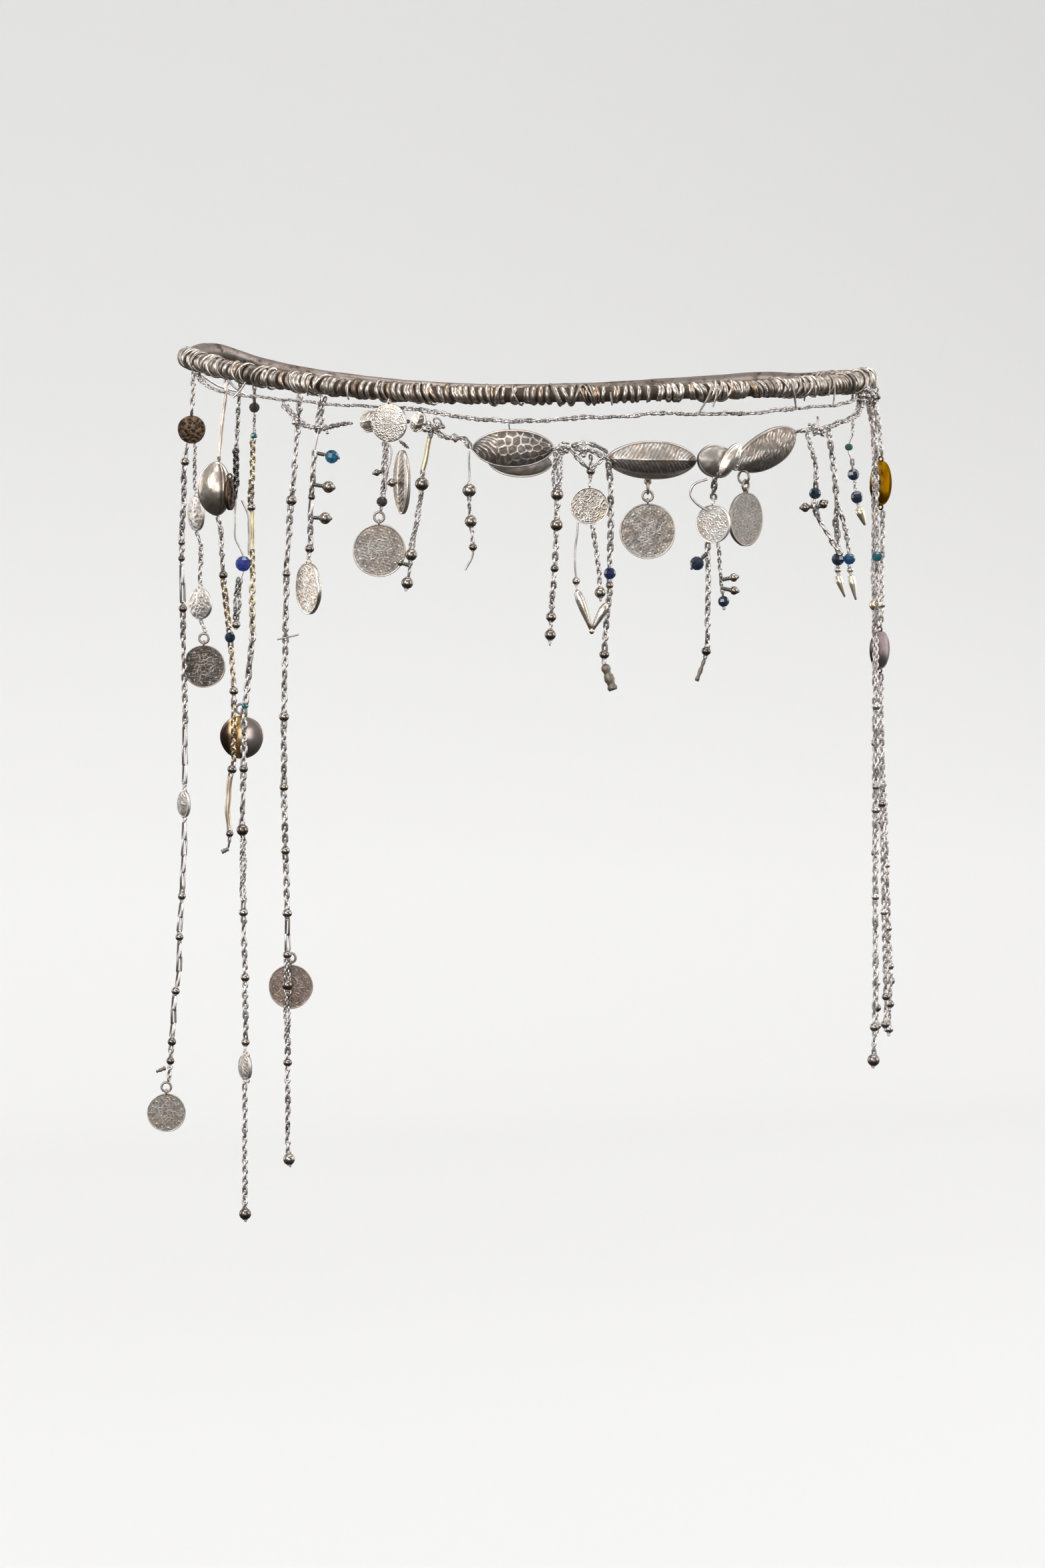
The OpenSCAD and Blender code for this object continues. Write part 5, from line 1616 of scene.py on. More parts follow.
    def winding(self) -> PathCloud:
        """The wound wire: turns that lean this way and that, doubled in places, and turns laid across.

        Returns:
            The paths of the wire.
        """
        rng, starts = self.rng, self.starts
        cloud = PathCloud()
        marks = np.arange(0, len(starts) + 5, 5)
        leans = np.interp(np.arange(len(starts)), marks, rng.uniform(*self.lean, len(marks)))
        leans = leans + rng.normal(0, self.lean_spread, len(starts))
        moods = np.interp(np.arange(len(starts)), marks * 0.8, rng.uniform(*self.mood, len(marks)))
        path, girths, tints, shines = [], [], [], []
        for k in range(len(starts) - 1):
            wide = starts[k + 1] - starts[k]
            doubled = rng.random() < self.doubled_share and wide > self.doubled_from
            heft = rng.uniform(*(self.doubled_heft if doubled else self.heft))
            proud, shade = rng.uniform(*self.proud), float(np.clip(rng.normal(0.46, 0.06), 0.3, 0.54))
            here = float(np.interp(starts[k], self.run, self.angles))
            rosy = self.rosy_share[0 if self.rosy[0] < here < self.rosy[1] else 1]
            shade = shade if rng.random() > rosy else rng.uniform(*self.rosy_tint)
            rubbed = rng.uniform(*(self.rubbed if rng.random() < 0.8 else self.dulled))
            # Painted light: the lit table brightens turns at the front of the hoop; moods and rubbed vary them at
            # random.
            brightness = min(1.0, float(np.interp(here, *self.lit)) * moods[k] * rubbed)
            swell = self.swell(here) * rng.uniform(0.7, 1.2)
            mate = []
            for j in range(self.turn_points):
                t = j / self.turn_points
                w = TAU * t
                s = starts[k] + (t - 0.05 * math.sin(2 * w)) * wide
                s += (leans[k] * (1 - t) + leans[k + 1] * t) * math.sin(w)
                r = self.sunk_r + proud * math.sin(w / 2) + swell * max(0.0, math.sin(w))
                path.append(self.on_band(s, w, r))
                girths.append(self.wire_r * heft)
                tints.append(shade)
                # Painted highlight: each turn is brighter at the front of the band and darker round the rest of the
                # turn.
                front = math.exp(-(((w - math.pi) / 1.0) ** 2)) + 0.25 * rng.random()
                shines.append(brightness * min(1.0, 0.3 + 0.8 * front))
                if 1 < j < self.turn_points - 1:
                    mate.append(self.on_band(s + self.wire_r + 0.1 * math.sin(w * 1.5 + k), w, r + 0.12))
            if doubled:
                # Painted highlight: the doubled wire is brightest in its middle, at the front of the band.
                off = np.arange(len(mate)) / len(mate) - 0.5
                glints = np.minimum(1.0, 0.25 + 0.8 * np.exp(-((off * 5.0) ** 2)))
                cloud.wire(mate, self.wire_r * rng.uniform(*self.mate_heft), shade, shine=glints)
        cloud.wire(path, girths, tints, shine=shines)
        self.lay_across(cloud)
        return cloud

    def lay_across(self, cloud: PathCloud) -> None:
        """Adds the turns of wire that lie across the others."""
        rng = self.rng
        left = self.crossings - len(self.crossed) - self.front_crossings
        spots = [*self.crossed, *rng.uniform(-104, -36, left), *rng.uniform(-36, 60, self.front_crossings)]
        for angle in spots:
            s0 = float(np.interp(angle, self.angles, self.run))
            reach = rng.uniform(*self.cross_reach) * (1 if rng.random() < 0.6 else -1)
            thin = rng.uniform(*self.cross_r)
            first, last = rng.uniform(0.1, 0.5) * math.pi, rng.uniform(1.5, 2.1) * math.pi
            bow = rng.uniform(*self.cross_bow)
            path = []
            for j in range(self.cross_steps + 1):
                t = j / self.cross_steps
                w = first + (last - first) * t
                swell = self.swell(angle) * max(0.0, math.sin(w))
                r = self.sunk_r + swell + self.wire_r * 0.95 + thin * (0.55 if 0 < t < 1 else -1.2)
                path.append(self.on_band(s0 + reach * (t - 0.5) + bow * math.sin(math.pi * t), w, r))
            cloud.wire(path, thin, 0.48, shine=rng.uniform(0.3, 1.0))

    def loose_ends(self) -> PathCloud:
        """The cut ends and small hooks of wire that stick out under the winding.

        Returns:
            The paths of the wire.
        """
        cloud = PathCloud()
        for angle, rows, drift in self.hooks:
            along = HOOP.along(angle)
            base = HOOP.point(angle)
            path = []
            for k, (out, drop) in enumerate(rows):
                p = base + out * HOOP.outward(angle) + drift * (k / max(1, len(rows) - 1)) * along
                path.append(np.array([p[0], p[1], base[2] + drop]))
            fine = softened(evened(np.array(path), 0.35)[0], 2)
            cloud.wire(list(fine), list(np.linspace(0.34, 0.2, len(fine))), 0.4, shine=0.5)
        return cloud


# ---------------------------------------------------------------- chains along the hoop


@dataclass
class SideChains:
    """The fine upper chain and the heavier chain that carries the plaques.

    A place is [hoop angle, outward, height], and a stretch of the upper chain is [first and last hoop
    angle, half width, strands, links].
    """

    upper: tuple[Place, ...] = (
        (-92, 0.6, 1), (-88, 1.9, -0.2), (-84, 2.4, -1.6), (-79, 2.4, -3), (-73, 2.4, -3.6),
        (-67, 2.4, -4), (-60, 2.4, -4.7), (-54, 2.2, -5.3), (-50, 1.5, -5.7), (-47, 0.8, -5.8),
        (-44, 0.8, -5.9), (-41, 0.8, -6.1), (-38, 1, -6.4), (-35, 2, -7.3), (-31, 2, -8.1),
        (-28, 2, -8.5), (-24, 2, -9.1), (-18, 2, -8.6), (-10, 2, -8), (-5, 2, -7.7), (-1, 2, -7.2),
        (4, 2, -7.2), (9, 2, -7.5), (17, 2, -7.2), (26, 2, -6.4), (34, 2, -6), (42, 2, -5.4),
        (45.5, 1.4, -4.7), (47.5, 0.5, -3.55),
    )
    stretches: tuple[tuple[float, float, float, int, Link], ...] = (
        (-92, -84, 0.56, 1, Link.CABLE), (-84, -41, 0.5, 2, Link.FINE),
        (-41, 26, 0.48, 1, Link.FINE), (26, 99, 0.52, 2, Link.FINE),
    )
    swag_left: tuple[Place, ...] = (
        (-62.6, 2.4, -5.8), (-61, 2.4, -7.8), (-59, 2.4, -10), (-56.5, 2.4, -10.9), (-53, 2, -10.5),
        (-50.2, 1.4, -9.6),
    )
    swag_disc: tuple[Place, ...] = ((-44.6, 0.3, -9.3), (-43, 0.3, -9.3), (-40.4, 0.6, -9.3))
    to_leaf_1: tuple[Place, ...] = (
        (-36.6, 0.9, -9.9), (-35.2, 0.9, -12.2), (-33.4, 0.9, -13), (-31.2, 0.9, -12.9)
    )
    middle: tuple[Place, ...] = ((-16.2, 0.9, -15.3), (-13.5, 0.9, -15.3), (-10.5, 0.9, -15.9))
    grey: tuple[Place, ...] = ((7.4, 0.9, -18.3), (9.4, 0.9, -18.2))
    right: tuple[Place, ...] = (
        (31.9, 0.9, -11.4), (35.5, 0.9, -11), (39.1, 0.9, -10.3), (44.6, 0.9, -9.2), (48, 0.9, -8),
        (50, 0.9, -6), (50.8, 0.6, -3.3),
    )
    slings: tuple[tuple[Place, ...], ...] = (
        ((-14.6, 1.6, -15.2), (-13.8, 2.0, -16.8), (-12.8, 1.9, -18.4), (-11.9, 1.5, -19.6)),
        ((-9.0, 1.6, -16.2), (-9.6, 2.0, -17.6), (-10.6, 1.9, -18.9), (-11.3, 1.5, -19.7)),
        ((-14.2, 1.9, -14.6), (-12.6, 2.3, -13.6), (-10.6, 2.3, -14.4), (-8.9, 1.8, -15.9)),
        ((49.5, 1.6, -6.4), (51.4, 2.0, -3.4), (53.4, 1.8, -1.6), (56.4, 1.6, -3.0)),
        ((52.0, 2.2, -6.2), (54.0, 2.4, -4.0), (57.0, 2.2, -4.6), (59.0, 1.8, -6.4)),
    )
    seed: int = 21

    def rows(
        self, points: Sequence[np.ndarray], half: float, wave: float, rng: np.random.Generator
    ) -> np.ndarray:
        """A softened path with half widths and a small waver."""
        fine, at = evened(np.array([[*p, half] for p in points]), 0.5)
        fine = softened(fine, 3)
        start = rng.uniform(0, ANY_TURN, 2)
        ends = np.clip(np.minimum(at, at[-1] - at) / 2.0, 0, 1)
        fine[:, 2] += wave * ends * (np.sin(at * 0.9 + start[0]) * 0.6 + np.sin(at * 0.37 + start[1]))
        return fine

    def upper_links(self) -> PathCloud:
        """The fine chain: small links, heavier on the left and two strands on the right.

        Returns:
            Its links.
        """
        rng = np.random.default_rng(self.seed)
        cloud = PathCloud()
        for first, last, half, strands, link in self.stretches:
            points = [HOOP.beside(*row) for row in self.upper if first <= row[0] <= last]
            lay_links(cloud, self.rows(points, half, 0.12, rng), link, 0.48, strands, rng)
        return cloud

    def swag_links(self, tips: dict[str, tuple[np.ndarray, np.ndarray]]) -> PathCloud:
        """The heavier chain between the plaques.

        Args:
            tips: Left and right tips of each plaque by name.

        Returns:
            Its links.
        """
        rng = np.random.default_rng(self.seed + 1)
        cloud = PathCloud()
        first, second, third = tips["leaf_1"], tips["leaf_2"], tips["leaf_3"]
        stretches: list[list[np.ndarray]] = [
            [HOOP.beside(*r) for r in self.swag_left],
            [HOOP.beside(*r) for r in self.swag_disc],
            [HOOP.beside(*r) for r in self.to_leaf_1] + [first[0]],
            [first[1]] + [HOOP.beside(*r) for r in self.middle] + [second[0]],
            [second[1]] + [HOOP.beside(*r) for r in self.grey] + [third[0]],
            [third[1]] + [HOOP.beside(*r) for r in self.right],
        ]
        for points in stretches:
            rows = self.rows(points, 0.72, 0.1, rng)
            lay_links(cloud, rows, Link.CABLE, 0.54, 2 if len(points) > 4 else 1, rng)
        for sling in self.slings:
            rows = self.rows([HOOP.beside(*r) for r in sling], 0.5, 0.05, rng)
            lay_links(cloud, rows, Link.FINE, 0.5, 1, rng)
        hook = np.array([stretches[0][0] + np.array([-0.3, 0, 1.0]), stretches[0][0], stretches[0][1]])
        cloud.wire(list(softened(evened(hook, 0.3)[0], 2)), 0.3, 0.4)
        return cloud


# ---------------------------------------------------------------- struck and beaten plates


def placement(origin: np.ndarray, yaw: float, roll: float = 0.0) -> Matrix:
    """The turn and place of a plate whose face looks to -Y."""
    turn = Matrix.Rotation(math.radians(yaw), 4, "Z") @ Matrix.Rotation(math.radians(-roll), 4, "Y")
    return Matrix.Translation(Vector(origin)) @ turn


def moved(points: np.ndarray, matrix: Matrix) -> np.ndarray:
    """Points carried by a matrix."""
    m = np.array(matrix)
    return points @ m[:3, :3].T + m[:3, 3]


@dataclass
class Ripple:
    """Smooth random waves over a plate, from a fixed seed."""

    seed: int
    size: float
    count: int = 14

    def at(self, x: np.ndarray, z: np.ndarray) -> np.ndarray:
        """The waves' height, mostly within -1 and 1."""
        rng = np.random.default_rng(self.seed)
        out = np.zeros_like(x)
        for _ in range(self.count):
            w = rng.uniform(0, TAU)
            k = TAU / self.size * rng.uniform(0.5, 1.6)
            out = out + np.sin(k * (x * math.cos(w) + z * math.sin(w)) + rng.uniform(0, ANY_TURN))
        return out / math.sqrt(self.count)


class Motif(Enum):
    """What is struck on a coin's face."""

    SCROLL = "scroll"
    STAR = "star"
    CRESCENTS = "crescents"
    BEATEN = "beaten"
    FINE_NET = "fine net"
    PLAIN = "plain"


# for each struck motif: its strokes, its small stars, half a stroke's width, and how far the strokes reach
STRUCK = {
    Motif.SCROLL: (24, 15, 0.028, 0.46),
    Motif.STAR: (64, 20, 0.04, 0.72),
    Motif.CRESCENTS: (36, 13, 0.04, 0.56),
}


@dataclass
class Relief:
    """Height of a coin's face between 0 and 1, over places given in coin radii."""

    motif: Motif
    seed: int
    wear: float = 0.3
    curls: int = 340
    blows: int = 100
    dots: int = 58

    def arc(
        self,
        x: np.ndarray,
        z: np.ndarray,
        cx: float,
        cz: float,
        r: float,
        start: float,
        sweep: float,
        wide: float,
    ) -> np.ndarray:
        """A raised arc stroke.

        Args:
            x: Sideways places.
            z: Upward places.
            cx: The arc's middle, sideways.
            cz: The arc's middle, upwards.
            r: Its radius.
            start: Its first angle.
            sweep: How far it turns.
            wide: Half its width.

        Returns:
            Height from 0 to 1.
        """
        w = np.mod(np.arctan2(z - cz, x - cx) - start, TAU)
        off = np.abs(np.hypot(x - cx, z - cz) - r)
        past = np.where(w <= sweep, 0.0, np.minimum(w - sweep, TAU - w) * r)
        taper = wide * (0.55 + 0.45 * np.sin(np.clip(w / max(sweep, 0.01), 0, 1) * math.pi))
        return np.clip(1.4 * (1 - np.hypot(off, past) / taper), 0, 1)

    def field(self, x: np.ndarray, z: np.ndarray) -> np.ndarray:
        """The motif inside the rim."""
        rng = np.random.default_rng(self.seed)
        r = np.hypot(x, z)
        out = np.zeros_like(x)
        if self.motif in STRUCK:
            strokes, marks, wide, reach = STRUCK[self.motif]
            for k in range(strokes):
                a, d = k * GOLDEN_TURN, reach * math.sqrt((k + 0.3) / strokes)
                size = rng.uniform(0.09, 0.5)
                turn = rng.uniform(0, TAU)
                sweep = min(4.0, rng.uniform(0.14, 0.36) / size)
                cx, cz = d * math.cos(a) - size * math.cos(turn), d * math.sin(a) - size * math.sin(turn)
                stroke = self.arc(x, z, cx, cz, size, turn - sweep / 2, sweep, wide * rng.uniform(0.8, 1.2))
                out = np.maximum(out, stroke * rng.uniform(0.45, 0.9))
            for k in range(marks):
                a = (k + 0.5) * TAU / marks
                cx, cz = 0.79 * math.cos(a), 0.79 * math.sin(a)
                off = np.hypot(x - cx, z - cz)
                arms = 0.55 + 0.45 * np.cos(5 * np.arctan2(z - cz, x - cx))
                out = np.maximum(out, np.clip(1.6 * (1 - off / (0.075 * (0.45 + 0.55 * arms))), 0, 1))
        if self.motif is Motif.FINE_NET:
            for k in range(self.curls):
                a, d = k * GOLDEN_TURN, 0.97 * math.sqrt((k + 0.5) / self.curls)
                size, turn, sweep = rng.uniform(0.03, 0.055), rng.uniform(0, ANY_TURN), rng.uniform(2.5, 5.0)
                stroke = self.arc(x, z, d * math.cos(a), d * math.sin(a), size, turn, sweep, 0.024)
                out = np.maximum(out, stroke * rng.uniform(0.6, 1.0))
        if self.motif is Motif.BEATEN:
            out = np.full_like(x, 0.9)
            for _ in range(self.blows):
                a, d = rng.uniform(0, TAU), 0.95 * math.sqrt(rng.uniform(0, 1))
                s = rng.uniform(0.035, 0.1)
                off = np.hypot(x - d * math.cos(a), z - d * math.sin(a)) / s
                out = out - 0.5 * np.exp(-(off**2))
            out = np.clip(out, 0, 1)
        return out

    def height(self, x: np.ndarray, z: np.ndarray) -> np.ndarray:
        """Rim, dots and motif together, worn unevenly."""
        r = np.hypot(x, z)
        inside = self.field(x, z)
        if self.motif in (Motif.BEATEN, Motif.FINE_NET):
            return np.maximum(inside, 0.25)
        if self.motif is Motif.PLAIN:
            return np.clip((r - 0.93) / 0.03, 0, 1) * 0.9
        inside = inside * (r < 0.87)
        w = np.arctan2(z, x)
        near = np.mod(w * self.dots / TAU, 1.0) - 0.5
        dots = np.clip(1.5 * (1 - np.hypot(r - 0.89, near * TAU / self.dots * 0.89) / 0.03), 0, 1) * 0.8
        rim = np.clip((r - 0.94) / 0.02, 0, 1)
        ground = 0.26 + 0.12 * Ripple(self.seed + 9, 0.16).at(x, z) + 0.16 * Ripple(self.seed + 4, 0.07).at(x, z)
        whole = np.maximum.reduce([inside, ground, dots, rim])
        worn = 0.95 - self.wear * (0.6 + 0.6 * Ripple(self.seed + 7, 0.5).at(x, z))
        return whole * np.clip(worn, 0.1, 1.0)


@dataclass
class Plate:
    """A round plate with relief, dished or flat, with loops at its edge."""

    name: str
    node: str
    angle: float
    forward: float
    across: float
    height: float
    radius: float
    yaw: float
    motif: Motif
    thick: float = 0.7
    bend: float = 0.0
    loops: tuple[float, ...] = (0.0,)
    slot: str = "silver"
    seed: int = 1
    relief_mm: float = 0.2
    spokes: int = 140
    rings: int = 46
    back_rings: int = 10
    edge_swell: float = 1.002
    loop_r: float = 0.57
    loop_wire: float = 0.23
    loop_rise: float = 0.45
    finish: Finish = Finish.BRIGHT

    @property
    def origin(self) -> np.ndarray:
        """The plate's middle."""
        return HOOP.place(self.angle, self.across, self.forward, self.height)

    @property
    def matrix(self) -> Matrix:
        """Its place and turn."""
        return placement(self.origin, self.yaw)

    def sag(self, r: np.ndarray) -> np.ndarray:
        """How far a domed plate falls back at a distance from its middle."""
        if not self.bend:
            return np.zeros_like(r)
        outer = self.radius * self.bend + self.thick
        return outer - np.sqrt(np.maximum(outer**2 - r**2, 0.0))

    def mesh(self) -> bpy.types.Mesh:
        """Builds the plate with its relief on both faces.

        Returns:
            The mesh, with a relief attribute.
        """
        rng = np.random.default_rng(self.seed)
        wobble = rng.uniform(0, ANY_TURN, 3)
        w = round_angles(self.spokes)
        edge = self.radius * (1 + 0.008 * np.sin(3 * w + wobble[0]) + 0.006 * np.sin(5 * w + wobble[1]))
        steps = np.linspace(0.0, 1.0, self.rings + 1)[1:]
        grid_r = np.outer(steps, edge)
        x, z = grid_r * np.cos(w), grid_r * np.sin(w)
        relief = Relief(self.motif, self.seed)
        face = relief.height(x / self.radius, z / self.radius)
        middle = relief.height(np.zeros(1), np.zeros(1))
        domed = bool(self.bend)
        front_0 = -self.thick if domed else -self.thick / 2
        fall = self.sag(grid_r)
        front = front_0 + fall - face * self.relief_mm
        behind = front_0 + self.thick + fall + (0.0 if domed else face[:, ::-1] * self.relief_mm * 0.6)
        wanted = {round(k * (self.rings - 1) / self.back_rings) for k in range(1, self.back_rings + 1)}
        back = sorted(wanted, reverse=True)
        n = self.spokes
        rows = [np.array([[0.0, front_0 - middle[0] * self.relief_mm, 0.0]])]
        values = [middle]
        for k in range(self.rings):
            rows.append(np.stack([x[k], front[k], z[k]], 1))
            values.append(face[k])
        rows.append(np.stack([x[-1] * self.edge_swell, (front[-1] + behind[-1]) / 2, z[-1] * self.edge_swell], 1))
        values.append(np.full(n, 0.8))
        for k in back:
            rows.append(np.stack([x[k], behind[k], z[k]], 1))
            values.append(face[k][::-1] * (0.4 if domed else 0.8))
        rows.append(np.array([[0.0, front_0 + self.thick, 0.0]]))
        values.append(middle * 0.5)
        points = np.vstack(rows)
        bands = self.rings + 1 + len(back)
        faces: Faces = []
        for j in range(n):
            faces.append((0, 1 + j, 1 + (j + 1) % n))
        for k in range(bands - 1):
            a = 1 + k * n
            for j in range(n):
                faces.append((a + j, a + n + j, a + n + (j + 1) % n, a + (j + 1) % n))
        last = 1 + (bands - 1) * n
        end = len(points) - 1
        for j in range(n):
            faces.append((last + j, end, last + (j + 1) % n))
        relief_values = np.concatenate(values)
        parts = [(points, faces)]
        loop_values = []
        for turn in self.loops:
            spin = np.array(Matrix.Rotation(math.radians(turn), 3, "Y"))
            rim_y = float(self.sag(np.array([self.radius]))[0]) + (-self.thick / 2 if domed else 0.0)
            centre = spin @ np.array([0.0, 0.0, self.radius + self.loop_rise]) + np.array([0.0, rim_y, 0.0])
            loop = ring_mesh(centre, np.array([1.0, 0.0, 0.0]), self.loop_r, self.loop_wire, 20)
            parts.append(loop)
            loop_values.append(np.full(len(loop[0]), 0.7))
        points, faces = stacked(parts)
        mesh = mesh_from(self.name, moved(points, self.matrix), faces)
        store(mesh, "relief", np.concatenate([relief_values, *loop_values]))
        # side: place across the plate, which a polished finish reads to paint a reflection
        store(mesh, "side", points[:, 0] / self.radius)
        return mesh


# name, node, hoop angle, forward, across, height, radius, yaw, motif, thickness, bend in radii
PLATES = (
    Plate("disc_far_left_worn", "disc_far_left", -96.4, 0, -0.7, -12.4, 3.4, -30, Motif.BEATEN, 0.6, 4,
        slot="dark_silver", seed=31, finish=Finish.BROWN_DISC),
    Plate("coin_left_worn", "coin_left", -96.4, -1.6, 2, -70.2, 5.2, -24, Motif.CRESCENTS, slot="dark_silver",
        seed=33, relief_mm=0.12, finish=Finish.DARK),
    Plate("mirror_disc_domed", "mirror_disc", -80.3, -1.6, 3, -85.7, 5.2, -22, Motif.PLAIN, 0.6, 1.8,
        slot="polished_silver", seed=34, relief_mm=0.06, finish=Finish.MIRROR),
    Plate("edge_disc_worn", "edge_disc", -76, -1.2, -2.3, -27.2, 3.8, 60, Motif.BEATEN, 0.6, 3,
        slot="dark_silver", seed=35, finish=Finish.BROWN_DISC),
    Plate("marquise_coin_struck", "marquise_coin", -56.1, 0, -3.5, -48.4, 6, -80, Motif.STAR, slot="silver",
        seed=36),
    Plate("filigree_disc_netted", "filigree_disc", -43.8, 3, 0, -9.5, 4.4, -40, Motif.FINE_NET, 0.6, 6,
        seed=37, spokes=180, rings=60),
    Plate("big_coin_struck", "big_coin", -43.8, 2, -2.4, -39, 6.1, -24, Motif.SCROLL, slot="dark_silver",
        seed=38, relief_mm=0.12, spokes=160, rings=54, finish=Finish.GREY),
    Plate("coin_a_struck", "coin_a", -11.5, 0.8, 0, -28.4, 4.3, -18, Motif.STAR, seed=39,
        relief_mm=0.26, finish=Finish.WORN),
    Plate("coin_b_struck", "coin_b", -1.9, 0.5, -0.1, -34.2, 6.4, -16, Motif.SCROLL, seed=40,
        relief_mm=0.1, spokes=160, rings=54, finish=Finish.GREY),
    Plate("coin_c_struck", "coin_c", 9.6, 1.4, 0.1, -32.7, 4.4, -50, Motif.STAR, seed=41,
        relief_mm=0.2, finish=Finish.WHITE_COIN),
    Plate("coin_d_struck", "coin_d", 15.9, -0.5, 0.2, -31.9, 6.2, 33, Motif.SCROLL, slot="dark_silver",
        seed=42, relief_mm=0.08, finish=Finish.PALE_COIN),
    Plate("coin_end_struck", "coin_end", -96.4, 0, -7.6, -179.8, 4.7, -18, Motif.SCROLL, slot="dark_silver",
        seed=43, relief_mm=0.1, finish=Finish.GREY),
    Plate("coin_behind_struck", "coin_behind", -60.8, -2.05, -2.8, -142.8, 5.2, -20, Motif.CRESCENTS,
        slot="dark_silver", seed=44, relief_mm=0.1, finish=Finish.BROWN_COIN),
    Plate("amber_disc_glossy", "amber_disc", 66, 0, 3.8, -25.4, 5.4, 42, Motif.PLAIN, 0.6, 3, (0.0, 180.0),
        "amber_gold", 45, 0.06, finish=Finish.AMBER),
    Plate("purple_disc_glossy", "purple_disc", 66, 0, 3.6, -66, 4.6, 40, Motif.PLAIN, 0.6, 3, (0.0, 180.0),
        "purple_metal", 46, 0.06, finish=Finish.PURPLE),
)
HAMMERED = (
    Plate("hammered_upper", "hammered_discs", -96.4, -1.6, 0, -32.9, 4.2, -80, Motif.BEATEN, 0.6, 3, seed=47),
    Plate("hammered_lower", "hammered_discs", -96.4, -1.6, 1, -54.9, 3.8, -62, Motif.BEATEN, 0.6, 3, seed=48),
)


class Veins(Enum):
    """How a plaque's face is chased."""

    MIDRIB = "midrib with slanted veins"
    NET = "net of cells"
    STRIATED = "fine lines"
    SMOOTH = "smooth"
    SLANTED = "slanted veins only"


@dataclass
class Plaque:
    """A hollow leaf-shaped plaque, puffed in front, with a rim and chased veins."""

    name: str
    node: str
    angle: float
    forward: float
    across: float
    height: float
    length: float
    width: float
    yaw: float
    roll: float
    veins: Veins
    pairs: int = 6
    bend: float = 1.1
    puff: float = 1.9
    blunt: float = 0.55
    thick: float = 0.6
    relief_mm: float = 0.24
    slot: str = "silver"
    seed: int = 1
    along: int = 84
    over: int = 36
    finish: Finish = Finish.BRIGHT

    @property
    def matrix(self) -> Matrix:
        """Its place and turn."""
        return placement(HOOP.place(self.angle, self.across, self.forward, self.height), self.yaw, self.roll)

    def tips(self, gap: float = 0.2) -> tuple[np.ndarray, np.ndarray]:
        """Places just beyond the left and the right tip."""
        reach = self.length / 2 + gap
        ends = moved(np.array([[-reach, 0.0, 0.0], [reach, 0.0, 0.0]]), self.matrix)
        return ends[0], ends[1]

    def chasing(self, x: np.ndarray, v: np.ndarray) -> np.ndarray:
        """Height of the veins between 0 and 1.

        Args:
            x: Places along the plaque in millimetres.
            v: Places across it, -1 to 1 from rim to rim.

        Returns:
            Height from 0 to 1.
        """
        z = v * self.width / 2
        step = 0.9 * self.length / max(1, self.pairs)
        wobble = 0.12 * Ripple(self.seed, 3.0).at(x, z)
        patchy = np.clip(0.6 + 0.4 * Ripple(self.seed + 5, 1.8).at(x, z), 0.0, 1.0)
        if self.veins is Veins.MIDRIB:
            rib = z - 0.02 * self.width + 0.015 * x
            slanted = x - np.abs(rib) * 0.62 + wobble
            near = np.abs(np.mod(slanted / step, 1.0) - 0.5) * step
            # Painted light and shade: the upper half is kept higher, and so brighter, than the lower half, as if lit
            # from above; a pale band along the lower edge is a painted highlight.
            deep = np.where(rib > 0, 0.5 + 0.4 * patchy, 0.15 + 0.4 * patchy) * (np.abs(v) < 0.92)
            out = np.clip(1.3 * (1 - near / 0.25), 0, 1) * deep
            out = np.maximum(out, np.where(rib > 0, 0.3 + 0.1 * patchy, 0.0))
            out = np.maximum(out, np.clip((-0.66 - v) / 0.1, 0, 1) * 0.7)
            return np.maximum(out, np.clip(1.5 * (1 - np.abs(rib) / 0.2), 0, 1))
        if self.veins is Veins.SLANTED:
            slanted = x - z * 0.75 - 0.1 * z * z + wobble * 3.0
            near = np.abs(np.mod(slanted / step, 1.0) - 0.5) * step
            broken = np.clip(0.6 + 0.6 * Ripple(self.seed + 8, 3.2).at(x, z), 0.25, 0.95)
            out = np.clip(1.4 * (1 - near / 0.34), 0, 1) * broken
            return np.maximum(out, 0.2 + 0.14 * patchy)
        if self.veins is Veins.NET:
            rng = np.random.default_rng(self.seed)
            grid = np.array([[2.0 * i + 1.0 * (j % 2), 1.75 * j] for i in range(-6, 7) for j in range(-3, 4)])
            seeds = grid + rng.normal(0, 0.36, grid.shape)
            d = np.sort(np.hypot(x[..., None] - seeds[:, 0], z[..., None] - seeds[:, 1]), axis=-1)
            cells = np.clip(1.4 * (1 - (d[..., 1] - d[..., 0]) / 0.42), 0, 1)
            fan = np.abs(np.mod((z * 0.8 + 0.9 * x + 0.12 * z * z + wobble * 1.5) / 1.3, 1.0) - 0.5) * 1.3
            lines = np.clip(1.4 * (1 - fan / 0.26), 0, 1)
            left = np.clip((-0.16 * self.length - x) / 0.8, 0, 1)
            return np.maximum((cells * (1 - left) + lines * left) * (0.5 + 0.45 * patchy), 0.12 + 0.14 * patchy)
        if self.veins is Veins.STRIATED:
            near = np.abs(np.mod(v * 7 + 0.35 * np.sin(x * 0.4) + wobble, 1.0) - 0.5) * 2
            lines = 0.42 + 0.25 * np.clip(1 - near * 2.2, 0, 1) * (v > -0.1)
            hollow = np.clip((-0.42 - v) / 0.1, 0, 1)
            edges = np.clip(1 - np.abs(v + 0.7) / 0.05, 0, 1) + np.clip(1 - np.abs(v + 0.86) / 0.05, 0, 1)
            return lines * (1 - hollow) + np.clip(edges, 0, 1) * hollow * 0.8
        return np.full_like(x, 0.45)

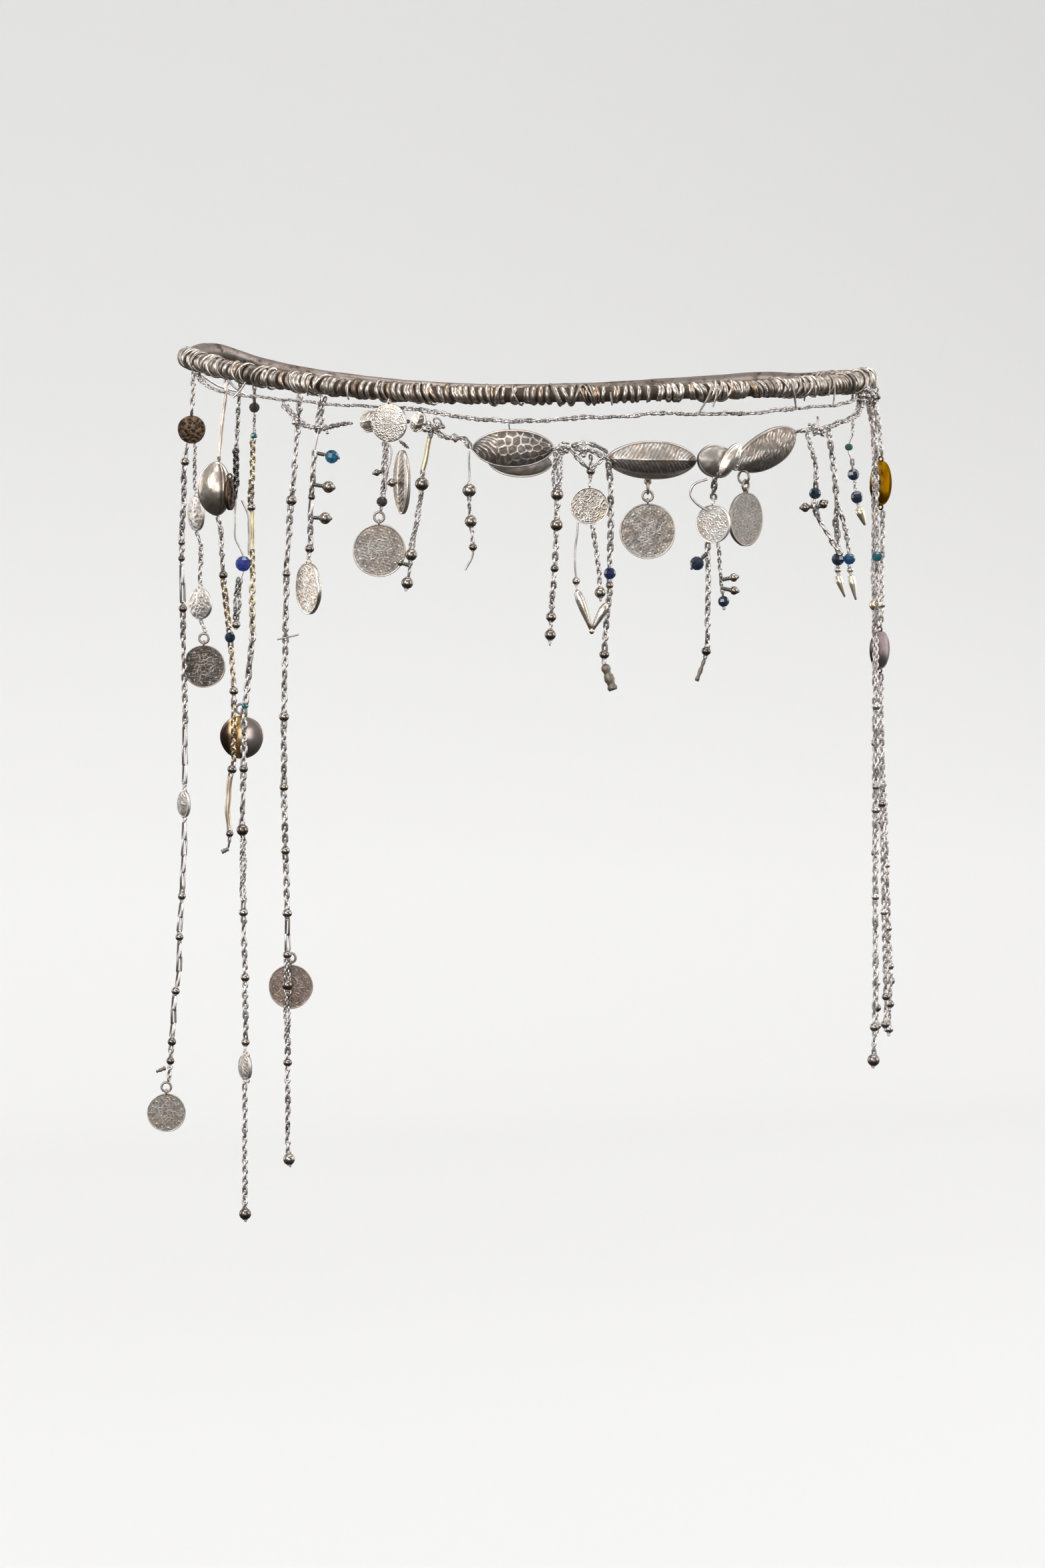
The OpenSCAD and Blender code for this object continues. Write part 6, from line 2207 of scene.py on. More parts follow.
    def mesh(self) -> bpy.types.Mesh:
        """Builds the plaque as a closed shell.

        Returns:
            The mesh, with a relief attribute.
        """
        side_r = (self.length**2 + self.width**2) / (4 * self.width)
        u = np.sin(np.linspace(-math.pi / 2, math.pi / 2, self.along)) * 0.998
        v = np.sin(np.linspace(-math.pi / 2, math.pi / 2, self.over))
        x = self.length / 2 * u
        half = np.sqrt(side_r**2 - x**2) - (side_r - self.width / 2)
        blunt = self.width / 2 * np.sqrt(np.clip(1 - np.abs(u) ** 2.6, 0, 1)) * 0.98
        half = np.maximum(half * (1 - self.blunt) + blunt * self.blunt, 0.05)
        gx, gv = np.meshgrid(x, v, indexing="ij")
        gz = gv * half[:, None]
        bend_r = self.length * self.bend
        fall = bend_r + self.thick - np.sqrt(np.maximum((bend_r + self.thick) ** 2 - gx**2 - gz**2, 0.01))
        ends = np.clip(half[:, None] / (self.width / 2), 0, 1) ** 0.8
        crown = self.puff * np.clip(1 - np.abs(gv) ** 1.7, 0, 1) ** 0.85 * ends
        chase = self.chasing(gx, gv)
        edge = (1 - np.abs(gv)) * half[:, None]
        rim = np.clip(1.4 - edge / 0.34, 0, 1)
        tipped = np.clip(1.3 - (1 - np.abs(u))[:, None] * self.length / 2 / 0.5, 0, 1)
        inner = np.clip((edge - 0.3) / 0.3, 0, 1)
        relief = np.maximum.reduce([chase * inner, rim, np.broadcast_to(tipped, rim.shape)])
        dents = 0.03 * Ripple(self.seed + 3, 2.6).at(gx, gz)
        front = -self.thick + fall - crown - relief * self.relief_mm + dents * inner
        behind = fall - crown * 0.92
        rows_f = np.stack([gx, front, gz], -1).reshape(-1, 3)
        rows_b = np.stack([gx, behind, gz], -1).reshape(-1, 3)
        n, m = self.along, self.over
        size = n * m
        faces: Faces = []
        for i in range(n - 1):
            for j in range(m - 1):
                a, b, c, d = i * m + j, (i + 1) * m + j, (i + 1) * m + j + 1, i * m + j + 1
                faces.append((a, b, c, d))
                faces.append((size + d, size + c, size + b, size + a))
        border = [i * m for i in range(n)] + [(n - 1) * m + j for j in range(1, m)]
        border += [i * m + m - 1 for i in range(n - 2, -1, -1)] + [j for j in range(m - 2, 0, -1)]
        for a, b in zip(border, border[1:] + border[:1]):
            faces.append((b, a, size + a, size + b))
        points = np.vstack([rows_f, rows_b])
        mesh = mesh_from(self.name, moved(points, self.matrix), faces)
        store(mesh, "relief", np.concatenate([relief.ravel(), np.full(size, 0.15)]))
        return mesh


# name, node, hoop angle, forward, across, height, length, width, yaw, roll, veins, how many of them
LEAF_1 = Plaque("leaf_1_net", "leaf_1", -23.7, 0.9, 0, -15.2, 19, 8.9, -24, 0, Veins.NET, 4, puff=1.2, seed=51,
    along=150, over=56, finish=Finish.LEAF)
LEAF_2 = Plaque("leaf_2_veined", "leaf_2", -1, 0.9, 0, -17.9, 21.6, 8.9, -4, -1, Veins.MIDRIB, 21,
    slot="dark_silver", seed=52, relief_mm=0.2, along=150, over=52, finish=Finish.LEAF)
LEAF_3 = Plaque("leaf_3_veined", "leaf_3", 20.9, 1.2, 0, -15.8, 18, 8.5, 8, 27, Veins.SLANTED, 15, seed=53,
    relief_mm=0.18, along=140, over=50, finish=Finish.LEAF)
PLAQUES = (
    LEAF_1,
    Plaque("leaf_1_back_worn", "leaf_1_back", -21.6, -1.4, -1.5, -18.4, 15, 7, -22, -3, Veins.SMOOTH, 6,
        puff=0.5, slot="dark_silver", seed=54, finish=Finish.GREY),
    LEAF_2, LEAF_3,
    Plaque("grey_leaf_curled", "grey_leaf", 10.2, 4.1, 0, -18.3, 9.6, 7.6, 10, -12, Veins.SMOOTH, 9, bend=1.2,
        puff=0.9, slot="dark_silver", seed=55, finish=Finish.GREY),
    Plaque("folded_leaf_bright", "folded_leaf", 13.6, 7, -1.2, -17.9, 9, 3.8, 2, 56, Veins.SMOOTH, bend=2,
        puff=1.1, slot="polished_silver", seed=56),
    Plaque("hanging_leaf_side", "hanging_leaf", -43.8, 1.5, 3, -23.2, 14.8, 8.4, -82, 90, Veins.MIDRIB, 12,
        bend=5.0, puff=0.5, seed=57),
    Plaque("domed_leaf_glossy", "domed_leaf", -80.3, 3, -3.2, -26, 13, 8.2, -34, 90, Veins.STRIATED, bend=0.62,
        puff=0.5, slot="polished_silver", seed=58, finish=Finish.GLOSSY_LEAF),
)
SWAG_LEAVES = (
    Plaque("swag_leaf_left", "swag_leaves", -47.3, 1.4, 0, -9.3, 6, 5, -62, 8, Veins.MIDRIB, 7, puff=0.4,
        seed=59),
    Plaque("swag_leaf_right", "swag_leaves", -38.9, 2.3, 0, -9.3, 4.8, 3.6, -24, 70, Veins.MIDRIB, 3, puff=0.3,
        seed=60),
)


# ---------------------------------------------------------------- small fittings


@dataclass
class Turned:
    """A small turned or cast piece along a line: pairs of share of length and radius."""

    start: np.ndarray
    finish: np.ndarray
    profile: tuple[tuple[float, float], ...]
    sides: int = 16

    def parts(self) -> Shell:
        """Points and faces of the closed piece."""
        axis = self.finish - self.start
        axes = turned_to(axis, HOOP_FORWARD)
        w = round_angles(self.sides)
        points = [self.start + self.profile[0][0] * axis]
        for t, r in self.profile:
            middle = self.start + t * axis
            points.extend(middle + r * (math.cos(a) * axes[:, 1] + math.sin(a) * axes[:, 2]) for a in w)
        points.append(self.start + self.profile[-1][0] * axis)
        n, m = len(self.profile), self.sides
        faces: Faces = [(0, 1 + (j + 1) % m, 1 + j) for j in range(m)]
        for k in range(n - 1):
            a = 1 + k * m
            faces.extend((a + j, a + (j + 1) % m, a + m + (j + 1) % m, a + m + j) for j in range(m))
        last = 1 + (n - 1) * m
        faces.extend((last + j, last + (j + 1) % m, len(points) - 1) for j in range(m))
        return np.array(points), faces


def with_relief(name: str, points: np.ndarray, faces: Faces, high: float) -> bpy.types.Mesh:
    """A mesh whose relief attribute is the same everywhere."""
    mesh = mesh_from(name, points, faces)
    store(mesh, "relief", np.full(len(points), high))
    return mesh


@dataclass
class Fittings:
    """Rings, pins, end pieces, oval plates, knots and loose wire.

    A profile has rows of [share of length, girth], and a loose wire has its hoop angle, its radius and its
    places as [across, forward, height].
    """

    seed: int = 71
    ring_r: float = 1.16
    ring_wire: float = 0.3
    ring_rise: float = 1.65
    open_wire: float = 0.29
    coil_r: float = 0.3
    coil_pitch: float = 0.42
    ringed: tuple[str, ...] = (
        "coin_left", "big_coin", "coin_b", "coin_end", "mirror_disc", "coin_behind", "coin_d",
    )
    ribbed: tuple[tuple[float, float], ...] = (
        (0.0, 0.55), (0.08, 1.0), (0.2, 1.08), (0.3, 0.82), (0.36, 0.8), (0.44, 1.05), (0.6, 1.15),
        (0.72, 0.85), (0.8, 0.85), (0.9, 1.1), (1.0, 0.9),
    )
    tapering: tuple[tuple[float, float], ...] = (
        (0.0, 0.6), (0.05, 0.95), (0.12, 0.7), (0.18, 1.0), (0.35, 0.9), (0.6, 0.66), (0.85, 0.4),
        (0.97, 0.25), (1.0, 0.1),
    )

    loose: tuple[tuple[float, float, tuple[Place, ...]], ...] = (
        (-43.8, 0.2, ((-0.8, 3, -13.8), (0.7, 3.4, -15.2), (0.3, 3.2, -18.6), (-0.9, 3, -21.4), (-0.7, 2.8, -25))),
        (-96.4, 0.26, ((0.4, 1.2, 2.6), (2.6, 2.0, 0.2), (6.2, 2.4, -2.0), (10.6, 3.2, -3.2))),
        (-80.3, 0.3, ((-0.6, 1.8, 1.4), (1.4, 2.2, -1.4), (4.2, 2.6, -3.6), (6.6, 3.0, -4.4))),
        (-74, 0.26, ((0.6, 1.4, 0.6), (-1.4, 2.4, -2.4), (-3.2, 2.8, -4.2))),
        (
            9.6, 0.32,
            ((-1.4, 2.6, -22.4), (-4.6, 2.8, -23.4), (-5.6, 2.8, -25.8), (-4.0, 2.6, -28.0), (-1.4, 2.4, -29.6)),
        ),
    )

    def spike(
        self,
        angle: float,
        forward: float,
        start: tuple[float, float],
        finish: tuple[float, float],
        first: float,
        last: float,
        shape: tuple[tuple[float, float], ...],
    ) -> Shell:
        """A spike or bar between two places, [across, height] each, that thickens from first to last."""
        a = HOOP.place(angle, start[0], forward, start[1])
        b = HOOP.place(angle, finish[0], forward, finish[1])
        profile = tuple((t, r * (first if shape is self.tapering else first + t * (last - first))) for t, r in shape)
        return Turned(a, b, profile).parts()

    def ends(self) -> bpy.types.Mesh:
        """The bars, spikes and cones at the feet of the chains."""
        # hoop angle, forward, first and last [across, height], first and last girth, shape
        rows = (
            (-96.4, 0.9, (-7.7, -168.6), (-10, -169.6), 0.55, 0.3, self.ribbed),
            (-80.3, 0, (0, -112.4), (-1.7, -113.2), 0.45, 0.55, self.ribbed),
            (-8.7, -2, (-0.5, -64.9), (1.5, -70.8), 1.0, 1.1, self.ribbed),
            (9.6, 1.4, (-1.8, -63.8), (-3.7, -69), 0.42, 0.5, self.ribbed),
            (37.3, 0.8, (2.3, -45.9), (4, -51), 0.95, 0.4, self.tapering),
            (37.3, 0.8, (5.4, -45.9), (6.6, -51.7), 0.95, 0.4, self.tapering),
            (47.6, 0.8, (1.5, -30.4), (3, -34.6), 1.15, 0.2, self.tapering),
        )
        worn = []
        for shape, level in ((self.ribbed, 0.1), (self.tapering, 0.9)):
            points, faces = stacked(self.spike(*row) for row in rows if row[-1] is shape)
            worn.append(with_relief("chain_ends", points, faces, level))
        return joined(worn)

    def arrow(self) -> bpy.types.Mesh:
        """Two bright leaf spikes that meet in a point under the first coin."""
        blade = ((0.0, 0.25), (0.08, 0.8), (0.25, 1.1), (0.5, 0.95), (0.8, 0.6), (1.0, 0.4))
        tip = HOOP.place(-11.5, 0.5, 0.8, -57)
        parts = []
        for start, girth in (((-3, -47.5), 1.0), ((4, -50.6), 0.95)):
            top = HOOP.place(-11.5, start[0], 0.8, start[1])
            parts.append(Turned(top, tip, tuple((t, r * girth) for t, r in blade), 6).parts())
        knob = ((0.0, 0.2), (0.2, 0.55), (0.5, 0.65), (0.8, 0.5), (1.0, 0.15))
        parts.append(Turned(tip + np.array([0, 0, 0.6]), tip - np.array([0, 0, 0.75]), knob).parts())
        points, faces = stacked(parts)
        return with_relief("arrow_spikes", points, faces, 0.85)

    def rings(self) -> bpy.types.Mesh:
        """The jump rings that hold the coins and the open loops beside them."""
        parts = []
        for plate in PLATES:
            if plate.node in self.ringed:
                lift = np.array([0.0, 0.0, plate.radius + self.ring_rise])
                parts.append(ring_mesh(plate.origin + lift, facing(plate.yaw), self.ring_r, self.ring_wire))
        named = {p.node: p for p in PLATES}
        coin_b, coin_d = named["coin_b"], named["coin_d"]
        for centre, yaw, radius in (
            (coin_b.origin + np.array([0, 0, 10.0]), 74.0, 1.4),
            (coin_b.origin + np.array([0, 0, 11.4]), float(coin_b.yaw), 0.57),
            (coin_d.origin + np.array([-0.3, 0.5, 9.75]), 123.0, 1.5),
        ):
            parts.append(ring_mesh(centre, facing(yaw), radius, self.open_wire, 36))
        points, faces = stacked(parts)
        return with_relief("coin_rings", points, faces, 0.62)

    def pins(self) -> PathCloud:
        """The pins of the side beads, with a wrap of wire where each leaves its chain."""
        cloud = PathCloud()
        for pin in PINS:
            start, bead = pin.ends
            d = normalised(bead - start)
            tip = bead + d * (pin.radius + 0.05)
            cloud.wire([start + d * 0.2, bead, tip], 0.24, 0.3, shine=0.5)
            cap = [tip - d * 0.15, tip, tip + d * 0.15, tip + d * 0.25]
            cloud.wire(cap, [0.2, 0.36, 0.33, 0.1], 0.25)
            gap = float(np.linalg.norm(bead - start)) - pin.radius
            if gap > 0.8:
                axes = turned_to(d, np.array([0.0, 0.0, 1.0]))
                turns = gap / self.coil_pitch
                steps = int(turns * 8)
                coil = [
                    start + d * (gap * t + 0.1) + self.coil_r * (axes[:, 1] * math.cos(w) + axes[:, 2] * math.sin(w))
                    for t, w in zip(np.linspace(0, 0.97, steps), np.linspace(0, turns * TAU, steps))
                ]
                cloud.wire(coil, 0.21, 0.25, shine=0.55)
        middle = HOOP.place(-60.8, -3.1, 1.2, -60)
        d = HOOP_ACROSS * math.sin(math.radians(77)) + np.array([0, 0, math.cos(math.radians(77))])
        cloud.wire([middle - d * 2.6, middle, middle + d * 2.6], 0.2, 0.35)
        return cloud

    def ovals(self) -> bpy.types.Mesh:
        """The oval plates with a loop at each end."""
        meshes = []
        for k, (angle, across, forward, height, half_w, half_h, yaw) in enumerate(
            (
                (-96.4, -2.8, 0, -103.8, 2.0, 3.3, -60),
                (-71.9, -2.8, 0, -163.5, 1.9, 3.0, -70),
                (-71.9, -2.1, 1, -163.5, 1.7, 2.8, -70),
            )
        ):
            plate = Plaque(
                "oval", "oval_plates", angle, forward, across, height, 2 * half_h, 2 * half_w, yaw, 90,
                Veins.SLANTED, 5, bend=2.5, puff=0.35, seed=80 + k, along=70, over=30,
            )
            meshes.append(plate.mesh())
            for side in (-1, 1):
                centre = HOOP.place(angle, across, forward, height + side * (half_h + 0.27))
                p, f = ring_mesh(centre, facing(yaw), 0.57, 0.2, 18, 6)
                meshes.append(with_relief("loop", p, f, 0.6))
        return joined(meshes)

    def knots(self) -> tuple[PathCloud, PathCloud]:
        """Small tangles of wire and seed beads where chains meet on the swag.

        Returns:
            The beads and the wires.
        """
        rng = np.random.default_rng(self.seed)
        beads, wires = PathCloud(), PathCloud()
        # hoop angle, outward, height, share of the usual size
        spots = (
            (-36.9, 1.6, -10.4, 1.0), (-35.0, 1.6, -10.2, 0.8), (-32.6, 1.4, -13.0, 0.6),
            (-15.9, 1.4, -15.1, 1.0), (-12.6, 1.4, -15.4, 0.8), (9.4, 1.6, -18.3, 0.9),
            (31.6, 1.4, -11.4, 1.0), (33.2, 1.4, -12.0, 0.7), (50.6, 1.2, -5.0, 0.7),
            (-59.8, 2.6, -9.6, 0.5), (-54.5, 2.2, -10.9, 0.6), (51.6, 1.6, -3.6, 1.1), (54.6, 1.8, -4.6, 1.1),
            (57.6, 1.8, -3.8, 1.0), (61.0, 1.6, -4.2, 0.9), (50.4, 1.4, -2.7, 1.2), (53.4, 1.8, -2.6, 1.3),
            (56.2, 2.4, -3.2, 1.2),
        )
        for angle, out, height, heft in spots:
            centre = HOOP.beside(angle, out, height)
            for _ in range(int(4 + 4 * heft)):
                at = centre + rng.normal(0, 0.62 * heft, 3)
                r = rng.uniform(0.36, 0.7) * (0.7 + 0.4 * heft)
                axes = turned_to(rng.normal(0, 1, 3), HOOP_FORWARD)
                shade = rng.uniform(0.1, 0.4) if angle > 50 else rng.uniform(0.3, 0.55)
                beads.add(at, axes, (r, r, r * 0.85), tint=float(shade))
            for _ in range(int(3 + 3 * heft)):
                at = centre + rng.normal(0, 0.5 * heft, 3)
                axes = turned_to(rng.normal(0, 1, 3), HOOP_FORWARD)
                size = rng.uniform(0.5, 0.95)
                ring = circled(at, axes[:, 1], 0.8 * axes[:, 2], size, 12)
                wires.wire(ring, 0.2, 0.5, closed=True, shine=float(rng.uniform(0.4, 1.0)))
        return beads, wires

    def loose_wires(self) -> PathCloud:
        """Single wires that tie the plaques and chains to each other."""
        cloud = PathCloud()
        top = moved(np.array([[-0.6, -0.4, LEAF_1.width / 2 - 0.1]]), LEAF_1.matrix)[0]
        ties = [([HOOP.place(angle, *row) for row in rows], girth) for angle, girth, rows in self.loose]
        ties.insert(0, ([HOOP.beside(-24, 2, -9.1), HOOP.beside(-24, 2.2, -9.9), top], 0.17))
        third = [HOOP.beside(31.8, 1.4, -11.2), HOOP.beside(32.2, 1.6, -9.6), HOOP.beside(32.0, 1.6, -8.4)]
        ties.insert(2, (third, 0.3))
        for path, girth in ties:
            cloud.wire(list(softened(evened(np.array(path), 0.3)[0], 4)), girth, 0.48)
        return cloud


# ---------------------------------------------------------------- stage, lights and camera


@dataclass(frozen=True)
class Studio:
    """Pale paper sweep, soft lights and the camera at the photograph's angle, in metres.

    The shades of the paper are a row of depths and a row of values between 0 and 1.
    """

    target: tuple[float, float, float] = (-0.0006, 0.0, -0.1)
    distance: float = 1.451
    azimuth: float = -18.0
    elevation: float = 4.5
    lens: float = 202.5
    floor_z: float = -0.42
    half_width: float = 9.0
    front: float = -9.0
    bend_start: float = 1.6
    bend_r: float = 1.2
    bend_deg: float = 65.625
    bend_rows: int = 35
    paper_tone: RGB = (0.90, 0.90, 0.90)
    # painted light and shade: the paper's colour is graded by depth, so the floor and backdrop read brighter or
    # darker
    paper_shades: tuple[tuple[float, ...], tuple[float, ...]] = (
        (0.5, 1.2, 1.7, 2.05, 2.3, 2.5, 2.7),
        (0.755, 0.835, 0.93, 0.935, 0.875, 0.81, 0.76),
    )
    # painted light: the paper glows by itself far from the lamps
    far_glow: RGB = (0.42, 0.42, 0.42)
    surround: RGB = (0.83, 0.83, 0.83)
    room_low: float = 0.05
    room_high: float = 0.55

    def sweep(self) -> None:
        """Builds the floor and backdrop as one curved sheet of paper, low enough to look over from behind, with
        painted shade graded by depth and a painted glow far from the lamps.
        """
        near = [self.front + 0.5 * k for k in range(round((0.5 - self.front) / 0.5))]
        profile = [(y, self.floor_z) for y in (*near, 0.5, 0.85, 1.2, self.bend_start)]
        for k in range(1, self.bend_rows + 1):
            w = math.radians(self.bend_deg) * k / self.bend_rows
            rise = self.bend_r * (1 - math.cos(w))
            profile.append((self.bend_start + self.bend_r * math.sin(w), self.floor_z + rise))
        columns = np.linspace(-self.half_width, self.half_width, round(4 * self.half_width) + 1)
        points = [(float(x), y, z) for y, z in profile for x in columns]
        wide = len(columns)
        faces = [
            (k * wide + j, k * wide + j + 1, (k + 1) * wide + j + 1, (k + 1) * wide + j)
            for k in range(len(profile) - 1)
            for j in range(wide - 1)
        ]
        mesh = bpy.data.meshes.new("paper_sweep")
        mesh.from_pydata(points, [], faces)
        mesh.polygons.foreach_set("use_smooth", [True] * len(faces))
        pot = PaintPot("pale_paper")
        pot.set(
            Base_Color=pot.mix(pot.attribute("shade"), (0.0, 0.0, 0.0), self.paper_tone),
            Roughness=0.9,
            Specular_IOR_Level=0.1,
            # painted light: the paper glows more the further it lies from the lit middle
            Emission_Color=pot.mix(pot.attribute("far"), (0.0, 0.0, 0.0), self.far_glow),
            Emission_Strength=1.0,
        )
        # painted light and shade: the paper is made darker or paler by depth
        store(mesh, "shade", np.interp([p[1] for p in points], *self.paper_shades))
        aside = [math.hypot(max(abs(x - 0.5) - 1.0, 0.0), max(-y - 0.9, 0.0)) for x, y, _ in points]
        store(mesh, "far", np.clip(np.array(aside) / 2.0, 0.0, 1.0))
        mesh.materials.append(pot.material)
        sheet = bpy.data.objects.new("paper_sweep", mesh)
        bpy.context.scene.collection.objects.link(sheet)
        sheet.visible_glossy = False

    def softbox(
        self,
        name: str,
        place: tuple[float, float, float],
        size: tuple[float, float],
        glow: float,
        aim: tuple[float, float, float] | None = None,
    ) -> None:
        """Adds a soft rectangular light.

        Args:
            name: Its name.
            place: Where it stands, in metres.
            size: Its width and height.
            glow: How bright its face is, where 1 is white paper.
            aim: Where it looks, or None for the middle of the object.
        """
        data = bpy.data.lights.new(name, "AREA")
        data.shape = "RECTANGLE"
        data.size, data.size_y = size
        data.energy = glow * math.pi * size[0] * size[1]
        lamp = bpy.data.objects.new(name, data)
        lamp.location = place
        look = Vector(aim or self.target) - Vector(place)
        lamp.rotation_euler = look.to_track_quat("-Z", "Y").to_euler()
        bpy.context.scene.collection.objects.link(lamp)

    def lights(self) -> None:
        """Sets the softboxes: two sides, overhead, a broad one behind the camera, and the backdrop's."""
        self.softbox("key_left", (-1.45, -0.95, 0.75), (0.7, 1.3), 6.0)
        self.softbox("fill_right", (1.5, -0.95, 0.5), (0.6, 1.3), 4.5)
        self.softbox("overhead", (0.0, -0.35, 1.5), (1.3, 0.7), 4.2)
        self.softbox("front", (-0.75, -2.35, 0.25), (1.7, 1.2), 2.7)
        self.softbox("rear_left", (-1.5, 1.2, 0.25), (1.5, 1.3), 1.9)
        self.softbox("rear_right", (1.9, 0.5, 0.3), (1.4, 1.3), 1.9)
        self.softbox("backdrop_high", (1.15, 0.4, 2.6), (3.2, 1.0), 2.6, (1.2, 2.8, -0.1))
        self.softbox("backdrop_low", (0.9, 0.6, 1.7), (2.6, 0.6), 1.1, (0.95, 2.2, -0.2))

    def room(self) -> None:
        """A pale surround for the eye, and a dim room for what the metal mirrors."""
        world = bpy.data.worlds.new("room")
        world.use_nodes = True
        tree = world.node_tree
        tree.nodes.clear()
        coords, split, ramp, dim, pale, path, mix, out = (
            tree.nodes.new("ShaderNode" + kind)
            for kind in (
                "TexCoord", "SeparateXYZ", "MapRange", "Background", "Background", "LightPath", "MixShader",
                "OutputWorld",
            )
        )
        levels = {"From Min": -0.7, "From Max": 0.9, "To Min": self.room_low, "To Max": self.room_high}
        for key, value in levels.items():
            ramp.inputs[key].default_value = value
        dim.inputs[0].default_value = (1.0, 0.99, 0.97, 1.0)
        pale.inputs[0].default_value = (*self.surround, 1.0)
        for first, last in (
            (coords.outputs["Generated"], split.inputs[0]),
            (split.outputs[2], ramp.inputs["Value"]),
            (ramp.outputs[0], dim.inputs[1]),
            (path.outputs["Is Camera Ray"], mix.inputs[0]),
            (dim.outputs[0], mix.inputs[1]),
            (pale.outputs[0], mix.inputs[2]),
            (mix.outputs[0], out.inputs[0]),
        ):
            tree.links.new(first, last)
        bpy.context.scene.world = world
        bpy.context.scene.view_settings.view_transform = "Standard"

    def camera(self) -> None:
        """Stands the camera where the photograph was taken from."""
        a, e = math.radians(self.azimuth), math.radians(self.elevation)
        away = Vector((math.sin(a) * math.cos(e), -math.cos(a) * math.cos(e), math.sin(e)))
        data = bpy.data.cameras.new("camera")
        data.sensor_fit = "HORIZONTAL"
        data.sensor_width = 36.0
        data.lens = self.lens
        data.clip_start = 0.05
        data.clip_end = 30.0
        eye = bpy.data.objects.new("camera", data)
        eye.location = Vector(self.target) + away * self.distance
        eye.rotation_euler = (-away).to_track_quat("-Z", "Y").to_euler()
        bpy.context.scene.collection.objects.link(eye)
        bpy.context.scene.camera = eye


# ---------------------------------------------------------------- the whole


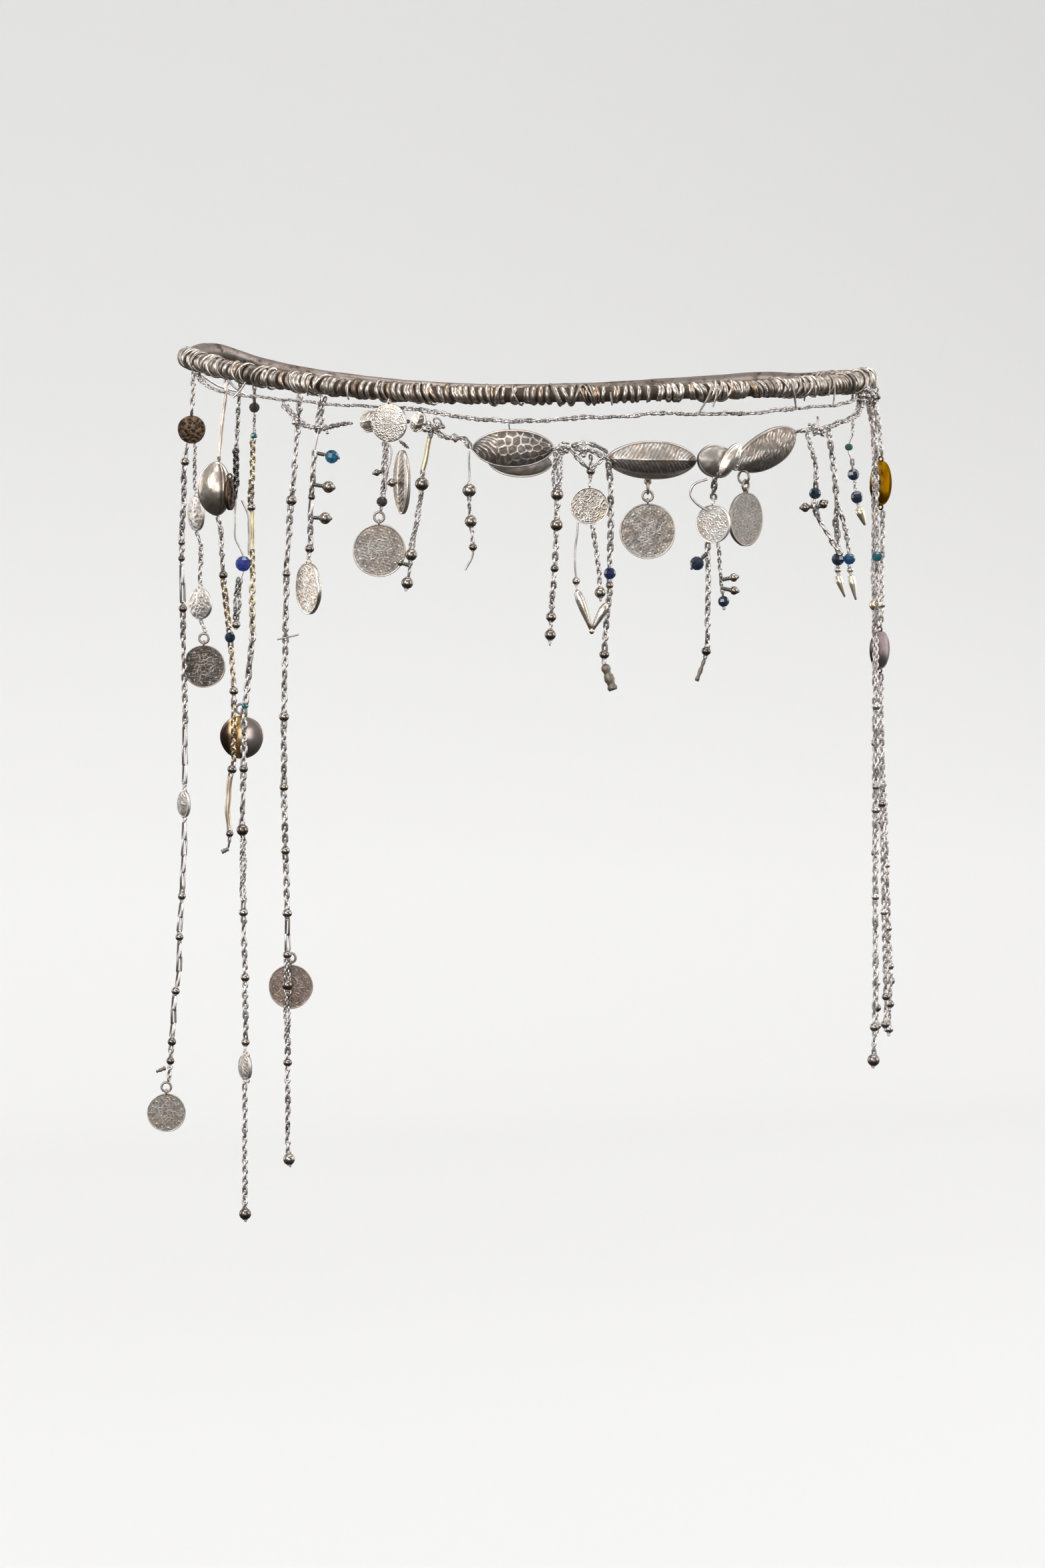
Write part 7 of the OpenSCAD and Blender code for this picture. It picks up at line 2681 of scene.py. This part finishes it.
@dataclass
class Headdress:
    """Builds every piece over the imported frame."""

    paint: dict[Finish, bpy.types.Material]
    links: NodeTree
    balls: NodeTree

    def linked(
        self, name: str, cloud: PathCloud, finish: Finish, nodes: Sequence[str], rod_sides: int = 8
    ) -> None:
        """Runs the chain tree over a cloud and settles the piece."""
        values = {"Link Steps": 10, "Wire Sides": 4, "Rod Sides": rod_sides, "Finish": self.paint[finish]}
        settle(name, self.links.run(name, cloud.mesh(), values), None, nodes)

    def hoop(self) -> None:
        """The hoop, its winding and the wire's loose ends."""
        wound = WoundHoop()
        settle("bare_hoop", wound.core(), self.paint[Finish.COPPER], ["hoop"])
        self.linked("wound_wire", wound.winding(), Finish.WINDING, ["wire_wrap"], 7)
        self.linked("wire_ends", wound.loose_ends(), Finish.WINDING, [], 6)

    def chains(self) -> None:
        """The hanging chains, one piece for each."""
        finish = {"silver": Finish.LINKS, "rose_gold": Finish.ROSE_LINKS, "dark_silver": Finish.DARK_LINKS}
        for number, chain in enumerate(LEFT_CHAINS + FRONT_CHAINS + RIGHT_CHAINS):
            cloud = PathCloud()
            chain.build(cloud, np.random.default_rng(100 + number))
            name = chain.node.replace("chain_", "links_")
            metal = Finish.PALE_LINKS if "right" in chain.node else finish[chain.slot]
            self.linked(name, cloud, metal, [chain.node])

    def side_chains(self) -> None:
        """The two chains along the hoop and the knots on them."""
        along = SideChains()
        tips = {"leaf_1": LEAF_1.tips(), "leaf_2": LEAF_2.tips(), "leaf_3": LEAF_3.tips()}
        self.linked("upper_links", along.upper_links(), Finish.LINKS, ["upper_chain"], 5)
        self.linked("swag_links", along.swag_links(tips), Finish.LINKS, ["swag_chain"])
        fittings = Fittings()
        beads, wires = fittings.knots()
        values = {"Segments": 12, "Rings": 8, "Smooth": True, "Finish": self.paint[Finish.LINKS]}
        settle("knot_beads", self.balls.run("knot_beads", beads.mesh(), values), None, [])
        self.linked("knot_wires", wires, Finish.LINKS, [], 5)
        self.linked("tie_wires", fittings.loose_wires(), Finish.LINKS, [], 6)

    def beads(self) -> None:
        """The drilled beads of metal and of glass."""
        groups = (
            ("metal_balls_left", LEFT_CHAINS, (), False, "metal_beads_left", Finish.BEADS),
            ("metal_balls_front", FRONT_CHAINS, PINS, False, "metal_beads_front", Finish.BEADS),
            ("metal_balls_right", RIGHT_CHAINS, (), False, "metal_beads_right", Finish.LINKS),
            ("glass_balls", LEFT_CHAINS + FRONT_CHAINS + RIGHT_CHAINS, PINS, True, "glass_beads", Finish.GLASS),
        )
        for number, (name, chains, pins, glass, node, finish) in enumerate(groups):
            made = Beads(chains, pins, glass, 9 if glass else 20, 6 if glass else 12, seed=5 + number)
            paint = self.paint[finish]
            settle(name, made.build(self.balls, self.links, paint), paint, [node])

    def plates(self) -> None:
        """The coins, discs and leaf plaques."""
        for plate in PLATES:
            settle(plate.name, plate.mesh(), self.paint[plate.finish], [plate.node])
        pair = joined([plate.mesh() for plate in HAMMERED])
        settle("hammered_pair", pair, self.paint[Finish.HAMMERED], ["hammered_discs"])
        for plaque in PLAQUES:
            settle(plaque.name, plaque.mesh(), self.paint[plaque.finish], [plaque.node])
        small = joined([plaque.mesh() for plaque in SWAG_LEAVES])
        settle("swag_leaf_pair", small, self.paint[Finish.WORN], ["swag_leaves"])

    def fittings(self) -> None:
        """Rings, pins, spikes and oval plates."""
        made = Fittings()
        settle("coin_rings", made.rings(), self.paint[Finish.DARK], ["jump_rings"])
        settle("chain_ends", made.ends(), self.paint[Finish.PALE_GILT], ["end_pieces"])
        settle("arrow_spikes", made.arrow(), self.paint[Finish.BRIGHT], ["arrow_pendant"])
        settle("oval_pair", made.ovals(), self.paint[Finish.HAMMERED], ["oval_plates"])
        self.linked("bead_pins", made.pins(), Finish.DARK_LINKS, ["side_pins"], 8)

    def build(self) -> None:
        """Builds all pieces in order."""
        self.hoop()
        self.side_chains()
        self.chains()
        self.beads()
        self.plates()
        self.fittings()


def main() -> None:
    """Loads the frame, sets up the studio, builds the pieces and logs the count of faces."""
    logging.basicConfig(level=logging.INFO, format="%(name)s: %(message)s")
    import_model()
    studio = Studio()
    studio.camera()
    studio.sweep()
    studio.lights()
    studio.room()
    paint = {kind: kind.value.material() for kind in Finish}
    Headdress(paint, chain_tree(), bead_tree()).build()
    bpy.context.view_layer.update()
    faces = sum(len(o.data.polygons) for o in bpy.context.scene.objects if o.type == "MESH")
    LOG.info("faces in all: %d", faces)


if __name__ == "__main__":
    main()
